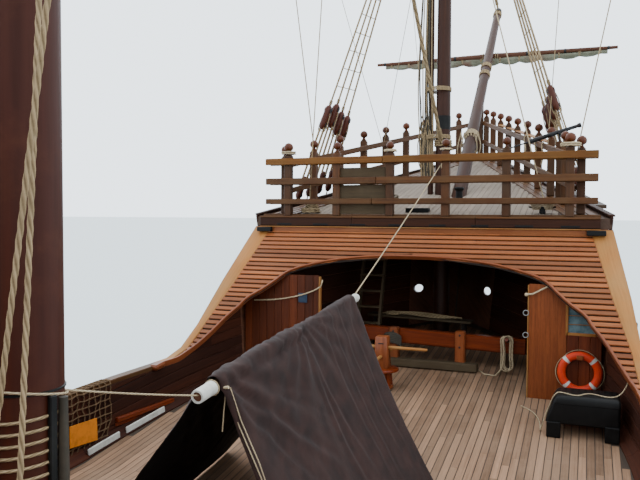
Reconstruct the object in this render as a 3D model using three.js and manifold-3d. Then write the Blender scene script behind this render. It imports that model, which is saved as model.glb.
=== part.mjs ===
// A three-masted carrack of about 1500, as a full-size sailing ship afloat.
// Millimetres, +X to starboard, +Y forward, +Z up. The origin lies on the waterline under the mainmast.
import * as THREE from "three";
import { mergeVertices } from "three/addons/utils/BufferGeometryUtils.js";
import Module from "manifold-3d";

const wasm = await Module();
wasm.setup();

// Driving dimensions
const GAP = 0.4; // between pieces that touch
const KEEL_Z = -2450; // rabbet of the keel
const KEEL_DEPTH = 300;
const POST_HALF = 140; // half thickness of keel, stem and sternpost
const POST_DEPTH = 330;
const WALL = 120; // thickness of the ship's sides above the deck
const CAP_THICK = 55;
const CHANNEL_STANDOFF = 83;
const WIDEST = 0.56; // where along the hull it is widest, from sternpost to stem
const SHEER_AT_MAST = 2480; // height of the waist bulwark at the mainmast
const SHEER_RISE = 0.03; // rise of that bulwark for each millimetre forward
const FRONT_FOOT_Y = 7857; // where the sloping front would meet the bulwark's line
const FRONT_SLOPE = 1.0913;
const FRONT_BEND = 450; // half length of the bend between bulwark and sloping front
const BREAK_Y = 10000; // aft edge of the forecastle deck
const FORE_DECK_Z = 5250;
const FORE_DECK_RISE = 0.225;
const FORE_DECK_THICK = 180;
const APEX_Y = 18300;
const RAIL_X = 2950; // forecastle rail, half width at its aft corners
const RAIL_CORNER_Y = 10100;
const RAIL_TAPER = 0.3554;
const HALF_BREAK_Y = -2600;
const HALF_DECK_Z = 3620;
const POOP_BREAK_Y = -6800;
const POOP_DECK_Z = 5750;
const DECK_RISE_AFT = 0.045;
const DECK_THICK = 120;
const MAIN = { y: 0, head: 19000, r: 245, top: 175, round: 17200 }; // round: floor of the round top
const FORE = { y: 12350, head: 16800, r: 178, top: 120, round: 15000 };
const MIZZEN = { y: -6100, head: 14600, r: 150, top: 90, round: 13600 };
const SPRIT = { x: 400, y0: 11250, z0: 4924, y1: 18600, z1: 11500, r0: 165, r1: 100 };
const SPAR_SIDES = 12;

// Sheer of the main deck: y, z
const DECK_LINE = [
  [-10400, 2150], [-9000, 1980], [-7500, 1840], [-6000, 1730], [-4500, 1650], [-2600, 1595],
  [-1200, 1565], [0, 1550], [1500, 1555], [3000, 1580], [4200, 1610], [5000, 1645],
  [6000, 1758], [7000, 1882], [7450, 1938], [7857, 1988], [8300, 2043], [9000, 2130], [10000, 2254], [11000, 2378],
  [12000, 2502], [13000, 2626], [13600, 2700], [14150, 2770],
];
// Rabbet of the stem: z, y
const STEM_LINE = [
  [-2450, 10400], [-1900, 11300], [-1200, 12250], [-400, 12950], [500, 13480], [1500, 13880],
  [2770, 14150], [4000, 14700], [5200, 15300], [6400, 15750],
];
// Half breadths: z, widest, fullness forward, at the transom, fullness aft
const BREADTH = [
  [-2450, 140, 2, 140, 2],
  [-2250, 1300, 1.6, 140, 1.3],
  [-1800, 2500, 1.8, 140, 1.4],
  [-1000, 3400, 2.1, 140, 1.6],
  [0, 3880, 2.5, 250, 1.9],
  [800, 4050, 2.8, 1150, 2.3],
  [1700, 4120, 3.0, 1800, 2.7],
  [2700, 4120, 3.1, 2050, 2.8],
  [4000, 4080, 3.05, 2000, 2.8],
  [5200, 3980, 3.0, 1900, 2.7],
  [7200, 3650, 3.0, 1700, 2.6],
];

// Small helpers of numbers and solids
function along(table, at, from, to) {
  if (at <= table[0][from]) return table[0][to];
  for (let i = 1; i < table.length; i++) {
    const a = table[i - 1], b = table[i];
    if (at <= b[from]) return a[to] + ((b[to] - a[to]) * (at - a[from])) / (b[from] - a[from]);
  }
  return table[table.length - 1][to];
}
const deckZ = (y) => along(DECK_LINE, y, 0, 1);
const stemY = (z) => along(STEM_LINE, z, 0, 1);
const sternY = (z) => -10400 - 0.152 * (z - 2150);
const foreDeckZ = (y) => FORE_DECK_Z + FORE_DECK_RISE * (y - BREAK_Y);
const halfDeckZ = (y) => HALF_DECK_Z + DECK_RISE_AFT * (HALF_BREAK_Y - y);
const poopDeckZ = (y) => POOP_DECK_Z + DECK_RISE_AFT * (POOP_BREAK_Y - y);
const foreRailX = (y) => RAIL_X - RAIL_TAPER * (y - RAIL_CORNER_Y);

// Top of the waist bulwark, bending up into the sloping front of the forecastle
function sheerTop(y) {
  const d = y - FRONT_FOOT_Y;
  const lift = d < -FRONT_BEND ? 0 : d > FRONT_BEND ? d : (d + FRONT_BEND) ** 2 / (4 * FRONT_BEND);
  return SHEER_AT_MAST + SHEER_RISE * y + (FRONT_SLOPE - SHEER_RISE) * lift;
}

// Half breadth of the hull at a share u of its length, from transom to stem, and a height
function breadthAt(u, z) {
  const [widest, fwd, aft, run] = [1, 2, 3, 4].map((c) => along(BREADTH, z, 0, c));
  if (u >= WIDEST) {
    return POST_HALF + (widest - POST_HALF) * (1 - ((u - WIDEST) / (1 - WIDEST)) ** fwd);
  }
  return aft + (widest - aft) * (1 - ((WIDEST - u) / WIDEST) ** run);
}
const lengthShare = (y, z) => (y - sternY(z)) / (stemY(z) - sternY(z));
const halfBreadth = (y, z) => breadthAt(lengthShare(y, z), z);
const STEM_FOOT_Y = DECK_LINE[DECK_LINE.length - 1][0];
const RAKE_FROM = { bow: BREAK_Y, stern: -9000 }; // stations stand upright between these
const clamp01 = (t) => Math.min(Math.max(t, 0), 1);
// Where the station of deck level y lies at height z: it leans with the stem or the sternpost near the ends
function stationY(y, z) {
  const fore = clamp01((y - RAKE_FROM.bow) / (STEM_FOOT_Y - RAKE_FROM.bow));
  const aft = clamp01((RAKE_FROM.stern - y) / (RAKE_FROM.stern - DECK_LINE[0][0]));
  return y + fore * (stemY(z) - stemY(deckZ(y))) + aft * (sternY(z) - sternY(deckZ(y)));
}
function stationsAround(y) {
  const i = DECK_LINE.findIndex(([at]) => at >= y);
  return [DECK_LINE[Math.max(i - 1, 0)][0], DECK_LINE[i][0]];
}
// Inner face of the ship's sides above the deck, measured on the chord between two stations
function insideX(y, z, margin = 12) {
  const [a, b] = stationsAround(y), t = b > a ? (y - a) / (b - a) : 0;
  return halfBreadth(a, z) * (1 - t) + halfBreadth(b, z) * t - WALL - margin;
}
// Highest point of the main deck under a piece that reaches this far fore and aft
const footOn = (y, reach) => Math.max(deckZ(y - reach), deckZ(y + reach)) + GAP;
const sidePoint = (y, z) => v3(halfBreadth(stationY(y, z), z), stationY(y, z), z);

function solid(geometry) {
  const g = geometry.clone();
  for (const key of Object.keys(g.attributes)) if (key !== "position") g.deleteAttribute(key);
  const merged = mergeVertices(g, 1e-3);
  const index = Array.from(merged.index.array);
  const kept = [];
  for (let i = 0; i < index.length; i += 3) {
    const [a, b, c] = index.slice(i, i + 3);
    if (a !== b && b !== c && a !== c) kept.push(a, b, c);
  }
  return new wasm.Manifold(
    new wasm.Mesh({
      numProp: 3,
      vertProperties: new Float32Array(merged.attributes.position.array),
      triVerts: new Uint32Array(kept),
    }),
  );
}
function geometryOf(manifold) {
  const m = manifold.getMesh();
  const position = new Float32Array(m.numVert * 3);
  for (let i = 0; i < m.numVert; i++) {
    position.set(m.vertProperties.subarray(i * m.numProp, i * m.numProp + 3), i * 3);
  }
  const g = new THREE.BufferGeometry();
  g.setAttribute("position", new THREE.BufferAttribute(position, 3));
  g.setIndex(new THREE.BufferAttribute(m.triVerts, 1));
  g.computeVertexNormals();
  return g;
}
const join = (...parts) => geometryOf(parts.map(solid).reduce((a, b) => a.add(b)));
const cut = (whole, ...tools) => geometryOf(tools.map(solid).reduce((a, b) => a.subtract(b), solid(whole)));
const common = (a, b) => geometryOf(solid(a).intersect(solid(b)));

function box(x0, x1, y0, y1, z0, z1) {
  return new THREE.BoxGeometry(x1 - x0, y1 - y0, z1 - z0).translate((x0 + x1) / 2, (y0 + y1) / 2, (z0 + z1) / 2);
}
const v3 = (x, y, z) => new THREE.Vector3(x, y, z);

// A round spar or rope from a to b
function rod(a, b, r0, r1 = r0, sides = 8) {
  const axis = b.clone().sub(a);
  const g = new THREE.CylinderGeometry(r1, r0, axis.length(), sides);
  g.applyQuaternion(new THREE.Quaternion().setFromUnitVectors(v3(0, 1, 0), axis.normalize()));
  return g.translate((a.x + b.x) / 2, (a.y + b.y) / 2, (a.z + b.z) / 2);
}
// A squared timber from a to b, its width across and its height upright
function timber(a, b, width, height) {
  const axis = b.clone().sub(a).normalize();
  const side = v3(0, 0, 1).cross(axis).normalize();
  const up = axis.clone().cross(side);
  const g = new THREE.BoxGeometry(width, a.distanceTo(b), height);
  g.applyMatrix4(new THREE.Matrix4().makeBasis(side, axis, up).setPosition(a.clone().add(b).multiplyScalar(0.5)));
  return outward(g);
}
function ball(p, r, sides = 6, rings = 3) {
  return new THREE.SphereGeometry(r, sides, rings).rotateX(Math.PI / 2).translate(p.x, p.y, p.z);
}
// A turned piece from a profile of [radius, z] pairs about a vertical axis
function turned(profile, x, y, sides = 16) {
  const g = new THREE.LatheGeometry(profile.map(([r, z]) => new THREE.Vector2(r, z)), sides);
  return outward(g.rotateX(Math.PI / 2).translate(x, y, 0));
}
function volumeOf(geometry) {
  const p = geometry.attributes.position;
  const index = geometry.index ? geometry.index.array : [...Array(p.count).keys()];
  const [a, b, c] = [v3(), v3(), v3()];
  let sum = 0;
  for (let i = 0; i < index.length; i += 3) {
    a.fromBufferAttribute(p, index[i]);
    b.fromBufferAttribute(p, index[i + 1]);
    c.fromBufferAttribute(p, index[i + 2]);
    sum += a.dot(b.cross(c));
  }
  return sum;
}
// Turns every face over where the closed mesh has them facing in
function outward(geometry) {
  if (volumeOf(geometry) >= 0) return geometry;
  const g = geometry.index ? geometry : mergeVertices(geometry, 1e-3);
  const index = g.index.array;
  for (let i = 0; i < index.length; i += 3) [index[i + 1], index[i + 2]] = [index[i + 2], index[i + 1]];
  g.computeVertexNormals();
  return g;
}
// A skin through closed sections of one even count. An end is filled by a ladder of
// faces between each point and its partner, counted from the section's other end.
function loft(sections) {
  const n = sections[0].length, points = [], faces = [];
  for (const s of sections) for (const p of s) points.push(p.x, p.y, p.z);
  for (let i = 0; i + 1 < sections.length; i++) {
    for (let k = 0; k < n; k++) {
      const a = i * n + k, b = i * n + ((k + 1) % n);
      faces.push(a, b, b + n, a, b + n, a + n);
    }
  }
  const last = (sections.length - 1) * n;
  for (let k = 0; k < n / 2 - 1; k++) {
    const [a, b, c, d] = [k, k + 1, n - 2 - k, n - 1 - k];
    faces.push(a, c, b, a, d, c);
    faces.push(last + a, last + b, last + c, last + a, last + c, last + d);
  }
  const g = new THREE.BufferGeometry();
  g.setAttribute("position", new THREE.Float32BufferAttribute(points, 3));
  g.setIndex(faces);
  g.computeVertexNormals();
  return outward(g);
}
// A plan outline of [x, y] pairs, raised from z0 to z1
function prism(outline, z0, z1) {
  const shape = new THREE.Shape(outline.map(([x, y]) => new THREE.Vector2(x, y)));
  return outward(new THREE.ExtrudeGeometry(shape, { depth: z1 - z0, bevelEnabled: false }).translate(0, 0, z0));
}
// A side outline of [y, z] pairs, as wide as from x0 to x1
function slice(outline, x0, x1) {
  const shape = new THREE.Shape(outline.map(([y, z]) => new THREE.Vector2(y, z)));
  const g = new THREE.ExtrudeGeometry(shape, { depth: x1 - x0, bevelEnabled: false });
  g.applyMatrix4(new THREE.Matrix4().makeBasis(v3(0, 1, 0), v3(0, 0, 1), v3(1, 0, 0)));
  return outward(g.translate(x0, 0, 0));
}
const mirrored = (geometry) => outward(mergeVertices(geometry.clone().scale(-1, 1, 1), 1e-3));

// Materials, by what each piece is made of
const finish = (color, roughness, metalness = 0) => ({ color, roughness, metalness });
const FINISH = {
  tarred: finish(0x3b2a20, 0.7),
  side: finish(0x6d2c22, 0.6),
  deck: finish(0x8b8175, 0.85),
  varnish: finish(0x9a5a33, 0.45),
  rail: finish(0x7c5a43, 0.6),
  spar: finish(0x7a3b30, 0.5),
  bowsprit: finish(0x9b7a6d, 0.6),
  canvas: finish(0x514a42, 0.95),
  sail: finish(0xd9cba8, 0.95),
  rope: finish(0xa89b84, 0.9),
  iron: finish(0x26262a, 0.5, 0.6),
  orange: finish(0xd8521d, 0.5),
  black: finish(0x1d1c1c, 0.6),
};
const ship = new THREE.Group();
function piece(name, geometry, kind) {
  const mesh = new THREE.Mesh(geometry, new THREE.MeshStandardMaterial(FINISH[kind]));
  mesh.name = name;
  ship.add(mesh);
  return mesh;
}
const SIDES = [["starboard", 1], ["port", -1]];
const onSide = (geometry, sign) => (sign > 0 ? geometry : mirrored(geometry));

// The hull below the deck, solid, with a wale along each side
const HULL_LEVELS = [0, 0.04, 0.12, 0.27, 0.46, 0.64, 0.82, 1];
const WALE = [[580, 0], [560, 70], [340, 70], [320, 0]]; // below the deck's edge, how far it stands out
function hullSection(y) {
  const shares = HULL_LEVELS.slice(0, -1).map((v) => sidePoint(y, KEEL_Z + v * (deckZ(y) - KEEL_Z)));
  const wale = WALE.map(([below, out]) => sidePoint(y, deckZ(y) - below).add(v3(out, 0, 0)));
  const starboard = [...shares, ...wale, sidePoint(y, deckZ(y))];
  const port = starboard.map((p) => v3(-p.x, p.y, p.z)).reverse();
  return [...starboard, ...port];
}
const hullBody = loft(DECK_LINE.map(([y]) => hullSection(y)));
piece("hull", hullBody, "tarred");

// Keel, stem and sternpost in one plate, following the hull's ends
const BOW_WALL_LEVELS = [0, 0.34, 0.67, 1];
const underForeDeck = (y) => foreDeckZ(y) - FORE_DECK_THICK - GAP;
// Height of a side wall's top over the station at deck level y, following the rake of the ends
function wallTop(y, topAt) {
  let top = topAt(y);
  for (let i = 0; i < 6; i++) top = topAt(stationY(y, top));
  return top;
}
const TOP_OF_STEM = wallTop(STEM_FOOT_Y, underForeDeck) - 20;
function backbone() {
  const foot = deckZ(STEM_FOOT_Y) + GAP;
  const levels = HULL_LEVELS.slice(1).map((v) => KEEL_Z + v * (deckZ(STEM_FOOT_Y) - KEEL_Z));
  for (const share of BOW_WALL_LEVELS.slice(1)) levels.push(foot + share * (TOP_OF_STEM + 20 - foot));
  const inner = [[sternY(2520) - GAP, 2520], [sternY(KEEL_Z) - GAP, KEEL_Z - GAP], [stemY(KEEL_Z), KEEL_Z - GAP]];
  for (const z of levels) inner.push([stemY(z) + 2 * GAP, Math.min(z, TOP_OF_STEM)]);
  const outer = [[stemY(TOP_OF_STEM) + 350, TOP_OF_STEM]];
  for (const [z, y] of [...STEM_LINE].reverse()) {
    if (z < TOP_OF_STEM - 200 && z > KEEL_Z) outer.push([y + POST_DEPTH * 0.92, z - 110]);
  }
  outer.push([9700, KEEL_Z - KEEL_DEPTH], [sternY(KEEL_Z - KEEL_DEPTH) - POST_DEPTH, KEEL_Z - KEEL_DEPTH]);
  outer.push([sternY(2520) - POST_DEPTH, 2520]);
  return slice([...inner, ...outer], -POST_HALF, POST_HALF);
}

// The waist's cap board: y, how far it reaches in and out from the side's outer face
const CAP_LINE = [
  [-2600, 140, 30], [7000, 140, 30], [7450, 70, 60], [7857, 63, 80], [8300, 68, 80], [9000, 200, 80],
  [10000, 287, 80],
];
const capReach = (y) => [along(CAP_LINE, y, 0, 1), along(CAP_LINE, y, 0, 2)];

// The ship's sides above the deck: stations from y0 to y1, from the deck up to a line
function sideWall(stations, topAt, levels, cap) {
  const rows = stations.map(([y, shift]) => {
    const top = wallTop(y, topAt);
    const at = (share, inset) => {
      const z = deckZ(y) + GAP + share * (top - deckZ(y) - GAP);
      const p = sidePoint(y, z);
      return v3(Math.max(p.x - inset, 15), p.y + shift, z);
    };
    const out = levels.map((s) => at(s, 0));
    const back = [...levels].reverse().map((s) => at(s, WALL));
    if (!cap) return [...out, ...back];
    const edge = out[out.length - 1];
    const [inset, outset] = capReach(y);
    const lip = (dx, dz) => v3(edge.x + dx, edge.y, edge.z + dz);
    const rim = [lip(outset, 0), lip(outset, CAP_THICK), lip(-inset, CAP_THICK), lip(-inset, 0)];
    return [...out, ...rim, ...back];
  });
  return loft(rows);
}
function stationsBetween(y0, y1) {
  const inside = DECK_LINE.map(([y]) => y).filter((y) => y > y0 && y < y1);
  return [[y0, GAP / 2], ...inside.map((y) => [y, 0]), [y1, -GAP / 2]];
}
const bowWall = sideWall(stationsBetween(BREAK_Y, 14150), underForeDeck, BOW_WALL_LEVELS, false);
const underCap = (y) => sheerTop(y) - CAP_THICK;
const waistWall = sideWall(stationsBetween(HALF_BREAK_Y, BREAK_Y), underCap, [0, 0.5, 1], true);
const STERN_TOP = [[-10400, 6560], [POOP_BREAK_Y - 1, 6380], [POOP_BREAK_Y, 4620], [HALF_BREAK_Y, 4420]];
const sternStations = [[-10400, GAP / 2], [-9000, 0], [-7500, 0], [POOP_BREAK_Y - 1, 0], [POOP_BREAK_Y, 0]];
sternStations.push([-6000, 0], [-4500, 0], [HALF_BREAK_Y, -GAP / 2]);
const STERN_LEVELS = [0, 0.25, 0.5, 0.75, 1];
const sternWall = sideWall(sternStations, (y) => along(STERN_TOP, y, 0, 1), STERN_LEVELS, false);
const hawse = rod(v3(830, 12600, 3510), v3(830, 14400, 3510), 95, 95, 10);
const GUN_PORTS = [-900, 2600]; // y of the gun ports in the waist
const ports = GUN_PORTS.map((y) => box(3000, 5000, y - 240, y + 240, deckZ(y) + 260, deckZ(y) + 680));
for (const [name, sign] of SIDES) {
  piece("bow_side_" + name, onSide(cut(bowWall, hawse), sign), "side");
  piece("waist_side_" + name, onSide(cut(waistWall, ...ports), sign), "side");
  piece("stern_side_" + name, onSide(sternWall, sign), "side");
}

// Forecastle: sloping front of athwart slats with its arch, deck and front beam
const SLAT = { pitch: 150, gap: 34, depth: 28, board: 60 }; // along the slope
const ARCH = [ // half breadth, y
  [0, 9520], [700, 9505], [1400, 9440], [1950, 9340], [2350, 9220], [2610, 9030], [2790, 8900],
  [3020, 8760], [3150, 8610], [3330, 8420], [3520, 8160], [3650, 7940], [3740, 7740], [3800, 7400],
];
function frontProfile() {
  const top = [], ends = [7300, BREAK_Y - 120];
  const steps = Math.round((ends[1] - ends[0]) / (SLAT.pitch * Math.cos(Math.atan(FRONT_SLOPE))));
  for (let i = 0; i < steps; i++) {
    const y0 = ends[0] + ((ends[1] - ends[0]) * i) / steps, y1 = ends[0] + ((ends[1] - ends[0]) * (i + 1)) / steps;
    const split = y1 - (y1 - y0) * (SLAT.gap / SLAT.pitch);
    top.push([y0, sheerTop(y0)], [split, sheerTop(split)]);
    top.push([split, sheerTop(split) - SLAT.depth], [y1, sheerTop(y1) - SLAT.depth]);
  }
  const under = [9880, 9200, 8600, 8200, 7950, 7700, 7300].map((y) => [y, sheerTop(y) - SLAT.board - 30]);
  return [...top, ...under];
}
// Outer edge of the front's boards: at the cap board or the wall's face, straight between two stations
const frontEdge = (y) => {
  const at = (station) => {
    const inset = Math.max(capReach(station)[0], WALL + 12);
    return halfBreadth(station, sheerTop(station) - CAP_THICK) - inset;
  };
  const [a, b] = stationsAround(y), t = b > a ? (y - a) / (b - a) : 0;
  return at(a) * (1 - t) + at(b) * t - GAP;
};
function slopingFront() {
  const boards = slice(frontProfile(), -4000, 4000);
  const sides = [7740, 7857, 8300, 9000, BREAK_Y - 121].map((y) => [frontEdge(y), y]);
  const inner = ARCH.filter(([x, y]) => y > 7740 && x < frontEdge(y) - 20);
  const right = [...inner, [frontEdge(7740) - 30, 7740], ...sides];
  const left = [...right].reverse().map(([x, y]) => [-x, y]);
  return common(boards, prism([...right, ...left.slice(0, -1)], 0, 8000));
}
piece("sloping_front", slopingFront(), "varnish");

const DECK_EDGE = { corner: 3430, apex: 190 }; // half breadths of the forecastle deck
const deckEdgeX = (y) => {
  const share = (y - BREAK_Y) / (APEX_Y - BREAK_Y);
  return DECK_EDGE.corner + (DECK_EDGE.apex - DECK_EDGE.corner) * share;
};
const FORE_HATCH = [-1620, -920, 10800, 11750];
function mastOf(mast, grow = 0) {
  const foot = mast.foot ?? footOn(mast.y, mast.r);
  const g = new THREE.CylinderGeometry(mast.top + grow, mast.r + grow, mast.head - foot, SPAR_SIDES);
  return g.rotateX(Math.PI / 2).translate(0, mast.y, (foot + mast.head) / 2);
}
function bowspritSpar(grow = 0) {
  const a = v3(SPRIT.x, SPRIT.y0, SPRIT.z0), b = v3(SPRIT.x, SPRIT.y1, SPRIT.z1);
  return rod(a, b, SPRIT.r0 + grow, SPRIT.r1 + grow, SPAR_SIDES);
}
function foreDeck() {
  const { corner, apex } = DECK_EDGE;
  const plan = prism([[-corner, BREAK_Y], [corner, BREAK_Y], [apex, APEX_Y], [-apex, APEX_Y]], 4000, 9000);
  const slab = [[BREAK_Y - 100, foreDeckZ(BREAK_Y - 100)], [APEX_Y + 100, foreDeckZ(APEX_Y + 100)]];
  const under = [...slab].reverse().map(([y, z]) => [y, z - FORE_DECK_THICK]);
  const deck = common(slice([...slab, ...under], -4000, 4000), plan);
  return cut(deck, mastOf(FORE, GAP), bowspritSpar(GAP), box(...FORE_HATCH, 4000, 7000));
}
const frontBeam = box(-3030, 3030, BREAK_Y - 118, BREAK_Y + 30, FORE_DECK_Z - 160, FORE_DECK_Z + 5);
piece("forecastle_deck", join(foreDeck(), frontBeam), "deck");

// Bulkheads under the forecastle, one each side of the open way in, with a window
const BULKHEAD = { y: 9250, thick: 60, inner: { starboard: 2110, port: 1730 } }; // inner: edges of the way in
const crossWall = (y, thick, z0, z1, x0, inset) => {
  const levels = [0, 0.25, 0.5, 0.75, 1].map((s) => z0 + s * (z1 - z0));
  const outer = levels.map((z) => Math.min(insideX(y, z), insideX(y + thick, z)) - inset);
  const ring = (yy) => {
    const out = levels.map((z, i) => v3(outer[i], yy, z)), back = levels.map((z) => v3(x0, yy, z));
    return [...out, ...back.reverse()];
  };
  return loft([ring(y), ring(y + thick)]);
};
const WINDOW = { x0: 2750, x1: 3200, z0: 3320, z1: 3930 }; // in the starboard bulkhead
function foreBulkhead(inner, window) {
  const z0 = footOn(BULKHEAD.y, BULKHEAD.thick + 30), z1 = sheerTop(BULKHEAD.y) - SLAT.board - 50;
  const wall = crossWall(BULKHEAD.y, BULKHEAD.thick, z0, z1, inner, 0);
  const hole = box(WINDOW.x0, WINDOW.x1, BULKHEAD.y - 50, BULKHEAD.y + 150, WINDOW.z0, WINDOW.z1);
  const post = box(inner - 20, inner + 90, BULKHEAD.y - 30, BULKHEAD.y + 90, z0, z1 - 60);
  return join(window ? cut(wall, hole) : wall, post);
}
for (const [name, sign] of SIDES) {
  piece("forecastle_bulkhead_" + name, onSide(foreBulkhead(BULKHEAD.inner[name], sign > 0), sign), "varnish");
}

// Railings: turned posts with round knobs, joined by planks at set heights
const POST = { half: 75, knob: 80 };
function railing(feet, height, bars, over = 0) {
  const parts = [];
  for (const p of feet) {
    parts.push(box(p.x - POST.half, p.x + POST.half, p.y - POST.half, p.y + POST.half, p.z + GAP, p.z + height));
    parts.push(ball(v3(p.x, p.y, p.z + height + POST.knob * 0.55), POST.knob));
  }
  const ends = [feet[0], feet[feet.length - 1]];
  for (const [low, high, thick] of bars) {
    const [a, b] = ends.map((p) => v3(p.x, p.y, p.z + (low + high) / 2));
    const reach = b.clone().sub(a).setLength(over);
    parts.push(timber(a.sub(reach), b.add(reach), thick, high - low));
  }
  return join(...parts);
}
const FRONT_RAIL_X = [-2740, -1680, -580, 510, 1630, 2730];
const frontFeet = FRONT_RAIL_X.map((x) => v3(x, BREAK_Y + 60, foreDeckZ(BREAK_Y + 60 + POST.half)));
const FRONT_BARS = [[235, 345, 90], [635, 765, 90], [1040, 1170, 100]]; // low, high, thickness
piece("forecastle_front_rail", railing(frontFeet, 1300, FRONT_BARS, 460), "rail");
const SIDE_POSTS = 9;
const sideFeet = [];
for (let i = 0; i <= SIDE_POSTS; i++) {
  const y = RAIL_CORNER_Y + 190 + ((APEX_Y - 330 - RAIL_CORNER_Y - 190) * i) / SIDE_POSTS;
  sideFeet.push(v3(foreRailX(y) + 30, y, foreDeckZ(y + POST.half)));
}
const sideRail = railing(sideFeet, 1220, [[415, 525, 80], [955, 1075, 90]]);
const GUN = { x: 2487, y: 11450, z: 6960 };
const gunPost = box(GUN.x - 62, GUN.x + 62, GUN.y - 62, GUN.y + 62, foreDeckZ(GUN.y + 62) + GAP, GUN.z - 190 - GAP);
piece("forecastle_side_rail_starboard", join(sideRail, gunPost), "rail");
piece("forecastle_side_rail_port", mirrored(sideRail), "rail");

// Gear under and on the forecastle
const BITTS = { posts: [-550, 770], half: 95, y0: 10290, y1: 10480, top: 3060, beamY: 10490, beamHigh: 290 };
const bittFoot = footOn(10385, 110), sillFoot = footOn(10280, 100);
piece("riding_bitts", join(
  timber(v3(-2000, BITTS.beamY, 2925), v3(2000, BITTS.beamY, 2815), 200, BITTS.beamHigh),
  box(-1100, 1120, 10180, 10380, sillFoot, sillFoot + 160),
  ...BITTS.posts.map((x) => box(x - BITTS.half, x + BITTS.half, BITTS.y0, BITTS.y1, bittFoot, BITTS.top)),
), "varnish");
// A barrel under a round table, with a square head that two bars pass through
const CAPSTAN = { x: -400, y: 9000, spindle: 60, barrel: 200, table: 300, tableZ: 2470, head: 130, top: 3100 };
const CAPSTAN_BARS = [[820, 0, 2900], [0, 600, 2740]]; // half lengths across and along, z
const capstanFoot = deckZ(CAPSTAN.y + CAPSTAN.barrel) + 6, spindleFoot = footOn(CAPSTAN.y, CAPSTAN.spindle);
piece("capstan", join(
  turned([[0, spindleFoot], [CAPSTAN.spindle, spindleFoot], [CAPSTAN.spindle, capstanFoot], [CAPSTAN.barrel, capstanFoot],
    [CAPSTAN.barrel, CAPSTAN.tableZ], [CAPSTAN.table, CAPSTAN.tableZ], [CAPSTAN.table, CAPSTAN.tableZ + 60],
    [0, CAPSTAN.tableZ + 60]], CAPSTAN.x, CAPSTAN.y, 12),
  box(CAPSTAN.x - CAPSTAN.head, CAPSTAN.x + CAPSTAN.head, CAPSTAN.y - CAPSTAN.head, CAPSTAN.y + CAPSTAN.head,
    CAPSTAN.tableZ + 40, CAPSTAN.top),
  ...CAPSTAN_BARS.map(([across, fore, z]) =>
    timber(v3(CAPSTAN.x - across, CAPSTAN.y - fore, z), v3(CAPSTAN.x + across, CAPSTAN.y + fore, z), 70, 70)),
), "spar");
const CHEST = { x0: 2450, x1: 3560, y0: 7720, y1: 8380, high: 430, feet: 130 };
const chestFoot = deckZ(CHEST.y1) + GAP;
const chestBottom = chestFoot + CHEST.feet, chestRight = CHEST.x1 - 90, chestBack = CHEST.y1 - 90;
const chestCorners = [[CHEST.x0, CHEST.y0], [chestRight, CHEST.y0], [CHEST.x0, chestBack], [chestRight, chestBack]];
const chestLegs = chestCorners
  .map(([x, y]) => box(x, x + 90, y, y + 90, deckZ(y + 90) + GAP, chestFoot + CHEST.feet + 20));
const chestBody = box(CHEST.x0, CHEST.x1, CHEST.y0, CHEST.y1, chestBottom, chestBottom + CHEST.high);
piece("chest", join(chestBody, ...chestLegs), "black");

// Lifebuoy hung on the starboard bulkhead
const BUOY = { x: 2955, z: 2680, r: 288, thick: 70 };
const buoyY = BULKHEAD.y - BUOY.thick * Math.sin(Math.PI / 3) - GAP;
const buoyRing = new THREE.TorusGeometry(BUOY.r, BUOY.thick, 6, 18).rotateX(Math.PI / 2);
piece("lifebuoy", buoyRing.translate(BUOY.x, buoyY, BUOY.z), "orange");

// Aftercastle: half deck, poop deck, their bulkheads with doors, transom
function innerDeck(y0, y1, levelAt, thick) {
  const ys = [y0, ...DECK_LINE.map(([y]) => y).filter((y) => y > y0 && y < y1), y1];
  const rows = ys.map((y) => {
    const z = levelAt(y);
    const lean = y < RAKE_FROM.stern ? 45 : 0; // the stations lean aft there
    const x = Math.min(insideX(y, z), insideX(y, z - thick)) - lean - 10;
    return [v3(-x, y, z - thick), v3(x, y, z - thick), v3(x, y, z), v3(-x, y, z)];
  });
  return loft(rows);
}
const sternFace = (z) => sternY(z) + 2;
MIZZEN.foot = halfDeckZ(MIZZEN.y - MIZZEN.r) + GAP;
piece("half_deck", innerDeck(sternFace(HALF_DECK_Z) + 420, HALF_BREAK_Y, halfDeckZ, DECK_THICK), "deck");
piece("poop_deck", innerDeck(sternFace(POOP_DECK_Z) + 420, POOP_BREAK_Y, poopDeckZ, DECK_THICK), "deck");

const DOOR = { width: 720, height: 1560, thick: 45, clear: 8, sill: 60, pinR: 14, pinIn: 20, pinOut: 66 };
// A cross wall of the aftercastle with its doorways, each [x of the hinge side, way it runs], and their hinge hooks
function doorWall(y, z0, z1, doorways) {
  const half = crossWall(y, 70, z0, z1, 0, 0);
  const wall = join(half, mirrored(half), box(-50, 50, y, y + 70, z0, z1));
  const holes = doorways.map(([x, way]) => {
    const [a, b] = [x, x + way * (DOOR.width + 2 * DOOR.clear)].sort((p, q) => p - q);
    return box(a, b, y - 50, y + 150, z0 + DOOR.sill, z0 + DOOR.sill + DOOR.height + 2 * DOOR.clear);
  });
  const hooks = doorways.map(([x, way]) => {
    const [a, b] = [x + way * DOOR.pinIn, x - way * 25].sort((p, q) => p - q);
    return box(a, b, y + DOOR.pinOut, y + DOOR.pinOut + 20, pinFoot(z0) - GAP - 35, pinFoot(z0) - GAP);
  });
  return join(cut(wall, ...holes), ...hooks);
}
const pinFoot = (z0) => z0 + DOOR.sill + DOOR.clear + 100;
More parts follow.
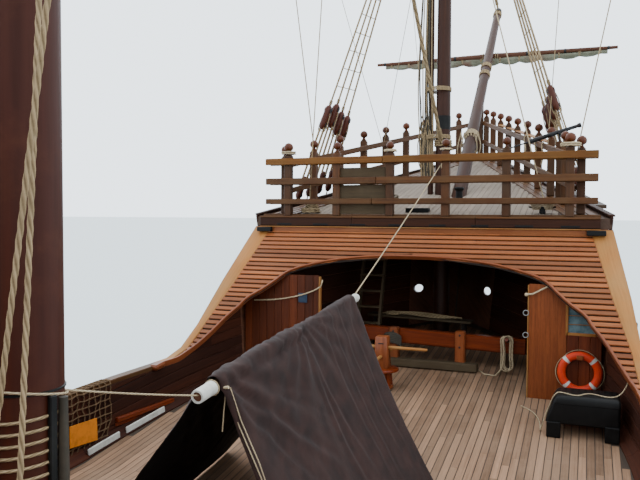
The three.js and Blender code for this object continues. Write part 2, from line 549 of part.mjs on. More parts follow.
const doorLeaf = (y, z0, [x, way]) => {
  const [a, b] = [x + way * DOOR.clear, x + way * (DOOR.clear + DOOR.width)].sort((p, q) => p - q);
  const foot = z0 + DOOR.sill + DOOR.clear, face = y + 12;
  const leaf = box(a, b, face, face + DOOR.thick, foot, foot + DOOR.height);
  const pinAt = (z) => v3(x + way * DOOR.pinIn, y + DOOR.pinOut, z);
  return join(leaf, rod(pinAt(pinFoot(z0)), pinAt(foot + DOOR.height - 170), DOOR.pinR, DOOR.pinR, 6));
};
const HALF_DOORS = [[1700, -1], [-1700, 1]];
const POOP_DOOR = [1500, -1];
const halfWallY = HALF_BREAK_Y - 220, halfFoot = footOn(halfWallY + 35, 35);
const halfWallTop = halfDeckZ(halfWallY + 70) - DECK_THICK - GAP;
piece("half_deck_bulkhead", doorWall(halfWallY, halfFoot, halfWallTop, HALF_DOORS), "varnish");
SIDES.forEach(([name], i) => {
  piece("half_deck_door_" + name, doorLeaf(halfWallY, halfFoot, HALF_DOORS[i]), "varnish");
});
const poopWallY = POOP_BREAK_Y - 220, poopFoot = halfDeckZ(poopWallY) + GAP;
const poopWallTop = poopDeckZ(poopWallY + 70) - DECK_THICK - GAP;
piece("poop_bulkhead", doorWall(poopWallY, poopFoot, poopWallTop, [POOP_DOOR]), "varnish");
piece("poop_door", doorLeaf(poopWallY, poopFoot, POOP_DOOR), "varnish");

// Transom above the deck, raked with the sternpost, with the tiller's port and stern windows
const TILLER_PORT = { half: 540, z0: 2330, z1: 2960 };
const TRANSOM = { z1: 6560, thick: 110, back: 1 };
function transomWall() {
  const foot = deckZ(DECK_LINE[0][0]) + GAP;
  const levels = STERN_LEVELS.map((t) => foot + t * (TRANSOM.z1 - foot));
  const at = (z, depth) => v3(breadthAt(0, z) - WALL - 3, sternY(z) + depth, z);
  const ring = (depth) => {
    const right = levels.map((z) => at(z, depth));
    return [...right, ...right.map((p) => v3(-p.x, p.y, p.z)).reverse()];
  };
  const wall = loft([ring(TRANSOM.back), ring(TRANSOM.back + TRANSOM.thick)]);
  const port = box(-TILLER_PORT.half, TILLER_PORT.half, -12000, -9000, TILLER_PORT.z0, TILLER_PORT.z1);
  const windows = STERN_WINDOWS.map((x) => box(x - 200, x + 200, -12000, -9000, 4750, 5300));
  return join(cut(wall, port, ...windows), sternRail());
}
const STERN_WINDOWS = [-1050, -350, 350, 1050];

// Railings of half deck and poop, each running across the break and along both sides
const AFT_BARS = [[415, 525, 80], [860, 975, 90]];
function breakRail(y, levelAt) {
  const x = insideX(y, levelAt(y) + 900) - POST.half - 15;
  const feet = [-1, -0.66, -0.33, 0, 0.33, 0.66, 1].map((t) => v3(t * x, y, levelAt(y - POST.half)));
  return railing(feet, 1020, AFT_BARS);
}
piece("half_deck_rail", breakRail(HALF_BREAK_Y - 90, halfDeckZ), "rail");
piece("poop_rail", breakRail(POOP_BREAK_Y - 90, poopDeckZ), "rail");
function sternRail() {
  const z = TRANSOM.z1 - 12, y = sternY(z) + 62, x = breadthAt(0, z) - WALL - POST.half - 10;
  return railing([-1, -0.5, 0, 0.5, 1].map((t) => v3(t * x, y, z)), 560, [[400, 500, 80]]);
}
piece("transom", transomWall(), "side");

// Rudder and tiller in one body, hung on the sternpost
const RUDDER = { depth: 1350, thick: 160, top: 2620, axisOut: POST_DEPTH + 60 };
const rudderAxisY = (z) => sternY(z) - RUDDER.axisOut;
const PINTLE = { half: 120, r: 32, gudgeon: 60, deep: 60, notch: 85 };
const PINTLE_Z = [-2000, -600, 700, 1900];
const onAxis = (z) => v3(0, rudderAxisY(z), z);
function rudder() {
  const [low, high] = [KEEL_Z - 200, RUDDER.top];
  const blade = slice([
    [rudderAxisY(low) - 10, low], [rudderAxisY(high) - 10, high], [rudderAxisY(high) - 330, high],
    [rudderAxisY(900) - 700, 900], [rudderAxisY(-400) - 1150, -400], [rudderAxisY(low) - RUDDER.depth, low],
  ], -RUDDER.thick / 2, RUDDER.thick / 2);
  const notches = PINTLE_Z.map((z) => {
    const y = rudderAxisY(z - PINTLE.half);
    return box(-200, 200, y - PINTLE.notch, y + 200, z - PINTLE.half - PINTLE.deep - 30, z - PINTLE.half + 12);
  });
  const pintles = PINTLE_Z.map((z) => rod(onAxis(z - PINTLE.half), onAxis(z + PINTLE.half), PINTLE.r, PINTLE.r, 8));
  const head = box(-120, 120, rudderAxisY(2700) - 300, rudderAxisY(2700) + 60, 2545, 2760);
  const tiller = timber(v3(0, rudderAxisY(2640) - 100, 2625), v3(0, rudderAxisY(2640) + 3300, 3120), 110, 130);
  return join(cut(blade, ...notches), ...pintles, head, tiller);
}
// Gudgeons on the sternpost, each under one pintle
function gudgeons() {
  return PINTLE_Z.flatMap((z) => {
    const top = z - PINTLE.half - GAP, low = top - PINTLE.deep, y = rudderAxisY(top);
    const cup = rod(onAxis(low), onAxis(top), PINTLE.gudgeon, PINTLE.gudgeon, 8);
    return [cup, box(-35, 35, y, y + RUDDER.axisOut - POST_DEPTH + 40, low + 8, top - 12)];
  });
}
piece("rudder", rudder(), "tarred");
piece("keel_and_stem", join(backbone(), ...gudgeons()), "tarred");

// Masts with their round tops, topmast and bowsprit
function radiusAt(mast, z) {
  const foot = mast.foot ?? footOn(mast.y, mast.r);
  return mast.r + ((mast.top - mast.r) * (z - foot)) / (mast.head - foot);
}
function roundTop(y, z, r, mastR) {
  const outside = [[r * 0.62, z], [r * 0.95, z + 120], [r, z + 850], [r - 60, z + 850]];
  const wall = [...outside, [r * 0.88, z + 190], [mastR, z + 190], [mastR, z]];
  return turned([...wall, wall[0]], 0, y, 16);
}
// A bolster carries the parrel of a mast's yard; the parrel turns on it
const PARREL = { band: 42, clear: 10 };
const parrelR = (mast, z) => radiusAt(mast, z) + PARREL.clear;
function bolster(mast, z) {
  const r = parrelR(mast, z) + PARREL.band * 0.7, [low, high] = [z - 90 - GAP, z - GAP];
  return turned([[radiusAt(mast, low) - 40, low], [r - 30, low], [r, high - 30], [r, high], [radiusAt(mast, high) - 40, high],
    [radiusAt(mast, low) - 40, low]], 0, mast.y, 12);
}
const MAIN_YARD = { z: 16200, half: 6300, r: 150, parrel: 180 };
const FORE_YARD = { z: 14000, half: 4400, r: 115, parrel: 180 };
const LATEEN = { z: 9900, half: 4700, r: 95, slope: 0.9, parrel: 140 };
const parrelFoot = (yard) => yard.z - yard.parrel / 2;
const foreTop = roundTop(FORE.y, FORE.round, 620, 90), mainTop = roundTop(MAIN.y, MAIN.round, 950, 120);
piece("foremast", join(mastOf(FORE), foreTop, bolster(FORE, parrelFoot(FORE_YARD))), "spar");
const topmast = rod(v3(0, MAIN.y + 190, MAIN.round + 100), v3(0, MAIN.y + 190, 24600), 105, 60, 10);
piece("mainmast", join(mastOf(MAIN), mainTop, topmast, bolster(MAIN, parrelFoot(MAIN_YARD))), "spar");
piece("mizzenmast", join(mastOf(MIZZEN), bolster(MIZZEN, parrelFoot(LATEEN))), "spar");
piece("bowsprit", bowspritSpar(), "bowsprit");

// Yards: a spar tapering to its ends, a parrel round the mast and a furled sail below it
function taperedSpar(mid, dir, half, r) {
  const at = (t) => mid.clone().addScaledVector(dir, t);
  return join(rod(at(-half), at(0), r * 0.5, r, 8), rod(at(0), at(half), r, r * 0.5, 8));
}
// The sail hugs the spar from below, so the spar's own form is taken out of it
function furledSail(mid, dir, half, r, yard) {
  const lobes = 9, rows = [];
  for (let i = 0; i <= lobes; i++) {
    const t = -1 + (2 * i) / lobes;
    const fat = r * (0.35 + 0.65 * Math.sqrt(1 - t * t * 0.96)) * (i % 2 ? 1.08 : 0.94);
    const c = mid.clone().addScaledVector(dir, t * half).add(v3(0, r * 0.3, -yard.r * 0.48 - fat));
    const ring = [];
    for (let k = 0; k < 8; k++) {
      const a = (k / 8) * Math.PI * 2 + 0.39;
      ring.push(v3(c.x, c.y + Math.cos(a) * fat, c.z + Math.sin(a) * fat));
    }
    rows.push(ring);
  }
  return cut(loft(rows), taperedSpar(mid, dir, yard.half, yard.r + GAP));
}
function parrel(x, y, z, inner, height) {
  const r = inner + PARREL.band;
  return turned([[inner, z], [r, z], [r, z + height], [inner, z + height], [inner, z]], x, y, 12);
}
function squareYard(mast, yard) {
  const hug = parrelR(mast, parrelFoot(yard));
  const y = mast.y + hug + yard.r + TRUSS;
  const spar = taperedSpar(v3(0, y, yard.z), ACROSS, yard.half, yard.r);
  const truss = box(-90, 90, mast.y + hug + 20, y, parrelFoot(yard) + 10, parrelFoot(yard) + yard.parrel - 10);
  return { geometry: join(spar, truss, parrel(0, mast.y, parrelFoot(yard), hug, yard.parrel)), y };
}
const TRUSS = 170; // holds a square yard clear of the shrouds as it swings
const ACROSS = v3(1, 0, 0);
const mainYard = squareYard(MAIN, MAIN_YARD);
piece("main_yard", mainYard.geometry, "spar");
const mainMiddle = v3(0, mainYard.y, MAIN_YARD.z);
piece("main_sail", furledSail(mainMiddle, ACROSS, MAIN_YARD.half - 500, 200, MAIN_YARD), "sail");
const foreYard = squareYard(FORE, FORE_YARD);
piece("fore_yard", foreYard.geometry, "spar");
const foreMiddle = v3(0, foreYard.y, FORE_YARD.z);
piece("fore_sail", furledSail(foreMiddle, ACROSS, FORE_YARD.half - 400, 160, FORE_YARD), "sail");

// Lateen yard of the mizzen, sloping up aft on the starboard side of its mast
const lateenDir = v3(0, -1, LATEEN.slope).normalize();
const lateenHug = parrelR(MIZZEN, parrelFoot(LATEEN));
const lateenX = lateenHug + LATEEN.r + 30;
piece("mizzen_yard", join(
  taperedSpar(v3(lateenX, MIZZEN.y, LATEEN.z), lateenDir, LATEEN.half, LATEEN.r),
  parrel(0, MIZZEN.y, parrelFoot(LATEEN), lateenHug, LATEEN.parrel),
), "spar");
function lateenSail() {
  const rows = [];
  for (let i = 0; i <= 8; i++) {
    const t = -1 + (2 * i) / 8, fat = 130 * (0.4 + 0.6 * Math.sqrt(1 - t * t * 0.96));
    const c = v3(lateenX + 30, MIZZEN.y, LATEEN.z).addScaledVector(lateenDir, t * (LATEEN.half - 350));
    const down = v3(0, -LATEEN.slope, -1).normalize();
    c.addScaledVector(down, fat + LATEEN.r * 0.48);
    const ring = [];
    for (let k = 0; k < 8; k++) {
      const a = (k / 8) * Math.PI * 2 + 0.39;
      ring.push(v3(c.x + Math.cos(a) * fat, c.y + Math.sin(a) * fat * down.y, c.z + Math.sin(a) * fat * down.z));
    }
    rows.push(ring);
  }
  return cut(loft(rows), taperedSpar(v3(lateenX, MIZZEN.y, LATEEN.z), lateenDir, LATEEN.half, LATEEN.r + GAP));
}
piece("mizzen_sail", lateenSail(), "sail");

// Spritsail yard slung under the bowsprit, square to it
const SPRIT_YARD = { at: 0.764, half: 3300, r: 85 };
const spritDir = v3(0, SPRIT.y1 - SPRIT.y0, SPRIT.z1 - SPRIT.z0).normalize();
const spritDown = v3(0, spritDir.z, -spritDir.y);
const spritPoint = v3(SPRIT.x, SPRIT.y0, SPRIT.z0).lerp(v3(SPRIT.x, SPRIT.y1, SPRIT.z1), SPRIT_YARD.at);
const spritR = SPRIT.r0 + (SPRIT.r1 - SPRIT.r0) * SPRIT_YARD.at;
const spritYardMid = spritPoint.clone().addScaledVector(spritDown, spritR + SPRIT_YARD.r + 12);
const spritSling = rod(
  spritPoint.clone().addScaledVector(spritDown, spritR + 0.6),
  spritPoint.clone().addScaledVector(spritDown, spritR + 60), 60, 60, 8,
);
piece("spritsail_yard", join(taperedSpar(spritYardMid, ACROSS, SPRIT_YARD.half, SPRIT_YARD.r), spritSling), "spar");
piece("spritsail", furledSail(spritYardMid, ACROSS, SPRIT_YARD.half - 250, 105, SPRIT_YARD), "sail");

// Shrouds: half eyes round the masthead, ropes down to long blocks on a channel outside the ship's side
function shroudSet(mast, headZ, feet, r, board) {
  const inner = radiusAt(mast, headZ) + GAP;
  const otherHalf = box(-900, GAP / 2, mast.y - 900, mast.y + 900, headZ - 99, headZ + 99);
  const parts = [cut(parrel(0, mast.y, headZ, inner, 60), otherHalf)];
  for (const foot of feet) {
    const eye = v3(0, mast.y, headZ + 30).add(v3(foot.x, foot.y - mast.y, 0).setLength(inner + r + 3));
    const way = eye.clone().sub(foot).normalize();
    parts.push(rod(foot, eye, r, r, 4));
    parts.push(rod(foot.clone().addScaledVector(way, 130), foot.clone().addScaledVector(way, 680), 75, 60, 4));
  }
  if (board) parts.push(box(...board));
  return join(...parts);
}
const channelAt = (y0, y1, z, out) => {
  const x = Math.max(halfBreadth(y0, z), halfBreadth(y1, z), halfBreadth((y0 + y1) / 2, z)) + CHANNEL_STANDOFF;
  return { board: [x, x + out, y0, y1, z - 40, z + 40], x: x + out - 110, z };
};
const spread = (y0, y1, count) => Array.from({ length: count }, (_, i) => y0 + ((y1 - y0) * i) / (count - 1));
const mainChannel = channelAt(-2300, 350, 2330, 420);
const mainFeet = spread(-2100, 100, 5).map((y) => v3(mainChannel.x, y, mainChannel.z));
const FORE_CHANNEL = { y0: 11350, y1: 13050, out: 470 };
const FORE_FEET = { starboard: [12050, 13000], port: [11500, 12450] }; // y of the first and last shroud
const foreFeet = ([y0, y1]) => spread(y0, y1, 4).map((y) => v3(deckEdgeX(y) + 350, y, foreDeckZ(y) - 60));
function foreChannel() {
  const { y0, y1, out } = FORE_CHANNEL;
  const x0 = deckEdgeX(y0), x1 = deckEdgeX(y1);
  const plan = [[x0 + GAP, y0], [x0 + out, y0], [x1 + out, y1], [x1 + GAP, y1]];
  const lift = [[y0 - 50, foreDeckZ(y0 - 50) - 110], [y1 + 50, foreDeckZ(y1 + 50) - 110],
    [y1 + 50, foreDeckZ(y1 + 50) - 40], [y0 - 50, foreDeckZ(y0 - 50) - 40]];
  return common(prism(plan, 4000, 8000), slice(lift, 0, 4000));
}
const mizzenChannel = channelAt(-6780, -5700, 4000, 330);
const mizzenFeet = spread(-6690, -5850, 3).map((y) => v3(mizzenChannel.x, y, mizzenChannel.z));
for (const [name, sign] of SIDES) {
  const fore = join(shroudSet(FORE, FORE.round - 340, foreFeet(FORE_FEET[name]), 22, null), foreChannel());
  piece("fore_shrouds_" + name, onSide(fore, sign), "rope");
  const main = shroudSet(MAIN, MAIN.round - 240, mainFeet, 26, mainChannel.board);
  piece("main_shrouds_" + name, onSide(main, sign), "rope");
  const mizzen = shroudSet(MIZZEN, MIZZEN.round - 300, mizzenFeet, 18, mizzenChannel.board);
  piece("mizzen_shrouds_" + name, onSide(mizzen, sign), "rope");
}

// Stays: from a collar on one mast forward and down to the next holding point
function stay(mast, headZ, end, r) {
  const inner = radiusAt(mast, headZ) + GAP;
  const start = v3(0, mast.y + inner + r + 2, headZ + 45);
  return join(parrel(0, mast.y, headZ, inner, 60), rod(start, end, r, r, 6));
}
const mainstayEnd = v3(0, FORE.y - FORE.r - 8, 6900);
piece("mainstay", stay(MAIN, MAIN.round - 150, mainstayEnd, 38), "rope");
const forestayEnd = v3(SPRIT.x, SPRIT.y1 - 130, SPRIT.z1 - 130 * 0.9 + SPRIT.r1 + 75);
piece("forestay", stay(FORE, FORE.round - 250, forestayEnd, 28), "rope");

// Bower anchors, lashed against the bows with their shanks level
const ANCHOR = { z: 2950, crownY: 11650, ringY: 14000, press: 60 };
function anchor() {
  const at = (y, out) => v3(halfBreadth(stationY(y, ANCHOR.z), ANCHOR.z) + out, y, ANCHOR.z);
  const [a, b] = [at(ANCHOR.crownY, 0), at(ANCHOR.ringY, 0)];
  const bulge = Math.max(...[0.3, 0.4, 0.5, 0.6, 0.7].map((t) => {
    const y = a.y + (b.y - a.y) * t;
    return at(y, 0).x - (a.x + (b.x - a.x) * t);
  }));
  const out = bulge + ANCHOR.press;
  const [crown, ring] = [at(ANCHOR.crownY, out), at(ANCHOR.ringY, out + 230)];
  const shank = rod(crown, ring, 75, 60, 6);
  const arms = [-1, 1].map((way) => rod(crown, crown.clone().add(v3(260, 420, way * 700)), 62, 34, 6));
  const palms = [-1, 1].map((way) => {
    const tip = crown.clone().add(v3(235, 380, way * 620));
    return box(tip.x - 150, tip.x + 150, tip.y - 70, tip.y - 35, tip.z - 170, tip.z + 170);
  });
  const stock = box(ring.x - 20, ring.x + 110, ring.y - 235, ring.y - 95, ring.z - 425, ring.z + 400);
  const eye = new THREE.TorusGeometry(130, 22, 5, 10).rotateY(Math.PI / 2).translate(ring.x, ring.y + 120, ring.z);
  const sides = [bowWall, hullBody].map((g) => g.clone().translate(GAP, 0, 0));
  return cut(join(shank, ...arms, ...palms, stock, eye), ...sides);
}
for (const [name, sign] of SIDES) piece("anchor_" + name, onSide(anchor(), sign), "iron");

// Swivel gun on its crutch, on the starboard forecastle rail
const gunWay = v3(0.93, 0.08, 0.3).normalize();
const gunAt = (t) => v3(GUN.x, GUN.y, GUN.z).addScaledVector(gunWay, t);
piece("swivel_gun", join(
  rod(gunAt(-600), gunAt(420), 50, 37, 12), rod(gunAt(350), gunAt(420), 37, 50, 12),
  rod(gunAt(-1000), gunAt(-580), 16, 20, 6), rod(v3(GUN.x, GUN.y, GUN.z - 190), v3(GUN.x, GUN.y, GUN.z), 24, 24, 8),
  box(GUN.x - 50, GUN.x + 50, GUN.y - 95, GUN.y + 95, GUN.z - 60, GUN.z + 15),
), "iron");

// Canvas tent in the waist over its ridge pole, which two guys hold between mast and forecastle rail
const TENT = { y0: 2200, y1: 5920, ridge0: 3840, ridge1: 4175, right: 1190, left: -1900, cloth: 16, poleR: 55 };
const ridgeZ = (y) => TENT.ridge0 + ((TENT.ridge1 - TENT.ridge0) * (y - TENT.y0)) / (TENT.y1 - TENT.y0);
function tentCanvas() {
  const rows = [TENT.y0, 3450, 4700, TENT.y1].map((y) => {
    const foot = deckZ(y) + GAP, top = ridgeZ(y);
    const half = (hem, side) => [v3(hem, y, foot), v3(side * 90, y, top - 50)];
    const outer = [...half(TENT.right, 1), v3(0, y, top), ...half(TENT.left, -1).reverse()];
    const inner = outer.map((p) => {
      const drop = p.z > foot ? TENT.cloth : 0;
      return v3(p.x - Math.sign(p.x) * TENT.cloth * 1.3, y, p.z - drop);
    });
    return [...outer, ...inner.reverse()];
  });
  return loft(rows);
}
piece("tent_canvas", tentCanvas(), "canvas");
const poleAt = (y) => v3(0, y, ridgeZ(y) - TENT.cloth - TENT.poleR * 1.247); // touching both slopes of the ridge
const guyFore = v3(410, BREAK_Y + 10, 6230), guyMast = v3(-20, radiusAt(MAIN, 4190) + 4, 4190);
piece("tent_pole", join(
  rod(poleAt(TENT.y0 - 260), poleAt(TENT.y1 + 260), TENT.poleR, TENT.poleR, 10),
  rod(poleAt(TENT.y1 + 240), guyFore, 13, 13, 6), rod(poleAt(TENT.y0 - 240), guyMast, 13, 13, 6),
), "varnish");

// Main hatch under the tent, ladders up to the decks
const HATCH = { half: 800, y0: 2500, y1: 4100, high: 230, lip: 90 };
const hatchFoot = footOn((HATCH.y0 + HATCH.y1) / 2, (HATCH.y1 - HATCH.y0) / 2);
const hatchTop = hatchFoot + HATCH.high;
const hatchBlock = (inset, z0, z1) => {
  return box(-HATCH.half + inset, HATCH.half - inset, HATCH.y0 + inset, HATCH.y1 - inset, z0, z1);
};
piece("main_hatch", join(
  cut(hatchBlock(0, hatchFoot, hatchTop), hatchBlock(HATCH.lip, 1500, hatchTop - 60)),
  hatchBlock(20, hatchTop - 30, hatchTop),
), "varnish");
// A ladder from the deck at foot [y, z] to a beam's face at head [y, z]
function ladder(x, width, foot, head, steps) {
  const lean = Math.sign(foot[0] - head[0]);
  const outline = [[foot[0] + lean * 95, foot[1]], [foot[0] - lean * 95, foot[1]], [head[0], head[1] - 230], head];
  const parts = [-1, 1].map((way) => slice(outline, x + (way * width) / 2 - 22, x + (way * width) / 2 + 22));
  for (let i = 1; i <= steps; i++) {
    const t = i / (steps + 0.6);
    const y = foot[0] + (head[0] - foot[0]) * t, z = foot[1] + (head[1] - 115 - foot[1]) * t;
    parts.push(box(x - width / 2, x + width / 2, y - 80, y + 80, z - 15, z + 20));
  }
  return join(...parts);
}
const LADDERS = [ // name, x, width, y of foot, its deck, y and z of head, treads
  ["half_deck_ladder", -2900, 620, -1750, deckZ, HALF_BREAK_Y + GAP, HALF_DECK_Z - 10, 7],
  ["poop_ladder", -2000, 560, -6020, halfDeckZ, POOP_BREAK_Y + GAP, POOP_DECK_Z - 10, 7],
  ["fore_ladder", -1270, 480, 10760, deckZ, FORE_HATCH[3] - GAP, foreDeckZ(FORE_HATCH[3]) - 20, 9],
];
for (const [name, x, width, y, deck, headY, headZ, treads] of LADDERS) {
  const z = Math.max(deck(y - 95), deck(y + 95)) + GAP;
  piece(name, ladder(x, width, [y, z], [headY, headZ], treads), "varnish");
}

export default ship;
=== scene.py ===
from math import atan2, ceil, copysign, cos, exp, hypot, pi, radians, sin, sqrt, tau

import bmesh
import bpy
from mathutils import Matrix, Vector, noise


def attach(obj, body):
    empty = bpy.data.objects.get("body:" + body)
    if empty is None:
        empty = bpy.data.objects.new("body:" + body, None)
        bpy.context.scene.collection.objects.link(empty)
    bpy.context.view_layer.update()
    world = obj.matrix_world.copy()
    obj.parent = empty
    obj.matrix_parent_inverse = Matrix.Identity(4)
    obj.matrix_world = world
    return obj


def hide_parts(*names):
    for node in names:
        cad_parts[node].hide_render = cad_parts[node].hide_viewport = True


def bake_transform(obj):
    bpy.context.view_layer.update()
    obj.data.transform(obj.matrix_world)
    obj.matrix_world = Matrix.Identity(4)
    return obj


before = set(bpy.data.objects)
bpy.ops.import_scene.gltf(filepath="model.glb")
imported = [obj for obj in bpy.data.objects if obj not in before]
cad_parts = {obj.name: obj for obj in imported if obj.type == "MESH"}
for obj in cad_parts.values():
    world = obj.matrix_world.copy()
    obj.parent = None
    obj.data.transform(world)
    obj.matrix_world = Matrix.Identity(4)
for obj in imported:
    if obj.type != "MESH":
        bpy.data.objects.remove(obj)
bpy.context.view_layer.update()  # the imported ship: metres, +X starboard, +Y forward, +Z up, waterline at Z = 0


def vec(x, y, z):
    return Vector((x, y, z))


UP, FORWARD, STARBOARD = vec(0, 0, 1), vec(0, 1, 0), vec(1, 0, 0)
SIDES = (("starboard", 1), ("port", -1))

# Driving sizes, the same as in the part's source, in metres
KEEL_Z = -2.45
POST_HALF = 0.14
WALL = 0.12
CAP_THICK, CHANNEL_STANDOFF = 0.055, 0.083
REST_GAP = 0.0004  # under solids that rest on others
WIDEST = 0.56
SHEER_AT_MAST, SHEER_RISE = 2.48, 0.03
FRONT_FOOT_Y, FRONT_SLOPE, FRONT_BEND = 7.857, 1.0913, 0.45
BREAK_Y, FORE_DECK_Z, FORE_DECK_RISE, FORE_DECK_THICK = 10.0, 5.25, 0.225, 0.18
APEX_Y = 18.3
RAIL_X, RAIL_CORNER_Y, RAIL_TAPER = 2.95, 10.1, 0.3554
DECK_CORNER_X, DECK_APEX_X = 3.43, 0.19
HALF_BREAK_Y, HALF_DECK_Z = -2.6, 3.62
POOP_BREAK_Y, POOP_DECK_Z = -6.8, 5.75
DECK_RISE_AFT = 0.045
MAIN = {"y": 0.0, "foot": 1.55, "head": 19.0, "r": 0.245, "top": 0.175, "round": 17.2}
FORE = {"y": 12.35, "foot": 2.57, "head": 16.8, "r": 0.178, "top": 0.12, "round": 15.0}
MIZZEN = {"y": -6.1, "foot": 3.77, "head": 14.6, "r": 0.15, "top": 0.09, "round": 13.6}
SPRIT_FOOT, SPRIT_HEAD, SPRIT_R = vec(0.4, 11.25, 4.924), vec(0.4, 18.6, 11.5), (0.165, 0.1)

# Sheer of the main deck: y, z
DECK_LINE = [
    (-10.4, 2.15), (-9, 1.98), (-7.5, 1.84), (-6, 1.73), (-4.5, 1.65), (-2.6, 1.595), (-1.2, 1.565),
    (0, 1.55),
    (1.5, 1.555), (3, 1.58), (4.2, 1.61), (5, 1.645), (6, 1.758), (7, 1.882), (7.45, 1.938), (7.857, 1.988),
    (8.3, 2.043), (9, 2.13), (10, 2.254), (11, 2.378), (12, 2.502), (13, 2.626), (13.6, 2.7), (14.15, 2.77),
]
# Cap board of the waist: y, how far it reaches in and out from the side's outer face
CAP_LINE = [
    (-2.6, 0.14, 0.03), (7, 0.14, 0.03), (7.45, 0.07, 0.06), (7.857, 0.063, 0.08), (8.3, 0.068, 0.08),
    (9, 0.2, 0.08), (10, 0.287, 0.08),
]
# Rabbet of the stem: z, y
STEM_LINE = [
    (-2.45, 10.4), (-1.9, 11.3), (-1.2, 12.25), (-0.4, 12.95), (0.5, 13.48), (1.5, 13.88),
    (2.77, 14.15), (4, 14.7), (5.2, 15.3), (6.4, 15.75),
]
# Half breadths: z, widest, fullness forward, at the transom, fullness aft
BREADTH = [
    (-2.45, 0.14, 2, 0.14, 2), (-2.25, 1.3, 1.6, 0.14, 1.3), (-1.8, 2.5, 1.8, 0.14, 1.4),
    (-1, 3.4, 2.1, 0.14, 1.6), (0, 3.88, 2.5, 0.25, 1.9), (0.8, 4.05, 2.8, 1.15, 2.3),
    (1.7, 4.12, 3.0, 1.8, 2.7), (2.7, 4.12, 3.1, 2.05, 2.8), (4, 4.08, 3.05, 2.0, 2.8),
    (5.2, 3.98, 3.0, 1.9, 2.7), (7.2, 3.65, 3.0, 1.7, 2.6),
]


def along(table, at, column=1):
    """Value in a table's column at a place in its first column, straight between rows."""
    if at <= table[0][0]:
        return table[0][column]
    for a, b in zip(table, table[1:]):
        if at <= b[0]:
            return a[column] + (b[column] - a[column]) * (at - a[0]) / (b[0] - a[0])
    return table[-1][column]


def clamp(t, low=0.0, high=1.0):
    return min(max(t, low), high)


def mix(a, b, t):
    return a + (b - a) * t


def deck_z(y):
    return along(DECK_LINE, y)


def stem_y(z):
    return along(STEM_LINE, z)


def stern_y(z):
    return -10.4 - 0.152 * (z - 2.15)


def fore_deck_z(y):
    return FORE_DECK_Z + FORE_DECK_RISE * (y - BREAK_Y)


def half_deck_z(y):
    return HALF_DECK_Z + DECK_RISE_AFT * (HALF_BREAK_Y - y)


def poop_deck_z(y):
    return POOP_DECK_Z + DECK_RISE_AFT * (POOP_BREAK_Y - y)


def fore_rail_x(y):
    return RAIL_X - RAIL_TAPER * (y - RAIL_CORNER_Y)


def fore_deck_edge(y):
    return mix(DECK_CORNER_X, DECK_APEX_X, (y - BREAK_Y) / (APEX_Y - BREAK_Y))


def sheer_top(y):
    """Top of the waist bulwark, bending up into the sloping front of the forecastle."""
    d = y - FRONT_FOOT_Y
    lift = 0 if d < -FRONT_BEND else d if d > FRONT_BEND else (d + FRONT_BEND) ** 2 / (4 * FRONT_BEND)
    return SHEER_AT_MAST + SHEER_RISE * y + (FRONT_SLOPE - SHEER_RISE) * lift


def half_breadth(y, z):
    u = (y - stern_y(z)) / (stem_y(z) - stern_y(z))
    widest, fore, aft, run = (along(BREADTH, z, c) for c in (1, 2, 3, 4))
    if u >= WIDEST:
        return POST_HALF + (widest - POST_HALF) * (1 - clamp((u - WIDEST) / (1 - WIDEST)) ** fore)
    return aft + (widest - aft) * (1 - clamp((WIDEST - u) / WIDEST) ** run)


def station_y(y, z):
    """Where the station of deck level y lies at height z; near the ends it leans with stem or sternpost."""
    fore = clamp((y - BREAK_Y) / (DECK_LINE[-1][0] - BREAK_Y))
    aft = clamp((-9.0 - y) / (-9.0 - DECK_LINE[0][0]))
    return y + fore * (stem_y(z) - stem_y(deck_z(y))) + aft * (stern_y(z) - stern_y(deck_z(y)))


def side_at(y, height):
    """Point of the ship's side at deck station y and a height function, straight between the stations."""
    i = next(i for i, row in enumerate(DECK_LINE) if row[0] >= y - 1e-9)
    i = max(i, 1)
    points = []
    for station in (DECK_LINE[i - 1][0], DECK_LINE[i][0]):
        z = height(station)
        at = station_y(station, z)
        points.append(vec(half_breadth(at, z), at, z))
    a, b = DECK_LINE[i - 1][0], DECK_LINE[i][0]
    return points[0].lerp(points[1], (y - a) / (b - a))


def spread(a, b, count):
    return [mix(a, b, i / (count - 1)) for i in range(count)]


def series(start, step, count):
    return [start + step * k for k in range(count)]


def over_deck(height):
    """A line at a height over the main deck, for planks that follow its sheer."""
    return lambda y: deck_z(y) + height


def polar(angle, r=1.0, z=0.0):
    return vec(r * cos(angle), r * sin(angle), z)


def square_to(axis):
    """The axis as a unit vector, and two more that stand square to it."""
    axis = Vector(axis).normalized()
    side = axis.cross(FORWARD if abs(axis.y) < 0.9 else STARBOARD).normalized()
    return axis, side, axis.cross(side)


# Mesh building. A UV map in metres runs along the grain (u) and across it (v); each board
# has a v range of its own, from which the wood shaders draw its tone.
BOARD_STEP = 4.0


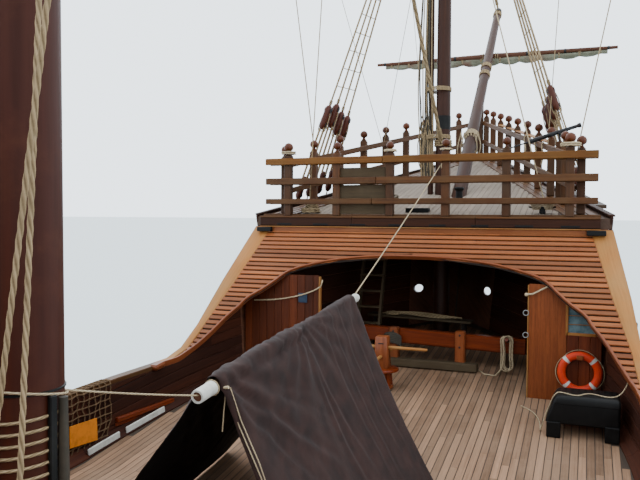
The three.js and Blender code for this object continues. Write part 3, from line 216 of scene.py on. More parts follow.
class Shape:
    def __init__(self):
        self.points, self.faces, self.uvs, self.slots, self.boards = [], [], [], [], 0

    def board_start(self):
        self.boards += 1
        return (self.boards * 61 % 251) * BOARD_STEP + 0.4

    def face(self, corners, uvs, slot):
        self.faces.append(tuple(corners))
        self.uvs.append(uvs)
        self.slots.append(slot)

    def loft(self, rings, slot=0, caps=True, closed=True, turns=None):
        """Joins rings of one point count by faces. turns are a rope's strand turns, for the UV map."""
        base, n, count = len(self.points), len(rings[0]), len(rings)
        span = n if closed else n - 1
        start = self.board_start()
        widest = max(rings, key=lambda ring: (ring[0] - ring[n // 2]).length)
        v, u = [start], [0.0]
        for k in range(span):
            v.append(v[-1] + (widest[(k + 1) % n] - widest[k]).length)
        for a, b in zip(rings, rings[1:]):
            u.append(u[-1] + (b[0] + b[n // 2] - a[0] - a[n // 2]).length / 2)
        if turns:
            u = turns
            v = [k / span for k in range(span + 1)]
        for ring in rings:
            self.points.extend(ring)
        for i in range(count - 1):
            for k in range(span):
                a, b = base + i * n + k, base + i * n + (k + 1) % n
                corners = ((u[i], v[k]), (u[i], v[k + 1]), (u[i + 1], v[k + 1]), (u[i + 1], v[k]))
                self.face((a, b, b + n, a + n), corners, slot)
        if caps and closed:
            for i, turn in ((0, -1), (count - 1, 1)):
                corners = list(range(base + i * n, base + i * n + n))[::turn]
                disc = [(u[i] + 0.03 * cos(tau * k / n), v[0] + 0.03 * sin(tau * k / n)) for k in range(n)]
                self.face(corners, disc, slot)

    def board(self, a, b, width, thick, up=UP, bevel=0.006, slot=0):
        """A squared timber with chamfered edges from a to b, its thickness along up."""
        a, b = Vector(a), Vector(b)
        way = (b - a).normalized()
        side = way.cross(Vector(up)).normalized()
        lift = side.cross(way)
        w, t, c = width / 2, thick / 2, min(bevel, width / 3, thick / 3)
        section = [(c - w, -t), (w - c, -t), (w, c - t), (w, t - c), (w - c, t), (c - w, t), (-w, t - c),
                   (-w, c - t)]

        def ring(at, trim):
            return [at + side * (x * (1 - trim / w)) + lift * (y * (1 - trim / t)) for x, y in section]

        self.loft([ring(a, c), ring(a + way * c, 0), ring(b - way * c, 0), ring(b, c)], slot)

    def box(self, x, y, z, grain="y", bevel=0.006, slot=0):
        """A chamfered block over three (low, high) ranges, its grain along one axis."""
        middle = [sum(r) / 2 for r in (x, y, z)]
        i = "xyz".index(grain)
        a, b = list(middle), list(middle)
        a[i], b[i] = (x, y, z)[i]
        up = FORWARD if grain == "z" else UP
        width = (x[1] - x[0]) if grain != "x" else (y[1] - y[0])
        thick = (z[1] - z[0]) if grain != "z" else (y[1] - y[0])
        self.board(a, b, width, thick, up, bevel, slot)

    def tube(self, points, radius, sides=8, slot=0, rope=False, caps=True, relief=0.0):
        """A round bar along points. relief is how deep a laid rope's strands are, a share of its radius."""
        points = [Vector(p) for p in points]
        ways = [(points[min(i + 1, len(points) - 1)] - points[max(i - 1, 0)]).normalized()
                for i in range(len(points))]
        side = ways[0].cross(UP if abs(ways[0].z) < 0.9 else FORWARD).normalized()
        mean = radius(0.5) if callable(radius) else radius
        rings, turns = [], [0.0]
        for p, q in zip(points, points[1:]):
            turns.append(turns[-1] + (q - p).length / (mean * ROPE_LAY))
        for i, (p, way, turn) in enumerate(zip(points, ways, turns)):
            side = (side - way * side.dot(way)).normalized()
            up = way.cross(side)
            r = radius(i / (len(points) - 1)) if callable(radius) else radius
            ring = []
            for k in range(sides):
                angle = tau * k / sides
                reach = r * (1 + relief * (sin(3 * angle + tau * turn) - 1))
                ring.append(p + (side * cos(angle) + up * sin(angle)) * reach)
            rings.append(ring)
        self.loft(rings, slot, caps, turns=turns if rope else None)

    def rope(self, points, radius, sides=6, slot=0):
        self.tube(points, radius, sides, slot, rope=True)

    def laid(self, points, radius, slot=0):
        """A thick rope whose three strands are real relief."""
        self.tube(finely(points, radius * 0.85), radius, 15, slot, rope=True, relief=0.13)

    def wind(self, at, r, rope_r, places, axis=UP, count=20, sides=6, slot=0):
        """Turns of rope round an axis through at, one at each place along it."""
        for place in places:
            self.rope(ring_points(Vector(at) + axis * place, r, count, axis), rope_r, sides, slot)

    def lathe(self, profile, at, axis=UP, sides=20, slot=0, caps=True):
        """A turned piece from (radius, height) pairs about an axis through at."""
        axis, side, up = square_to(axis)
        at = Vector(at)
        rings = []
        for r, h in profile:
            spokes = [tau * k / sides for k in range(sides)]
            rings.append([at + axis * h + (side * cos(s) + up * sin(s)) * max(r, 1e-4) for s in spokes])
        self.loft(rings, slot, caps)

    def ball(self, at, r, slot=0, sides=14, axis=UP, squash=1.0):
        rounds = [pi * i / 8 for i in range(9)]
        self.lathe([(r * sin(t), -r * squash * cos(t)) for t in rounds], at, axis, sides, slot, caps=False)

    def outline(self, points, offset, slot=0):
        """A flat plate: an outline of points, raised by an offset vector."""
        offset = Vector(offset)
        points = [Vector(p) for p in points]
        self.loft([points, [p + offset for p in points]], slot)

    def make(self, name, materials, body="ship", replaces=(), smooth=40, flip=True, slot=None):
        mesh = bpy.data.meshes.new(name)
        mesh.from_pydata([tuple(p) for p in self.points], [], self.faces)
        layer = mesh.uv_layers.new(name="UVMap")
        layer.data.foreach_set("uv", [c for face in self.uvs for uv in face for c in uv])
        materials = materials if isinstance(materials, (list, tuple)) else [materials]
        for material in materials:
            mesh.materials.append(material)
        mesh.polygons.foreach_set("material_index", self.slots)
        if flip:
            work = bmesh.new()
            work.from_mesh(mesh)
            bmesh.ops.recalc_face_normals(work, faces=work.faces)
            work.to_mesh(mesh)
            work.free()
        mesh.shade_smooth()
        mesh.set_sharp_from_angle(angle=radians(smooth))
        piece = bpy.data.objects.new(name, mesh)
        bpy.context.scene.collection.objects.link(piece)
        if body:
            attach(piece, body)
        if replaces:
            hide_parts(*replaces)
        return piece


ROPE_LAY = 6.0  # length of one turn of a rope's strands, in its radii


def finely(points, step):
    """The same line with a point every step."""
    points = [Vector(p) for p in points]
    result = [points[0]]
    for a, b in zip(points, points[1:]):
        count = max(1, round((b - a).length / step))
        result.extend(a.lerp(b, i / count) for i in range(1, count + 1))
    return result


def curve(points, steps=8):
    """A smooth line through points."""
    p = [Vector(q) for q in points]
    p = [p[0] * 2 - p[1]] + p + [p[-1] * 2 - p[-2]]
    result = []
    for i in range(1, len(p) - 2):
        for s in range(steps):
            t = s / steps
            result.append(0.5 * (2 * p[i] + (p[i + 1] - p[i - 1]) * t
                                 + (2 * p[i - 1] - 5 * p[i] + 4 * p[i + 1] - p[i + 2]) * t * t
                                 + (3 * p[i] - p[i - 1] - 3 * p[i + 1] + p[i + 2]) * t ** 3))
    return result + [p[-2]]


def slack(a, b, sag, count=10):
    """A rope's line between two points that hangs down by sag in the middle."""
    a, b = Vector(a), Vector(b)
    return [a.lerp(b, t) - UP * (4 * sag * t * (1 - t)) for t in spread(0, 1, count)]


def chance(*seed):
    """A number from 0 to 1 that depends on the seed alone."""
    x = sin(sum(s * w for s, w in zip(seed, (12.9898, 78.233, 37.719, 4.581)))) * 43758.5453
    return x - x // 1


# Materials
DULL = 0.15  # specular level of weathered wood, rope and cloth


class Nodes:
    def __init__(self, name):
        self.material = bpy.data.materials.new(name)
        self.material.use_nodes = True
        self.tree = self.material.node_tree
        self.shader = self.tree.nodes["Principled BSDF"]

    def feed(self, socket, value):
        if isinstance(value, bpy.types.NodeSocket):
            self.tree.links.new(value, socket)
        else:
            socket.default_value = value

    def node(self, kind, inputs=(), **settings):
        made = self.tree.nodes.new("ShaderNode" + kind)
        for key, value in settings.items():
            setattr(made, key, value)
        for key, value in dict(inputs).items():
            self.feed(made.inputs[key], value)
        return made

    def math(self, operation, a, b=0.0, c=0.0):
        return self.node("Math", {0: a, 1: b, 2: c}, operation=operation).outputs[0]

    def times(self, a, b):
        return self.math("MULTIPLY", a, b)

    def scaled(self, a, b, c):
        """a times b plus c"""
        return self.math("MULTIPLY_ADD", a, b, c)

    def place(self):
        return self.node("TexCoord").outputs["Object"]

    def coords(self, which="UV"):
        split = self.node("SeparateXYZ", {0: self.node("TexCoord").outputs[which]})
        return [split.outputs[i] for i in range(3)]

    def vector(self, x, y, z=0.0):
        return self.node("CombineXYZ", {0: x, 1: y, 2: z}).outputs[0]

    def noise(self, vector, scale=1.0, detail=4.0, rough=0.55, distortion=0.0):
        values = {"Vector": vector, "Scale": scale, "Detail": detail, "Roughness": rough,
                  "Distortion": distortion}
        return self.node("TexNoise", values).outputs["Fac"]

    def ramp(self, value, stops):
        made = self.node("ValToRGB", {0: value})
        ramp = made.color_ramp
        while len(ramp.elements) < len(stops):
            ramp.elements.new(0.5)
        for element, (place, colour) in zip(ramp.elements, stops):
            element.position = place
            element.color = colour if len(colour) == 4 else (*colour, 1)
        return made.outputs[0]

    def fade(self, value, low, high):
        """Black below low, white above high."""
        return self.ramp(value, [(low, (0, 0, 0)), (high, (1, 1, 1))])

    def mix(self, share, a, b, blend="MIX"):
        made = self.node("Mix", (), data_type="RGBA", blend_type=blend)
        self.feed(made.inputs[0], share)
        self.feed(made.inputs[6], a if isinstance(a, bpy.types.NodeSocket) else (*a, 1))
        self.feed(made.inputs[7], b if isinstance(b, bpy.types.NodeSocket) else (*b, 1))
        return made.outputs[2]

    def finish(self, colour, rough, height=None, distance=0.002, strength=1.0, **fixed):
        self.feed(self.shader.inputs["Base Color"], colour)
        self.feed(self.shader.inputs["Roughness"], rough)
        if height is not None:
            bump = self.node("Bump", {"Height": height, "Distance": distance, "Strength": strength})
            self.feed(self.shader.inputs["Normal"], bump.outputs[0])
        for key, value in fixed.items():
            self.shader.inputs[key.replace("_", " ")].default_value = value
        return self.material


def wood(name, light, dark, rough=0.5, tone=0.3, grey=None, greyness=0.0, relief=0.0015, grain=26.0,
         coords="UV", coat=0.0):
    """Wood whose grain runs along u. Each board has its own tone, and grey weathers it in patches."""
    n = Nodes(name)
    if coords == "UV":
        u, v, _ = n.coords()
        board = n.math("FLOOR", n.math("DIVIDE", v, BOARD_STEP))
    else:
        axes = dict(zip("XYZ", n.coords("Object")))
        u = axes.pop(coords)
        a, b = axes.values()
        v = n.math("ADD", a, n.times(b, 0.83))
        board = n.math("FLOOR", n.math("DIVIDE", v, 7.7))
    drawn = n.node("TexWhiteNoise", {"W": board}, noise_dimensions="1D").outputs["Value"]
    shift = n.times(drawn, 37.0)
    broad = n.noise(n.vector(n.scaled(u, 0.9, shift), n.times(v, grain), shift), 1, 5, 0.6, 0.7)
    fine = n.noise(n.vector(n.times(u, 9.0), n.times(v, grain * 6)), 1, 2, 0.6)
    figure = n.scaled(fine, 0.35, n.times(broad, 0.65))
    colour = n.ramp(figure, [(0.3, dark), (0.68, light)])
    level = n.scaled(drawn, tone, 1.0 - tone / 2)
    colour = n.mix(1.0, colour, n.vector(level, level, level), "MULTIPLY")
    patches = n.noise(n.place(), 1.7, 5, 0.62)
    if grey:
        share = n.times(n.fade(patches, 0.38, 0.66), greyness)
        colour = n.mix(share, colour, grey)
    stain = n.ramp(n.noise(n.place(), 0.55, 4, 0.5), [(0.3, (0.72, 0.7, 0.68)), (0.62, (1, 1, 1))])
    colour = n.mix(0.8, colour, stain, "MULTIPLY")
    shine = n.scaled(patches, 0.25, rough - 0.12)
    return n.finish(colour, shine, figure, relief, 0.55, Coat_Weight=coat, Coat_Roughness=0.25,
                    Specular_IOR_Level=DULL)


def painted(name, colour, worn, rough=0.45, relief=0.001):
    """Brushed paint with faint runs, scuffs and cracks."""
    n = Nodes(name)
    place = n.place()
    x, y, z = n.coords("Object")
    runs = n.noise(n.vector(n.times(x, 14), n.times(y, 14), n.times(z, 0.7)), 1, 5, 0.6)
    scuffs = n.fade(n.noise(place, 2.2, 7, 0.68), 0.5, 0.74)
    tint = n.mix(n.fade(runs, 0.35, 0.65), colour, [c * 0.72 for c in colour])
    return n.finish(n.mix(scuffs, tint, worn), n.scaled(runs, 0.3, rough - 0.15), runs, relief, 0.5,
                    Specular_IOR_Level=DULL)


def roped(name, light, dark, strands=3):
    """Laid rope: slanting strands with dark grooves, painted shade between them, fibres and dirt."""
    n = Nodes(name)
    u, v, _ = n.coords()
    turn = n.scaled(v, strands, n.times(u, 1.0))
    wave = n.scaled(n.math("SINE", n.times(turn, tau)), 0.5, 0.5)
    fibre = n.noise(n.place(), 90, 3, 0.6)
    dirt = n.noise(n.place(), 3.0, 4, 0.6)
    height = n.scaled(fibre, 0.3, n.times(wave, 0.7))
    # Low places, the grooves, take the dark colour: painted shade.
    colour = n.ramp(height, [(0.1, dark), (0.6, light)])
    colour = n.mix(n.ramp(dirt, [(0.45, (0, 0, 0)), (0.75, (0.8, 0.8, 0.8))]), colour,
                   [c * 0.6 for c in light])
    return n.finish(colour, 0.9, height, 0.006, 0.7, Specular_IOR_Level=DULL)


def cloth(name, colour, shade, weave=420.0, sheen=0.2, stains=None, relief=0.0006):
    """Woven cloth, with its thread, creases whose hollows take the shade colour as painted shade, and faded or
    stained patches.
    """
    n = Nodes(name)
    u, v, _ = n.coords()
    warp = n.math("SINE", n.times(u, weave * tau))
    weft = n.math("SINE", n.times(v, weave * tau))
    thread = n.scaled(n.times(warp, weft), 0.5, 0.5)
    place = n.place()
    crease = n.noise(place, 4.5, 6, 0.62, 0.4)
    fade = n.noise(place, 0.9, 5, 0.6)
    # Low places of the crease noise take the shade colour: painted shade.
    tint = n.mix(n.fade(crease, 0.35, 0.7), shade, colour)
    if stains:
        tint = n.mix(n.fade(fade, 0.56, 0.68), tint, stains)
    height = n.scaled(thread, 0.12, crease)
    return n.finish(tint, n.scaled(fade, 0.2, 0.75), height, relief, 0.6, Sheen_Weight=sheen,
                    Specular_IOR_Level=DULL)


def metal(name, colour, rust, rough=0.45, metallic=0.6):
    n = Nodes(name)
    place = n.place()
    pits = n.noise(place, 26, 6, 0.7)
    patches = n.fade(n.noise(place, 5, 5, 0.65), 0.52, 0.7)
    return n.finish(n.mix(patches, colour, rust), n.scaled(pits, 0.3, rough - 0.1), pits, 0.002, 0.5,
                    Metallic=metallic)


def plastic(name, colour, worn, rough=0.4):
    n = Nodes(name)
    place = n.place()
    grime = n.noise(place, 7, 6, 0.65)
    tint = n.mix(n.fade(grime, 0.45, 0.75), colour, worn)
    return n.finish(tint, n.scaled(grime, 0.2, rough), n.noise(place, 60, 3, 0.5), 0.0006, 0.4,
                    Specular_IOR_Level=DULL)


WEATHERED = (0.30, 0.27, 0.24)
M = {
    "deck": wood("deck_planks", (0.257, 0.148, 0.0877), (0.131, 0.0702, 0.04), 0.78, 0.75,
                 (0.23, 0.144, 0.0929), 0.55, 0.002, 34),
    "fore_deck": wood("fore_deck_planks", (0.237, 0.184, 0.14), (0.139, 0.105, 0.077), 0.74, 0.35,
                      (0.237, 0.193, 0.154), 0.6, 0.002, 34),
    "side_in": wood("bulwark_planks", (0.052, 0.0125, 0.0042), (0.02, 0.0045, 0.0016), 0.75, 0.8),
    "side_out": wood("side_planks", (0.15, 0.0475, 0.0189), (0.072, 0.0225, 0.0105), 0.55, 0.35, WEATHERED,
                     0.1),
    "tar": wood("tarred_planks", (0.0525, 0.03, 0.0175), (0.021, 0.012, 0.0075), 0.5, 0.4,
                (0.112, 0.078, 0.05), 0.25),
    "slat": wood("front_slats", (0.282, 0.0826, 0.0209), (0.137, 0.0321, 0.00796), 0.42, 0.75,
                 (0.228, 0.0921, 0.0338), 0.25, coat=0.08),
    "cap": wood("cap_boards", (0.328, 0.133, 0.032), (0.214, 0.076, 0.017), 0.55, 0.3, (0.282, 0.168, 0.0638),
                0.45),
    "red": wood("red_varnish", (0.185, 0.0301, 0.00616), (0.0748, 0.0104, 0.00275), 0.35, 0.35, coat=0.1),
    "rail": wood("rail_boards", (0.0992, 0.036, 0.00946), (0.0372, 0.0116, 0.00352), 0.5, 0.4,
                 (0.093, 0.051, 0.0203), 0.5),
    "rail_top": wood("top_rail_boards", (0.168, 0.0619, 0.00984), (0.0871, 0.0281, 0.00403), 0.55, 0.4,
                     (0.145, 0.0787, 0.0196), 0.3),
    "post": wood("rail_posts", (0.083, 0.029, 0.009), (0.03, 0.0105, 0.0038), 0.5, 0.7, (0.055, 0.034, 0.019),
                 0.55),
    "knob": wood("turned_knobs", (0.101, 0.0238, 0.00465), (0.0495, 0.0101, 0.00236), 0.38, 0.6, coat=0.1),
    "panel": wood("grey_panel", (0.0721, 0.0465, 0.0237), (0.0328, 0.0207, 0.0109), 0.75, 0.3,
                  (0.0819, 0.0594, 0.0346), 0.5),
    "bulkhead": wood("bulkhead_boards", (0.25, 0.0671, 0.0194), (0.103, 0.0235, 0.00864), 0.36, 0.4,
                     coat=0.1),
    # The port bulkhead's boards: a darker copy of the bulkhead wood, painted shade.
    "bulkhead_port": wood("port_bulkhead_boards_painted_shade", (0.092, 0.0195, 0.0048), (0.0368, 0.00712, 0.00198), 0.55,
                          0.8),
    # The starboard bulkhead's outer boards: a darker copy, painted shade.
    "bulkhead_far": wood("shaded_bulkhead_boards", (0.143, 0.0285, 0.0085), (0.0588, 0.0105, 0.0036), 0.4,
                         0.5, coat=0.1),
    "beam": wood("front_beam", (0.0337, 0.00856, 0.0018), (0.0163, 0.00406, 0.000998), 0.6, 0.3),
    # Near-black wood for the backing under the slats, beams under the forecastle deck, the shelf's legs and the
    # hatch's floor: painted shade.
    "dim": wood("painted_shade_timber", (0.0144, 0.00743, 0.0045), (0.006, 0.00297, 0.00195), 0.6, 0.3),
    "mast": painted("mast_paint", (0.0397, 0.00746, 0.00266), (0.0534, 0.0127, 0.00459), 0.55),
    "foremast": wood("foremast_wood", (0.0416, 0.0129, 0.00561), (0.0183, 0.00529, 0.00255), 0.45, 0.2,
                     grain=12),
    "bowsprit": wood("bowsprit_wood", (0.0436, 0.0141, 0.00653), (0.0261, 0.00755, 0.00334), 0.5, 0.2,
                     (0.0457, 0.0199, 0.01), 0.4, grain=12),
    "yard": wood("yard_wood", (0.11, 0.042, 0.0216), (0.05, 0.0189, 0.0108), 0.5, 0.2, grain=12),
    "block": wood("block_wood", (0.0756, 0.0163, 0.00612), (0.0315, 0.00612, 0.00265), 0.4, 0.3, coat=0.08),
    "black": painted("black_paint", (0.00392, 0.0037, 0.00357), (0.0123, 0.0116, 0.0101), 0.5),
    "rope": roped("hemp_rope", (0.315, 0.226, 0.126), (0.119, 0.0806, 0.0428)),
    "pale_rope": roped("pale_rope", (0.424, 0.329, 0.208), (0.187, 0.138, 0.0799)),
    "net_rope": roped("net_cord", (0.128, 0.075, 0.0383), (0.045, 0.0258, 0.0135)),
    "dark_rope": roped("tarred_rope", (0.06, 0.051, 0.039), (0.018, 0.015, 0.012)),
    "canvas": cloth("tent_canvas_cloth", (0.0271, 0.0105, 0.00792), (0.0113, 0.00448, 0.0035), 260, 0.04,
                    relief=0.004),
    # The tent's inner face: near-black cloth, painted shade inside the tent.
    "canvas_inside": cloth("tent_inside_painted_shade", (0.0045, 0.0038, 0.0035), (0.0025, 0.0022, 0.002), 260, 0.0,
                           relief=0.004),
    "sail": cloth("sail_canvas", (0.172, 0.172, 0.123), (0.104, 0.1, 0.0686), 300, 0.1, (0.11, 0.046, 0.0316),
                  relief=0.01),
    "plain_sail": cloth("plain_sail_canvas", (0.172, 0.172, 0.123), (0.104, 0.1, 0.0686), 300, 0.1,
                        relief=0.01),
    "iron": metal("black_iron", (0.01, 0.0094, 0.0103), (0.035, 0.0188, 0.0135)),
    "steel": metal("dull_steel", (0.21, 0.21, 0.21), (0.12, 0.102, 0.084), 0.4, 0.9),
    "orange": plastic("orange_shell", (0.51, 0.0324, 0.0072), (0.34, 0.0288, 0.0144)),
    "white": plastic("white_shell", (0.486, 0.473, 0.431), (0.304, 0.286, 0.253)),
    "lid": plastic("black_shell", (0.0025, 0.002, 0.0018), (0.006, 0.005, 0.0045), 0.42),
    "sign": plastic("sign_board", (0.56, 0.168, 0.012), (0.32, 0.105, 0.018), 0.45),
    "plate": plastic("plate_blue", (0.018, 0.03, 0.054), (0.036, 0.048, 0.072)),
    "grey": painted("grey_paint", (0.0367, 0.0308, 0.0228), (0.0648, 0.0486, 0.0336), 0.5),
}

# The record's material slots, each with the keys of M that belong to it
SLOT_KEYS = {
    "deck_wood": "deck fore_deck", "painted_side": "side_in side_out grey", "tarred_wood": "tar dim",
    "varnished_wood": "slat red bulkhead bulkhead_port bulkhead_far block",
    "rail_wood": "cap rail rail_top beam post knob panel", "spar_wood": "mast foremast yard",
    "bowsprit_wood": "bowsprit", "black_paint": "black lid plate glass", "canvas": "canvas canvas_inside",
    "rope": "rope pale_rope dark_rope net_rope", "sailcloth": "sail plain_sail", "iron": "iron steel",
    "orange_cover": "orange white sign",
}
SLOTS = {key: slot for slot, keys in SLOT_KEYS.items() for key in keys.split()}


def part(shape, name, materials, body="ship", replaces=(), smooth=40):
    """Makes a piece from a shape, its materials named by their keys in M."""
    keys = materials.split()
    return shape.make(name, [M[key] for key in keys], body, replaces, smooth, slot=SLOTS[keys[0]])


# Camera, floor and light
FOCAL = 694.0  # in pixels of the 640 x 480 photograph
PHOTO_WIDTH = 640
EYE = vec(3.04, -3.10, 5.25)
YAW, PITCH, ROLL = (radians(angle) for angle in (21.1, 1.9, 0.34))


def camera():
    forward = vec(-sin(YAW) * cos(PITCH), cos(YAW) * cos(PITCH), -sin(PITCH))
    level = vec(cos(YAW), sin(YAW), 0)
    over = level.cross(forward)
    right = level * cos(ROLL) + over * sin(ROLL)
    data = bpy.data.cameras.new("photo_camera")
    data.sensor_width = 36
    data.lens = FOCAL * 36 / PHOTO_WIDTH
    data.clip_start, data.clip_end = 0.05, 6000
    made = bpy.data.objects.new("photo_camera", data)
    bpy.context.scene.collection.objects.link(made)
    turn = Matrix((right, right.cross(forward), -forward)).transposed()
    made.matrix_world = Matrix.Translation(EYE) @ turn.to_4x4()
    bpy.context.scene.camera = made


FLOOR_REACH = 2500  # far enough for a level horizon
SKY, SKY_STRENGTH = (0.80, 0.885, 0.955, 1), 3.25
LAMPS = (("sky_light", 1.3, 38, -150, 50), ("fill_light", 0.4, 62, 60, 90))  # strength, tilt, turn, softness


def stage():
    corners = [(x * FLOOR_REACH, y * FLOOR_REACH, 0) for x, y in ((-1, -1), (1, -1), (1, 1), (-1, 1))]
    mesh = bpy.data.meshes.new("floor")
    mesh.from_pydata(corners, [], [(0, 1, 2, 3)])
    n = Nodes("pale_floor")
    mesh.materials.append(n.finish((0.52, 0.56, 0.565, 1), 0.85))
    floor = bpy.data.objects.new("floor", mesh)
    bpy.context.scene.collection.objects.link(floor)
    world = bpy.data.worlds.new("overcast")
    world.use_nodes = True
    world.node_tree.nodes["Background"].inputs[0].default_value = SKY
    world.node_tree.nodes["Background"].inputs[1].default_value = SKY_STRENGTH
    bpy.context.scene.world = world
    for name, strength, tilt, turn, soft in LAMPS:
        data = bpy.data.lights.new(name, "SUN")
        data.energy, data.angle = strength, radians(soft)
        lamp = bpy.data.objects.new(name, data)
        lamp.rotation_euler = (radians(tilt), 0, radians(turn))
        bpy.context.scene.collection.objects.link(lamp)


# Planking
def run_of(y0, y1, step=0.25):
    """Places along the ship from y0 to y1, with every station of the hull among them."""
    count = max(1, round((y1 - y0) / step))
    places = {round(mix(y0, y1, i / count), 4) for i in range(count + 1)}
    return sorted(places | {y for y, _ in DECK_LINE if y0 < y < y1})


def butts(a, b, length, seed, gaps=()):
    """Splits a to b into planks of about a length, with gaps left out."""
    cuts = [a]
    at = a + length * (0.35 + 0.65 * chance(seed))
    while at < b - 0.8:
        cuts.append(at)
        at += length * (0.8 + 0.35 * chance(seed, at))
    cuts.append(b)
    parts = [(p + 0.002, q - 0.002) for p, q in zip(cuts, cuts[1:])]
    for low, high in gaps:
        parts = [piece for p, q in parts for piece in ((p, min(q, low)), (max(p, high), q))
                 if piece[1] - piece[0] > 0.06]
    return parts


def side_point(y, z, out, sign):
    p = side_at(y, lambda _: z)
    return vec(sign * (p.x + out), p.y, z)


def strake(shape, places, low, high, out, back, sign, slot=0, seam=0.002):
    """A plank on the ship's side between two height lines. Its faces stand out and back from the side."""
    bevel = copysign(0.008, out - back)
    run = []
    for y in [*places, None]:
        if y is not None and high(y) - low(y) > 0.02:
            run.append(y)
            continue
        if len(run) > 1:
            rings = []
            for at in run:
                a, b = low(at) + seam, high(at) - seam
                section = ((a + 0.008, out), (b - 0.008, out), (b, out - bevel), (b, back), (a, back),
                           (a, out - bevel))
                rings.append([side_point(at, z, x, sign) for z, x in section])
            shape.loft(rings, slot)
        run = []


def planking(shape, y0, y1, base, top, sign, step=0.2, out=0.035, back=-0.02, holes=(), slot=0, fine=0.25,
             seam=0.002):
    """Strakes from a base line up to a top line. holes are (y0, y1, z0, z1) over the base line."""
    places = run_of(y0, y1, fine)
    rows = ceil(max(top(y) - base(y) for y in places) / step)
    for row in range(rows):
        gaps = [(a, b) for a, b, c, d in holes if c < (row + 1) * step and d > row * step]
        for a, b in butts(y0, y1, 4.6, row * 1.7 + sign, gaps):
            part_run = [a] + [y for y in places if a < y < b] + [b]
            low = lambda y, r=row: base(y) + r * step
            high = lambda y, r=row: min(base(y) + (r + 1) * step, top(y))
            strake(shape, part_run, low, high, out, back, sign, slot, seam)


def decking(shape, y0, y1, level, reach, width=0.11, lift=0.003, seam=0.011, holes=(), slot=0):
    """Fore-and-aft deck planks inside the half breadth reach(y). holes are (x0, x1, y0, y1)."""
    places = run_of(y0, y1, 0.1)
    count = int(max(reach(y) for y in places) / width) + 1
    for i in range(-count, count):
        x0, x1 = i * width + seam / 2, (i + 1) * width - seam / 2
        inside = [y for y in places if reach(y) >= max(abs(x0), abs(x1))]
        if len(inside) < 2 or inside[-1] - inside[0] < 0.2:
            continue
        gaps = [(c, d) for a, b, c, d in holes if a < x1 and b > x0]
        for a, b in butts(inside[0], inside[-1], 3.8, i * 0.77 + y0, gaps):
            run = [a] + [y for y, _ in DECK_LINE if a < y < b] + [b]
            rings = [[vec(x, y, level(y) + z) for x, z in ((x0, -0.01), (x1, -0.01), (x1, lift), (x0, lift))]
                     for y in run]
            shape.loft(rings, slot)


def wall_top(y, top_at):
    """Height of a side's top over the station at deck level y, following the rake of the ends."""
    top = top_at(y)
    for _ in range(6):
        top = top_at(station_y(y, top))
    return top


def under_fore_deck(y):
    return wall_top(y, lambda at: fore_deck_z(at) - FORE_DECK_THICK) - 0.003


STERN_TOP = [(-10.4, 6.56), (-6.801, 6.38), (-6.8, 4.62), (-2.6, 4.42)]


def stern_top(y):
    return wall_top(y, lambda at: along(STERN_TOP, at))


def waist_top(y):
    return sheer_top(y) - CAP_THICK - 0.002


GUN_PORTS = (-0.9, 2.6)
PORT_HALF, PORT_LOW, PORT_HIGH = 0.24, 0.26, 0.68
PORT_HOLES = [(y - PORT_HALF, y + PORT_HALF, PORT_LOW, PORT_HIGH) for y in GUN_PORTS]
HAWSE_Y = 13.75
AFT_END, FORE_END = -10.38, 14.13  # of the planking


def outer_planking(name, sign):
    """One side's planks from the bilge to the caps, with wale, frames of the gun ports and fenders."""
    s = Shape()
    planking(s, AFT_END, FORE_END, over_deck(-3.72), over_deck(-0.58), sign, 0.17, slot=1)
    places = run_of(AFT_END, FORE_END, 0.4)
    for a, b in butts(AFT_END, FORE_END, 6.5, sign):
        run = [a] + [y for y in places if a < y < b] + [b]
        strake(s, run, over_deck(-0.585), over_deck(-0.315), 0.105, -0.02, sign, 1)
    planking(s, AFT_END, FORE_END, over_deck(-0.315), over_deck(-0.003), sign, 0.16)
    planking(s, AFT_END, POOP_BREAK_Y, deck_z, stern_top, sign, fine=0.4)
    planking(s, POOP_BREAK_Y, HALF_BREAK_Y, deck_z, stern_top, sign, fine=0.4)
    planking(s, HALF_BREAK_Y, 9.99, deck_z, waist_top, sign, holes=PORT_HOLES, fine=0.12)
    hawse = [(HAWSE_Y - 0.45, FORE_END, 0.7, 1.0)]
    planking(s, 10.01, FORE_END, deck_z, under_fore_deck, sign, holes=hawse, fine=0.4)
    port_frames(s, sign)
    fenders(s, sign)
    part(s, "outer_planks_" + name, "side_out tar red")


def port_frames(s, sign):
    half = PORT_HALF + 0.07
    for y in GUN_PORTS:
        for z in (PORT_LOW - 0.04, PORT_HIGH + 0.06):
            strake(s, [y - half, y + half], over_deck(z - 0.06), over_deck(z + 0.05), 0.06, -0.02, sign, 2)
        for x in (y - PORT_HALF - 0.04, y + PORT_HALF + 0.04):
            strake(s, [x - 0.045, x + 0.045], over_deck(PORT_LOW), over_deck(PORT_HIGH), 0.06, -0.02, sign, 2)


def fenders(s, sign):
    """Upright timbers on the side, from the wale to the top."""
    for y in spread(-9.4, 8.8, 9):
        top = min(stern_top(y), waist_top(y)) if y < -2.7 else waist_top(y)
        line = [side_point(y, z, 0.075, sign) for z in spread(deck_z(y) - 0.3, top - 0.06, 5)]
        for p, q in zip(line, line[1:]):
            s.board(p, q, 0.13, 0.11, (sign, 0, 0), 0.012, 1)


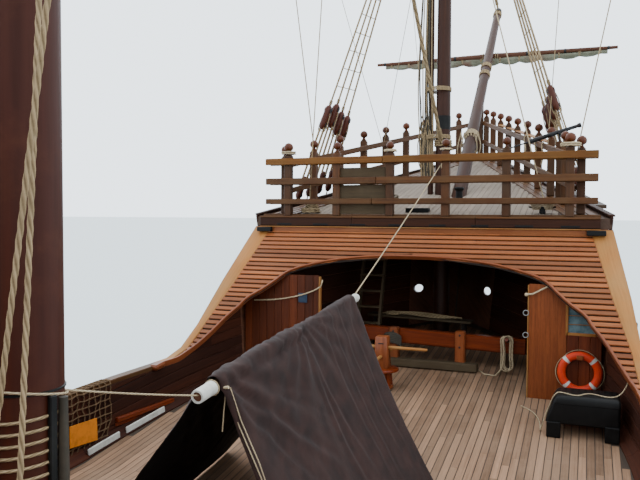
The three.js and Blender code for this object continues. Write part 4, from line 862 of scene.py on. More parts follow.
def inner_planking(name, sign):
    """One side's planks inside the bulwarks, with a waterway along each deck and three upright stays."""
    s = Shape()
    inner = {"out": -WALL - 0.028, "back": -WALL + 0.01, "seam": 0.006}
    planking(s, -2.58, 9.2, deck_z, lambda y: waist_top(y) - 0.012, sign, 0.185, holes=PORT_HOLES, fine=0.12,
             **inner)
    planking(s, 9.35, 13.2, deck_z, lambda y: under_fore_deck(y) if y > 10 else sheer_top(y) - 0.13, sign,
             0.3, **inner)
    planking(s, -6.78, -2.62, lambda y: half_deck_z(y) + 0.005, lambda y: stern_top(y) - 0.02, sign, 0.2,
             **inner)
    planking(s, -10.2, -6.82, lambda y: poop_deck_z(y) + 0.005, lambda y: stern_top(y) - 0.02, sign, 0.2,
             **inner)
    for y0, y1, level in ((-2.58, 9.2, deck_z), (-6.78, -2.62, half_deck_z), (-10.0, -6.82, poop_deck_z)):
        for a, b in butts(y0, y1, 5, sign):
            rings = []
            for y in [a] + [t for t in run_of(y0, y1, 0.5) if a < t < b] + [b]:
                z = level(y)
                section = ((0.2, 0.0), (0.2, 0.02), (0.12, 0.045), (0.05, 0.13), (0.02, 0.13), (0.02, 0.0))
                rings.append([side_point(y, z + h, -WALL - x, sign) for x, h in section])
            s.loft(rings, 1)
    for y in (-1.9, -0.2, 0.9):
        foot, head = (side_point(y, z, -WALL - 0.06, sign) for z in (deck_z(y) + 0.1, waist_top(y)))
        s.board(foot, head, 0.12, 0.07, (sign, 0, 0), 0.01, 2)
    part(s, "inner_planks_" + name, "side_in side_in red")


def cap_edge(y):
    """Inner edge of the waist's cap board, straight between two stations."""
    i = max(1, next(i for i, row in enumerate(DECK_LINE) if row[0] >= y - 1e-9))
    a, b = DECK_LINE[i - 1][0], DECK_LINE[i][0]
    inner = [half_breadth(at, sheer_top(at) - CAP_THICK) - along(CAP_LINE, at) for at in (a, b)]
    return mix(inner[0], inner[1], (y - a) / (b - a))


def caps(name, sign):
    """Cap boards on the bulwark and up the sides of the sloping front."""
    s = Shape()
    stations = [y for y, _ in DECK_LINE]

    def ring(y, grow=0.004):
        i = max(1, next(i for i, at in enumerate(stations) if at >= y - 1e-9))
        a, b = stations[i - 1], stations[i]
        clipped = [max(min(at, BREAK_Y), HALF_BREAK_Y) for at in (a, b)]
        points = []
        for at in clipped:
            z = sheer_top(at)
            edge = half_breadth(at, z - CAP_THICK)
            x0, x1 = edge - along(CAP_LINE, at) - grow, edge + along(CAP_LINE, at, 2) + grow
            low, high, c = z - CAP_THICK - grow, z + grow, 0.01
            section = ((x0, low), (x1, low), (x1, high - c), (x1 - c, high), (x0 + c, high), (x0, high - c))
            points.append([vec(x, at, h) for x, h in section])
        t = (y - clipped[0]) / (clipped[1] - clipped[0])
        return [vec(sign * p.lerp(q, t).x, *p.lerp(q, t).yz) for p, q in zip(*points)]

    for y0, y1, slot in ((-2.59, 7.1, 1), (7.1, 9.99, 0)):
        for a, b in butts(y0, y1, 4.4, 0.37):
            run = [a] + [y for y in stations if a < y < b] + [b]
            s.loft([ring(y) for y in run], slot)
    section = ((-0.2, 0), (0.07, 0), (0.07, 0.05), (-0.2, 0.05))  # of the caps aft, from the side and its top
    for y0, y1 in ((-10.35, -6.82), (-6.78, -2.61)):
        s.loft([[side_point(y, stern_top(y), x, sign) + UP * h for x, h in section]
                for y in run_of(y0, y1, 1.0)], 1)
    part(s, "cap_boards_" + name, "cap rail")


ARCH = [  # y, half breadth
    (7.04, 3.85), (7.4, 3.8), (7.74, 3.74), (7.94, 3.65), (8.16, 3.52), (8.42, 3.33), (8.61, 3.15),
    (8.76, 3.02), (8.9, 2.79),
    (9.03, 2.61), (9.22, 2.35), (9.34, 1.95), (9.44, 1.4), (9.505, 0.7), (9.52, 0.0),
]
SLAT_PITCH, SLAT_WIDTH, SLAT_THICK = 0.11, 0.078, 0.034
FORE_HATCH = (-1.62, -0.92, 10.8, 11.75)  # x0, x1, y0, y1
ARCH_TRIM = ((-0.018, -0.07), (0.022, -0.07), (0.022, 0.016), (0.012, 0.024), (-0.01, 0.024), (-0.018, 0.016))


def arch_line():
    """The arch's edge from port to starboard, as (x, y)."""
    half = [(x, y) for y, x in ARCH]
    both = [vec(-x, y, 0) for x, y in half] + [vec(x, y, 0) for x, y in reversed(half[:-1])]
    return curve(both, 6)


def front_slope(y):
    return (sheer_top(y + 0.01) - sheer_top(y)) / 0.01


def arch_x(y, line):
    """Half breadth of the arch's opening at y."""
    if y >= ARCH[-1][0]:
        return 0.0
    for a, b in zip(line, line[1:]):
        if a.y <= y <= b.y:
            return -mix(a.x, b.x, (y - a.y) / max(b.y - a.y, 1e-9))
    return -line[0].x


def sloping_front():
    """Slats laid across the slope, cut out round the arch, over a dark backing that is painted shade between
    them.
    """
    s = Shape()
    line = arch_line()
    y = 7.09
    while y < 9.985:
        slat(s, y, line)
        y += SLAT_PITCH / hypot(1, front_slope(y))
    # The backing is near-black wood: painted shade between the slats.
    for sign in (-1, 1):
        rings = []
        for y in run_of(7.08, 9.98, 0.08):
            z, a, b = sheer_top(y), arch_x(y, line), cap_edge(y) - 0.004
            if b - a > 0.02:
                section = ((a, -0.03), (b, -0.03), (b, -0.06), (a, -0.06))
                rings.append([vec(sign * x, y, z + h) for x, h in section])
        s.loft(rings, 1)
    s.box((-3.1, 3.1), (9.895, 9.93), (4.925, 5.044), "x", 0.006, 0)
    part(s, "front_slats", "slat dim", replaces=["sloping_front"])
    arch_trim(line)


def slat(s, y, line):
    """One slat across the slope: two pieces beside the arch, or above it two with a butt between."""
    w, t, c = SLAT_WIDTH / 2, SLAT_THICK, 0.007
    section = ((c - w, -t), (w - c, -t), (w, c - t), (w, -c), (w - c, 0), (c - w, 0), (-w, -c), (-w, c - t))
    slope = front_slope(y)
    way, lift = vec(0, 1, slope).normalized(), vec(0, -slope, 1).normalized()
    at = [vec(0, y, sheer_top(y) - 0.004) + way * a + lift * (b + 0.012) for a, b in section]
    inner = [arch_x(p.y, line) for p in at]
    outer = [cap_edge(min(p.y, 9.98)) - 0.006 for p in at]
    if max(inner) > 0.01:
        pieces = [[[sign * x for x in xs] for xs in (outer, inner)] for sign in (-1, 1)]
        pieces = pieces if min(outer) - max(inner) > 0.03 else []
    else:
        split = 3.2 * (chance(y) - 0.5)
        pieces = [([-x for x in outer], [split - 0.002] * 8), ([split + 0.002] * 8, outer)]
    for ends in pieces:
        s.loft([[vec(x, p.y, p.z) for x, p in zip(xs, at)] for xs in ends], 0)


def arch_trim(line):
    """The moulding round the arch, its feet on the caps, and an iron bracket at each upper corner."""
    trim = Shape()
    rings = []
    for i, p in enumerate(line):
        q = line[min(i + 1, len(line) - 1)] - line[max(i - 1, 0)]
        slope = front_slope(p.y)
        way = vec(q.x, q.y, q.y * slope).normalized()
        lift = vec(0, -slope, 1).normalized()
        away = way.cross(lift) * -1
        at = vec(p.x, p.y, sheer_top(p.y))
        rings.append([at + away * a + lift * b for a, b in ARCH_TRIM])
    trim.loft(rings, 0)
    for sign in (-1, 1):
        foot = vec(sign * cap_edge(7.0), 7.0, sheer_top(7.0) - 0.035)
        trim.board(foot - vec(0, 0.16, 0), foot + vec(0, 0.12, 0.03), 0.17, 0.10, UP, 0.03, 0)
        x, top = cap_edge(9.9), sheer_top(9.84) + 0.1
        trim.box(sorted((sign * (x - 0.1), sign * (x + 0.22))), (9.79, 9.9), (top - 0.03, top + 0.06), "x",
                 0.01, 1)
    part(trim, "arch_trim", "bulkhead black")


def forecastle_deck():
    s = Shape()
    decking(s, 10.22, 18.1, fore_deck_z, lambda y: fore_rail_x(y) - 0.22, 0.115, 0.004, 0.012, [FORE_HATCH])
    for sign in (-1, 1):
        for inset in (0.21, 0.07, -0.07, -0.21):
            ends = (10.22, 18.15 - inset)
            a, b = (vec(sign * (fore_rail_x(y) - inset), y, fore_deck_z(y) + 0.004) for y in ends)
            s.board(a, b, 0.13, 0.03, UP, 0.004, 1)
    part(s, "forecastle_planks", "fore_deck rail")
    forecastle_beams()
    hatch_coaming()


def forecastle_beams():
    """The front beam with its mouldings, the boards along the deck's edges, and the beams under the deck."""
    beam = Shape()
    for x in ((-3.3, -1.3), (-1.296, 1.1), (1.104, 3.25)):
        beam.box(x, (9.858, 10.04), (5.235, 5.272), "x", 0.006, 1)
        beam.box(x, (9.872, 9.91), (5.075, 5.234), "x", 0.008, 0)
    whole = (-3.3, 3.25)
    beam.box(whole, (9.878, 9.92), (5.062, 5.074), "x", 0.003, 2)
    beam.box(whole, (9.866, 9.92), (5.045, 5.061), "x", 0.004, 3)
    # Black patches on the beam's face stand for its slots: painted shade.
    for x in spread(-2.75, 2.75, 8):
        beam.box((x - 0.16, x + 0.16), (9.868, 9.88), (5.085, 5.12), "x", 0.003, 2)
    beam.box(whole, (10.04, 10.2), (5.262, 5.31), "x", 0.006, 1)
    for sign in (-1, 1):
        a, b = (vec(sign * fore_deck_edge(y), y, fore_deck_z(y) - 0.09) for y in (BREAK_Y, APEX_Y))
        beam.board(a, b, 0.05, 0.24, UP, 0.01, 0)
        beam.board(a + UP * 0.14, b + UP * 0.14, 0.12, 0.04, UP, 0.008, 0)
    # Beams under the forecastle deck, in near-black wood: painted shade.
    for y in spread(10.5, 13.6, 7):
        x = min(fore_deck_edge(y), side_at(y, lambda _: 5.0).x) - 0.15
        top = fore_deck_z(y) - FORE_DECK_THICK
        beam.box((-x, x), (y - 0.06, y + 0.06), (top - 0.14, top - 0.005), "x", 0.01, 4)
    part(beam, "forecastle_beams", "beam rail black cap dim")


def hatch_coaming():
    hole = Shape()
    x0, x1, y0, y1 = FORE_HATCH
    x0, x1 = x0 - 0.04, x1 + 0.04
    low, high = y0 - 0.04, y1 + 0.04
    for a, b in (((x0, low), (x1, low)), ((x0, high), (x1, high)), ((x0, y0), (x0, y1)),
                 ((x1, y0), (x1, y1))):
        ends = [vec(x, y, fore_deck_z(y) + 0.05) for x, y in (a, b)]
        hole.board(*ends, 0.07, 0.1, UP, 0.008)
    part(hole, "forecastle_hatch_coaming", "panel")


# Railings
POST_SIDE = 0.15
KNOB = [(0.044, 0), (0.046, 0.012), (0.030, 0.024), (0.026, 0.046), (0.042, 0.054), (0.066, 0.07),
        (0.078, 0.1), (0.077, 0.132), (0.06, 0.166), (0.030, 0.186), (0.004, 0.196)]


def post(shape, foot, height, half=POST_SIDE / 2, slot=0, knob_slot=1, knob=1.0):
    """A squared post with a turned neck and a round knob on top."""
    foot = Vector(foot)
    head = foot + UP * height
    shape.board(foot, head - UP * 0.035, half * 2, half * 2, FORWARD, 0.012, slot)
    shape.lathe([(half * 0.95, -0.04), (half * 0.98, -0.02), (half * 0.8, -0.008), (half * 0.6, 0)], head,
                sides=14, slot=slot)
    shape.lathe([(r * knob, h * knob) for r, h in KNOB], head - UP * 0.005, sides=18, slot=knob_slot)


GUN = vec(2.487, 11.45, 6.96)  # the swivel gun's trunnions
FRONT_RAIL_X = (-2.74, -1.68, -0.58, 0.51, 1.63, 2.73)


def front_rail():
    s = Shape()
    z = fore_deck_z(10.105)
    for i, x in enumerate(FRONT_RAIL_X):
        post(s, (x, 10.06, z), 1.27 + 0.02 * chance(i), knob=1.2 if i in (0, 5) else 1.0)
    for low, high, depth, slot in ((0.235, 0.345, 0.06, 2), (0.635, 0.765, 0.06, 2), (1.04, 1.17, 0.075, 3)):
        joint, middle = 0.4 * chance(low) + 0.55, z + (low + high) / 2
        for a, b in ((-3.2, -joint), (-joint + 0.004, 3.2)):
            for y in (9.985 - depth / 2, 10.135 + depth / 2):
                s.board((a, y, middle), (b, y, middle), depth, high - low, UP, 0.008, slot)
    part(s, "front_rail", "post knob rail rail_top", replaces=["forecastle_front_rail"])
    panel = Shape()
    for low, high in ((0.04, 0.30), (0.31, 0.62), (0.63, 0.96)):
        middle = z + (low + high) / 2
        panel.board((-1.64, 10.06, middle), (-0.62, 10.06, middle), 0.03, high - low, UP, 0.006)
    part(panel, "grey_panel", "panel")


SIDE_POST_YS = spread(RAIL_CORNER_Y + 0.19, APEX_Y - 0.33, 10)


def side_rail(name, sign):
    """Posts and two rails on the forecastle's side; the starboard one has the gun's post and a top board."""
    s = Shape()
    feet = [vec(sign * (fore_rail_x(y) + 0.03), y, fore_deck_z(y + 0.045)) for y in SIDE_POST_YS]
    for foot in feet:
        post(s, foot, 1.2, knob=1.15)
    for low, high in ((0.415, 0.525), (0.955, 1.075)):
        middle = UP * ((low + high) / 2)
        inward = vec(-sign * 0.1, 0, 0)
        s.board(feet[0] + middle + inward, feet[-1] + middle + inward, 0.055, high - low, UP, 0.008, 2)
    if sign > 0:
        s.board((GUN.x, GUN.y, fore_deck_z(GUN.y + 0.06)), GUN - UP * 0.19, 0.124, 0.124, FORWARD, 0.012, 0)
        a, b = feet[2] + UP * 1.1, feet[7] + UP * 1.1
        s.board(a, b, 0.15, 0.03, UP, 0.006, 3)
    part(s, "side_rail_" + name, "post knob rail cap", replaces=["forecastle_side_rail_" + name])


def apex_post():
    s = Shape()
    foot = vec(0, 18.02, fore_deck_z(18.0))
    s.board(foot - UP * 0.05, foot + UP * 1.75, 0.16, 0.16, FORWARD, 0.02)
    s.lathe([(0.1, 0), (0.11, 0.03), (0.06, 0.07), (0.03, 0.2), (0.004, 0.24)], foot + UP * 1.74, sides=12)
    part(s, "apex_post", "post")


def aft_rail(name, y, level, replaced):
    s = Shape()
    z = level(y - 0.045)
    x = side_at(y, lambda _: z + 0.9).x - WALL - 0.097
    for t in (-1, -0.66, -0.33, 0, 0.33, 0.66, 1):
        post(s, (t * x, y, z), 1.02, knob=0.95)
    for low, high, slot in ((0.415, 0.525, 2), (0.86, 0.975, 3)):
        middle = z + (low + high) / 2
        for face in (y - 0.1, y + 0.1):
            s.board((-x, face, middle), (x, face, middle), 0.044, high - low, UP, 0.008, slot)
    part(s, name, "post knob rail cap", replaces=[replaced])


# Cloth, pole and guys of the tent
TENT = {"y0": 2.2, "y1": 5.92, "z0": 3.84, "z1": 4.175, "right": 1.19, "left": -1.9, "pole": 0.055}
SHEET = (5.45, 3.85)  # across the ridge, along it
ON_POLE, POLE_HUG = 0.05, 1.25  # share of each slope that lies on the pole, and the angle it lies round


def ridge(y, lift=0.0):
    return vec(0, y, mix(TENT["z0"], TENT["z1"], (y - TENT["y0"]) / (TENT["y1"] - TENT["y0"])) + lift)


def canvas_point(t, u):
    """Place on the canvas at a share t of the ridge; u is -1 at the starboard hem and 1 at the port one."""
    y = mix(TENT["y0"], TENT["y1"], t)
    hem, a = deck_z(y) + 0.02, abs(u)
    foot = TENT["right"] if u < 0 else TENT["left"]
    roll = 0.032 * clamp((0.50 - t) / 0.04) * clamp(t / 0.02) + 0.006  # its aft half lies in a thicker roll
    r = TENT["pole"] + 0.014 + roll
    angle = min(a / ON_POLE, 1) * POLE_HUG
    top = ridge(y).z + 0.006
    p = vec(copysign(r * sin(angle), foot), y, top - r + r * cos(angle) + roll * 0.5)
    if a >= ON_POLE:
        down = (a - ON_POLE) / (1 - ON_POLE)
        p = p.lerp(vec(foot, y, hem), down)
        sag = sin(pi * down) * (0.05 + 0.05 * sin(pi * t))
        p += vec(-copysign(sag, foot), 0, -sag * 0.35)
    p += canvas_folds(t, u, a, foot)
    if a >= 0.985:
        p.z = max(p.z, hem)
    return p


def tent():
    """The canvas is one sheet from the starboard hem over the pole to the port hem."""
    rows, columns = 132, 120
    s = Shape()
    s.points = [canvas_point(i / rows, 2 * k / columns - 1) for i in range(rows + 1)
                for k in range(columns + 1)]
    for i in range(rows):
        for k in range(columns):
            a = i * (columns + 1) + k
            corners = [(i, k), (i, k + 1), (i + 1, k + 1), (i + 1, k)]
            uvs = [(q[1] / columns * SHEET[0], q[0] / rows * SHEET[1]) for q in corners]
            s.face((a, a + 1, a + columns + 2, a + columns + 1), uvs, 0)
    # One face of the sheet takes the near-black cloth as painted shade inside the tent, the other the canvas.
    piece = s.make("canvas_sheet", [M["canvas_inside"], M["canvas"]], replaces=["tent_canvas"], smooth=80,
                   flip=False, slot="canvas")
    thick = piece.modifiers.new("thickness", "SOLIDIFY")
    thick.thickness, thick.offset = 0.004, 0
    thick.material_offset = 1


# Sharp creases of the canvas: from and to as (share of the ridge, share of the slope), half width, depth
CREASES = [
    (0.0, 0.04, 0.5, 0.62, 0.018, 0.03), (0.04, 0.05, 0.62, 0.5, 0.012, 0.018),
    (0.0, 0.08, 0.3, 0.6, 0.012, 0.016),
    (0.08, 0.07, 0.46, 0.3, 0.012, 0.016), (0.5, 0.05, 0.66, 0.75, 0.012, 0.016),
    (0.5, 0.05, 0.58, 0.9, 0.014, 0.014),
    (0.66, 0.03, 0.74, 0.85, 0.010, 0.010), (0.74, 0.03, 0.8, 0.9, 0.009, 0.012),
    (0.82, 0.02, 0.87, 0.8, 0.009, 0.012),
    (0.9, 0.02, 0.93, 0.9, 0.009, 0.010), (0.28, 0.25, 0.6, 0.55, 0.012, 0.012),
    (0.16, 0.5, 0.5, 0.85, 0.014, 0.014),
]


def canvas_folds(t, u, a, foot):
    """Creases that fan out from the ridge's ends and from the gather, and soft waves to the hems."""
    way = vec(copysign(1, foot), 0, 0.55).normalized()
    depth = 0.0
    for centre, count, reach, size in ((0.5, 11, 0.75, 0.014), (0.0, 7, 0.9, 0.016), (1.0, 6, 0.8, 0.012)):
        angle = atan2(t - centre, a * 1.25 + 0.03)
        distance = hypot(t - centre, a * 1.25)
        strength = size * clamp(distance / 0.10) * clamp((reach - distance) / reach)
        depth += strength * sin(angle * count * 2 + centre * 3 + 2 * noise.noise(vec(t * 3, u * 3, centre)))
    depth += 0.02 * a * noise.noise(vec(t * 5.0, u * 2.2, 3.0))
    depth += 0.006 * noise.noise(vec(t * 22, u * 16, 7.0))
    gather = exp(-((t - 0.5) / 0.03) ** 2) * clamp(1 - a / 0.16)
    depth += gather * 0.035 * sin(a * 90 + t * 60)
    for t0, a0, t1, a1, width, size in CREASES:
        run = clamp(((t - t0) * (t1 - t0) + (a - a0) * (a1 - a0)) / ((t1 - t0) ** 2 + (a1 - a0) ** 2))
        off = ((t - t0) * (a1 - a0) - (a - a0) * (t1 - t0)) / hypot(t1 - t0, a1 - a0)
        off += 0.012 * noise.noise(vec(t * 6, a * 6, t0))
        past = hypot(t - mix(t0, t1, run), a - mix(a0, a1, run))
        fade = sin(pi * mix(0.12, 1, run)) if past < 3 * width + abs(off) else 0.0
        depth += size * fade * (exp(-((off + width) / width) ** 2) - exp(-(off / width) ** 2))
    depth -= 0.03 * clamp((0.49 - t) / 0.02) * exp(-((a - 0.066) / 0.014) ** 2)
    crumple = clamp((0.49 - t) / 0.02) * clamp(1 - a / 0.09)
    depth += crumple * 0.016 * noise.noise(vec(t * 60, a * 25, 1.0))
    return way * depth


def tent_pole():
    """The ridge pole with a sleeve on each end, and the guys that hold it."""
    s = Shape()
    drop = -(0.016 + TENT["pole"] * 1.247)
    aft, fore = ridge(TENT["y0"] - 0.26, drop), ridge(TENT["y1"] + 0.26, drop)
    s.tube(spreadline(aft, fore, 20), TENT["pole"] - 0.006, 20)
    way = (fore - aft).normalized()
    part(s, "ridge_pole", "yard", replaces=["tent_pole"])
    sleeves = Shape()
    r = TENT["pole"]
    profile = [(r * 0.78, 0.04), (r * 0.78, 0.0), (r + 0.004, 0.0), (r + 0.007, 0.02), (r + 0.006, 0.2),
               (r + 0.010, 0.215), (r + 0.009, 0.25), (r * 0.9, 0.255)]
    for end, inward in ((aft, way), (fore, -way)):
        sleeves.lathe(profile, end - inward * 0.012, inward, 24, 0)
    part(sleeves, "pole_sleeves", "white", replaces=["tent_pole"])
    guys = Shape()
    rail_knot = vec(0.44, 10.02, 6.23)
    guys.rope(slack(fore - way * 0.03 + UP * 0.05, (0.41, 10.0, 6.23), 0.02, 14), 0.009)
    guys.rope(slack(aft + way * 0.03, vec(-0.02, 0.24, 4.19), 0.01, 10), 0.0075)
    guys.rope([p - UP * (0.2 * p.y) for p in ring_points(vec(0, 0, 4.24), 0.248, 26)], 0.0075)
    guys.rope(ring_points(rail_knot, 0.05, 10, STARBOARD), 0.011)
    for end, turn in ((aft, 1), (fore, -1)):
        guys.rope(ring_points(end + way * 0.24 * turn, TENT["pole"] + 0.014, 14, way), 0.006)
    part(guys, "tent_guys", "pale_rope", replaces=["tent_pole"])


def tent_ties():
    """The ends of cord that hang from the canvas's aft edge."""
    ties = Shape()
    for y, x, low in ((0.05, 0.1, 1.25), (0.07, 0.13, 1.45)):
        top = ridge(TENT["y0"] + y, -0.1) + vec(x, 0, 0)
        steps = ((0, 0, 0), (0.12, -0.02, -0.28), (0.3, -0.03, -0.62), (0.52 + x * 0.8, -0.02, -low))
        ties.rope([top + Vector(step) for step in steps], 0.0065)
    top = ridge(TENT["y0"] + 0.05, -0.1) + vec(0.1, 0, 0)
    ties.rope([top, top + vec(0.0, -0.04, -0.2), top + vec(-0.02, -0.03, -0.38)], 0.006)
    ties.tube([top + vec(-0.03, -0.01, 0.0), top + vec(0.03, -0.01, 0.01)], 0.014, 10)
    part(ties, "tent_ties", "pale_rope")


def spreadline(a, b, count):
    return [Vector(a).lerp(Vector(b), t) for t in spread(0, 1, count)]


def ring_points(at, r, count, axis=UP):
    """A circle about an axis through at, whose last point is its first."""
    _, side, up = square_to(axis)
    angles = [tau * i / count for i in range(count + 1)]
    return [Vector(at) + (side * cos(a) + up * sin(a)) * r for a in angles]


# Masts and spars
def mast_r(mast, z):
    return mast["r"] + (mast["top"] - mast["r"]) * (z - mast["foot"]) / (mast["head"] - mast["foot"])


def mast_piece(name, mast, materials, replaced, bands=(), top_r=None):
    """A mast, with bands of rope turns round it and a round top if it has one."""
    s = Shape()
    axis = vec(0, mast["y"], 0)
    heights = spread(mast["foot"], mast["head"], 24)
    cap = (mast["top"] * 0.6, mast["head"] + 0.05)
    s.lathe([(mast_r(mast, z), z) for z in heights] + [cap], axis, sides=36)
    for z in bands:
        r = mast_r(mast, z)
        turn = [(r - 0.005, -0.013), (r + 0.009, -0.012), (r + 0.014, 0), (r + 0.009, 0.012),
                (r - 0.005, 0.013)]
        for h in series(z, 0.028, 7):
            s.lathe([(x, h + lift) for x, lift in turn], axis, sides=28, slot=1)
    if top_r:
        mast_top(s, mast, axis, top_r)
    part(s, name, materials, replaces=[replaced])


def mast_top(s, mast, axis, r):
    """A round top that widens upward: floor, wall, three hoops, and ribs outside."""
    z = mast["round"]
    pole = mast_r(mast, z)
    wall = [(r * 0.62, z), (r * 0.95, z + 0.12), (r * 0.985, z + 0.8)]
    inner = [(r - 0.05, z + 0.8), (r * 0.88, z + 0.19), (pole + 0.01, z + 0.19)]
    s.lathe(wall + inner, axis, sides=40, slot=2, caps=False)
    s.lathe([(pole, z), (r * 0.62, z)], axis, sides=40, slot=2, caps=False)
    for h, grow in ((0.12, 0.02), (0.45, 0.015), (0.8, 0.03)):
        reach, low, high = mix(r * 0.95, r * 0.985, (h - 0.12) / 0.68), z + h - 0.03, z + h + 0.035
        hoop = [(reach - 0.03, low), (reach + grow, low), (reach + grow, high), (reach - 0.06, high)]
        s.lathe(hoop, axis, sides=40, slot=3)
    for k in range(20):
        way = polar(tau * k / 20)
        a, b, c, e = (axis + way * (r * x) + UP * (z + h)
                      for x, h in ((0.62, 0.01), (0.96, 0.125), (0.955, 0.12), (0.992, 0.78)))
        s.board(a, b, 0.05, 0.03, UP, 0.006, 3)
        s.board(c, e, 0.05, 0.03, way, 0.006, 3)


TOPMAST = {"y": 0.19, "r": (0.105, 0.06), "head": 24.55}  # radii at its foot and head
TRUCK = ((0.03, -0.01), (0.075, -0.005), (0.078, 0.03), (0.05, 0.05), (0.002, 0.053))  # on the topmast's head


def topmast():
    s = Shape()
    axis, head = vec(0, TOPMAST["y"], 0), TOPMAST["head"]
    pole = [(mix(*TOPMAST["r"], t), mix(MAIN["round"] + 0.1, head, t)) for t in spread(0, 1, 12)]
    s.lathe(pole + [(0.03, head + 0.01)], axis, sides=24)
    s.lathe([(r, head + z) for r, z in TRUCK], axis, sides=20, slot=1)
    for z in (17.55, 18.2, 18.85):
        s.box((-0.15, 0.15), (-0.15, 0.32), (z - 0.05, z + 0.05), "y", 0.015, 1)
    for z in (19.6, 21.4, 23.2):
        r = mix(*TOPMAST["r"], (z - 17.3) / 7.3) + 0.006
        s.wind(axis, r, 0.012, series(z, 0.024, 5), UP, 16, 6, 2)
    part(s, "topmast_pole", "mast tar rope")


STRIP_ANGLE, FISH_ANGLE = radians(-7), radians(7)
HALYARDS = (  # foot on the deck (x, y), bend, head
    ((0.495, -0.62), (0.572, -0.6, 4.0), (0.955, -0.14, 17.5)),
    ((-0.186, -0.58), (0.454, -0.6, 4.374), (1.79, -0.86, 11.0)),
)


def mast_fittings():
    """Woolding over an iron strip and a round fish at the mainmast's foot, and the two halyards before it."""
    s = Shape()
    for z in spread(1.9, 4.12, 35):
        r = mast_r(MAIN, z) + 0.008
        ring = ring_points(vec(0, 0, z), r, 28)
        s.rope([p + UP * (0.02 * sin(atan2(p.y, p.x) + 0.6)) for p in ring], 0.0095, 6, 0)
    strip = polar(STRIP_ANGLE)
    s.board(strip * 0.252 + UP * 1.75, strip * 0.252 + UP * 4.24, 0.05, 0.03, strip, 0.006, 2)
    fish = polar(FISH_ANGLE)
    s.tube([fish * 0.272 + UP * z for z in spread(1.7, 4.22, 12)], lambda t: 0.036 - 0.01 * max(0, 4 * t - 3),
           14, 1)
    s.lathe([(0.236, 4.252), (0.243, 4.255), (0.243, 4.264), (0.236, 4.267)], vec(0, 0, 0), sides=32, slot=2)
    part(s, "mast_fishes", "rope grey black")
    ropes = Shape()
    for (x, y), bend, high in HALYARDS:
        middle = Vector(bend).lerp(Vector(high), 0.3)
        ropes.laid([(x, y, deck_z(y) + 0.05), bend, middle], 0.0155)
        ropes.rope([middle, high], 0.0145, 8)
    for (x, y), _, _ in HALYARDS:
        z = deck_z(y)
        ropes.tube(ring_points(vec(x, y, z + 0.045), 0.035, 12, STARBOARD), 0.011, 8, 1)
        ropes.lathe([(0.05, 0.002), (0.05, 0.012), (0.02, 0.02)], (x, y, z), sides=12, slot=1)
        ropes.wind((x, y, z), 0.022, 0.008, series(0.11, 0.022, 5), UP, 10, 5)
    part(ropes, "halyards", "rope iron")


PARREL_BAND, PARREL_CLEAR = 0.042, 0.01


def bolster(mast, z, material):
    s = Shape()
    foot = z - 0.09
    r = mast_r(mast, foot) + PARREL_CLEAR + PARREL_BAND * 0.7
    s.lathe([(r - 0.07, foot), (r - 0.03, foot), (r, foot + 0.03), (r, z - 0.002), (r - 0.07, z - 0.002)],
            vec(0, mast["y"], 0), sides=28)
    part(s, "bolster_at_" + str(int(z * 10)), material)


YARDS = {
    "main": {"mast": MAIN, "z": 16.2, "half": 6.3, "r": 0.15, "sail": 0.20, "short": 0.5},
    "fore": {"mast": FORE, "z": 14.0, "half": 4.4, "r": 0.115, "sail": 0.16, "short": 0.4},
}
TRUSS = 0.17


def spar(shape, middle, way, half, r, slot=0):
    """A spar that tapers to its ends, with bands and end stops."""
    points = [middle + way * (half * t) for t in spread(-1, 1, 21)]
    shape.tube(points, lambda t: r * (1 - 0.5 * abs(2 * t - 1)) - 0.001, 20, slot)
    for t in (-0.93, -0.6, -0.3, 0.3, 0.6, 0.93):
        at = middle + way * (half * t)
        reach = r * (1 - 0.5 * abs(t))
        shape.lathe([(reach - 0.003, -0.03), (reach + 0.005, -0.028), (reach + 0.005, 0.028),
                     (reach - 0.003, 0.03)], at, way, 20, slot + 1)


def furled(shape, middle, way, down, half, r, yard_r, seed, slot=0, gasket_slot=1, shift=vec(0, 0, 0)):
    """A furled sail hugging a spar from below, rolled in folds and tied by gaskets."""
    rows, sides = 150, 28
    across = way.cross(down).normalized()
    ties = [-0.94 + 1.88 * k / 11 for k in range(12)]
    rings = []
    for i in range(rows + 1):
        t = -1 + 2 * i / rows
        near = min(abs(t - tie) for tie in ties)
        pinch = 0.74 + 0.26 * clamp(near / 0.055)
        fat = r * (0.35 + 0.65 * sqrt(max(0, 1 - t * t * 0.96))) * pinch
        centre = middle + way * (t * half) + down * (yard_r * 0.48 + fat * 0.94) + shift
        ring = []
        for k in range(sides):
            angle = tau * k / sides
            fold = 0.09 * sin(3 * angle + 2.2 * t + seed) + 0.05 * sin(7 * angle + 9 * t + seed)
            fold += 0.16 * noise.noise(vec(t * half * 1.1, cos(angle) * 1.2 + seed, sin(angle) * 1.2))
            reach = fat * min(1 + fold * clamp(near / 0.03 + 0.25), 1.12)
            ring.append(centre + across * (cos(angle) * reach) + down * (sin(angle) * reach))
        rings.append(ring)
    shape.loft(rings, slot)
    for tie in ties:
        fat = r * (0.35 + 0.65 * sqrt(max(0, 1 - tie * tie * 0.96))) * 0.75
        at = middle + way * (tie * half) + shift
        spar_r = yard_r * (1 - 0.5 * abs(tie)) + 0.006
        low = yard_r * 0.48 + fat * 1.95
        wide = max(spar_r, fat * 1.06)
        loop = [at + across * (cos(a) * wide) + down * mix(-spar_r, low, (sin(a) + 1) / 2)
                for a in spread(0, tau, 21)]
        for move in (-0.014, 0.014):
            shape.rope([p + way * move for p in loop], 0.011, 6, gasket_slot)


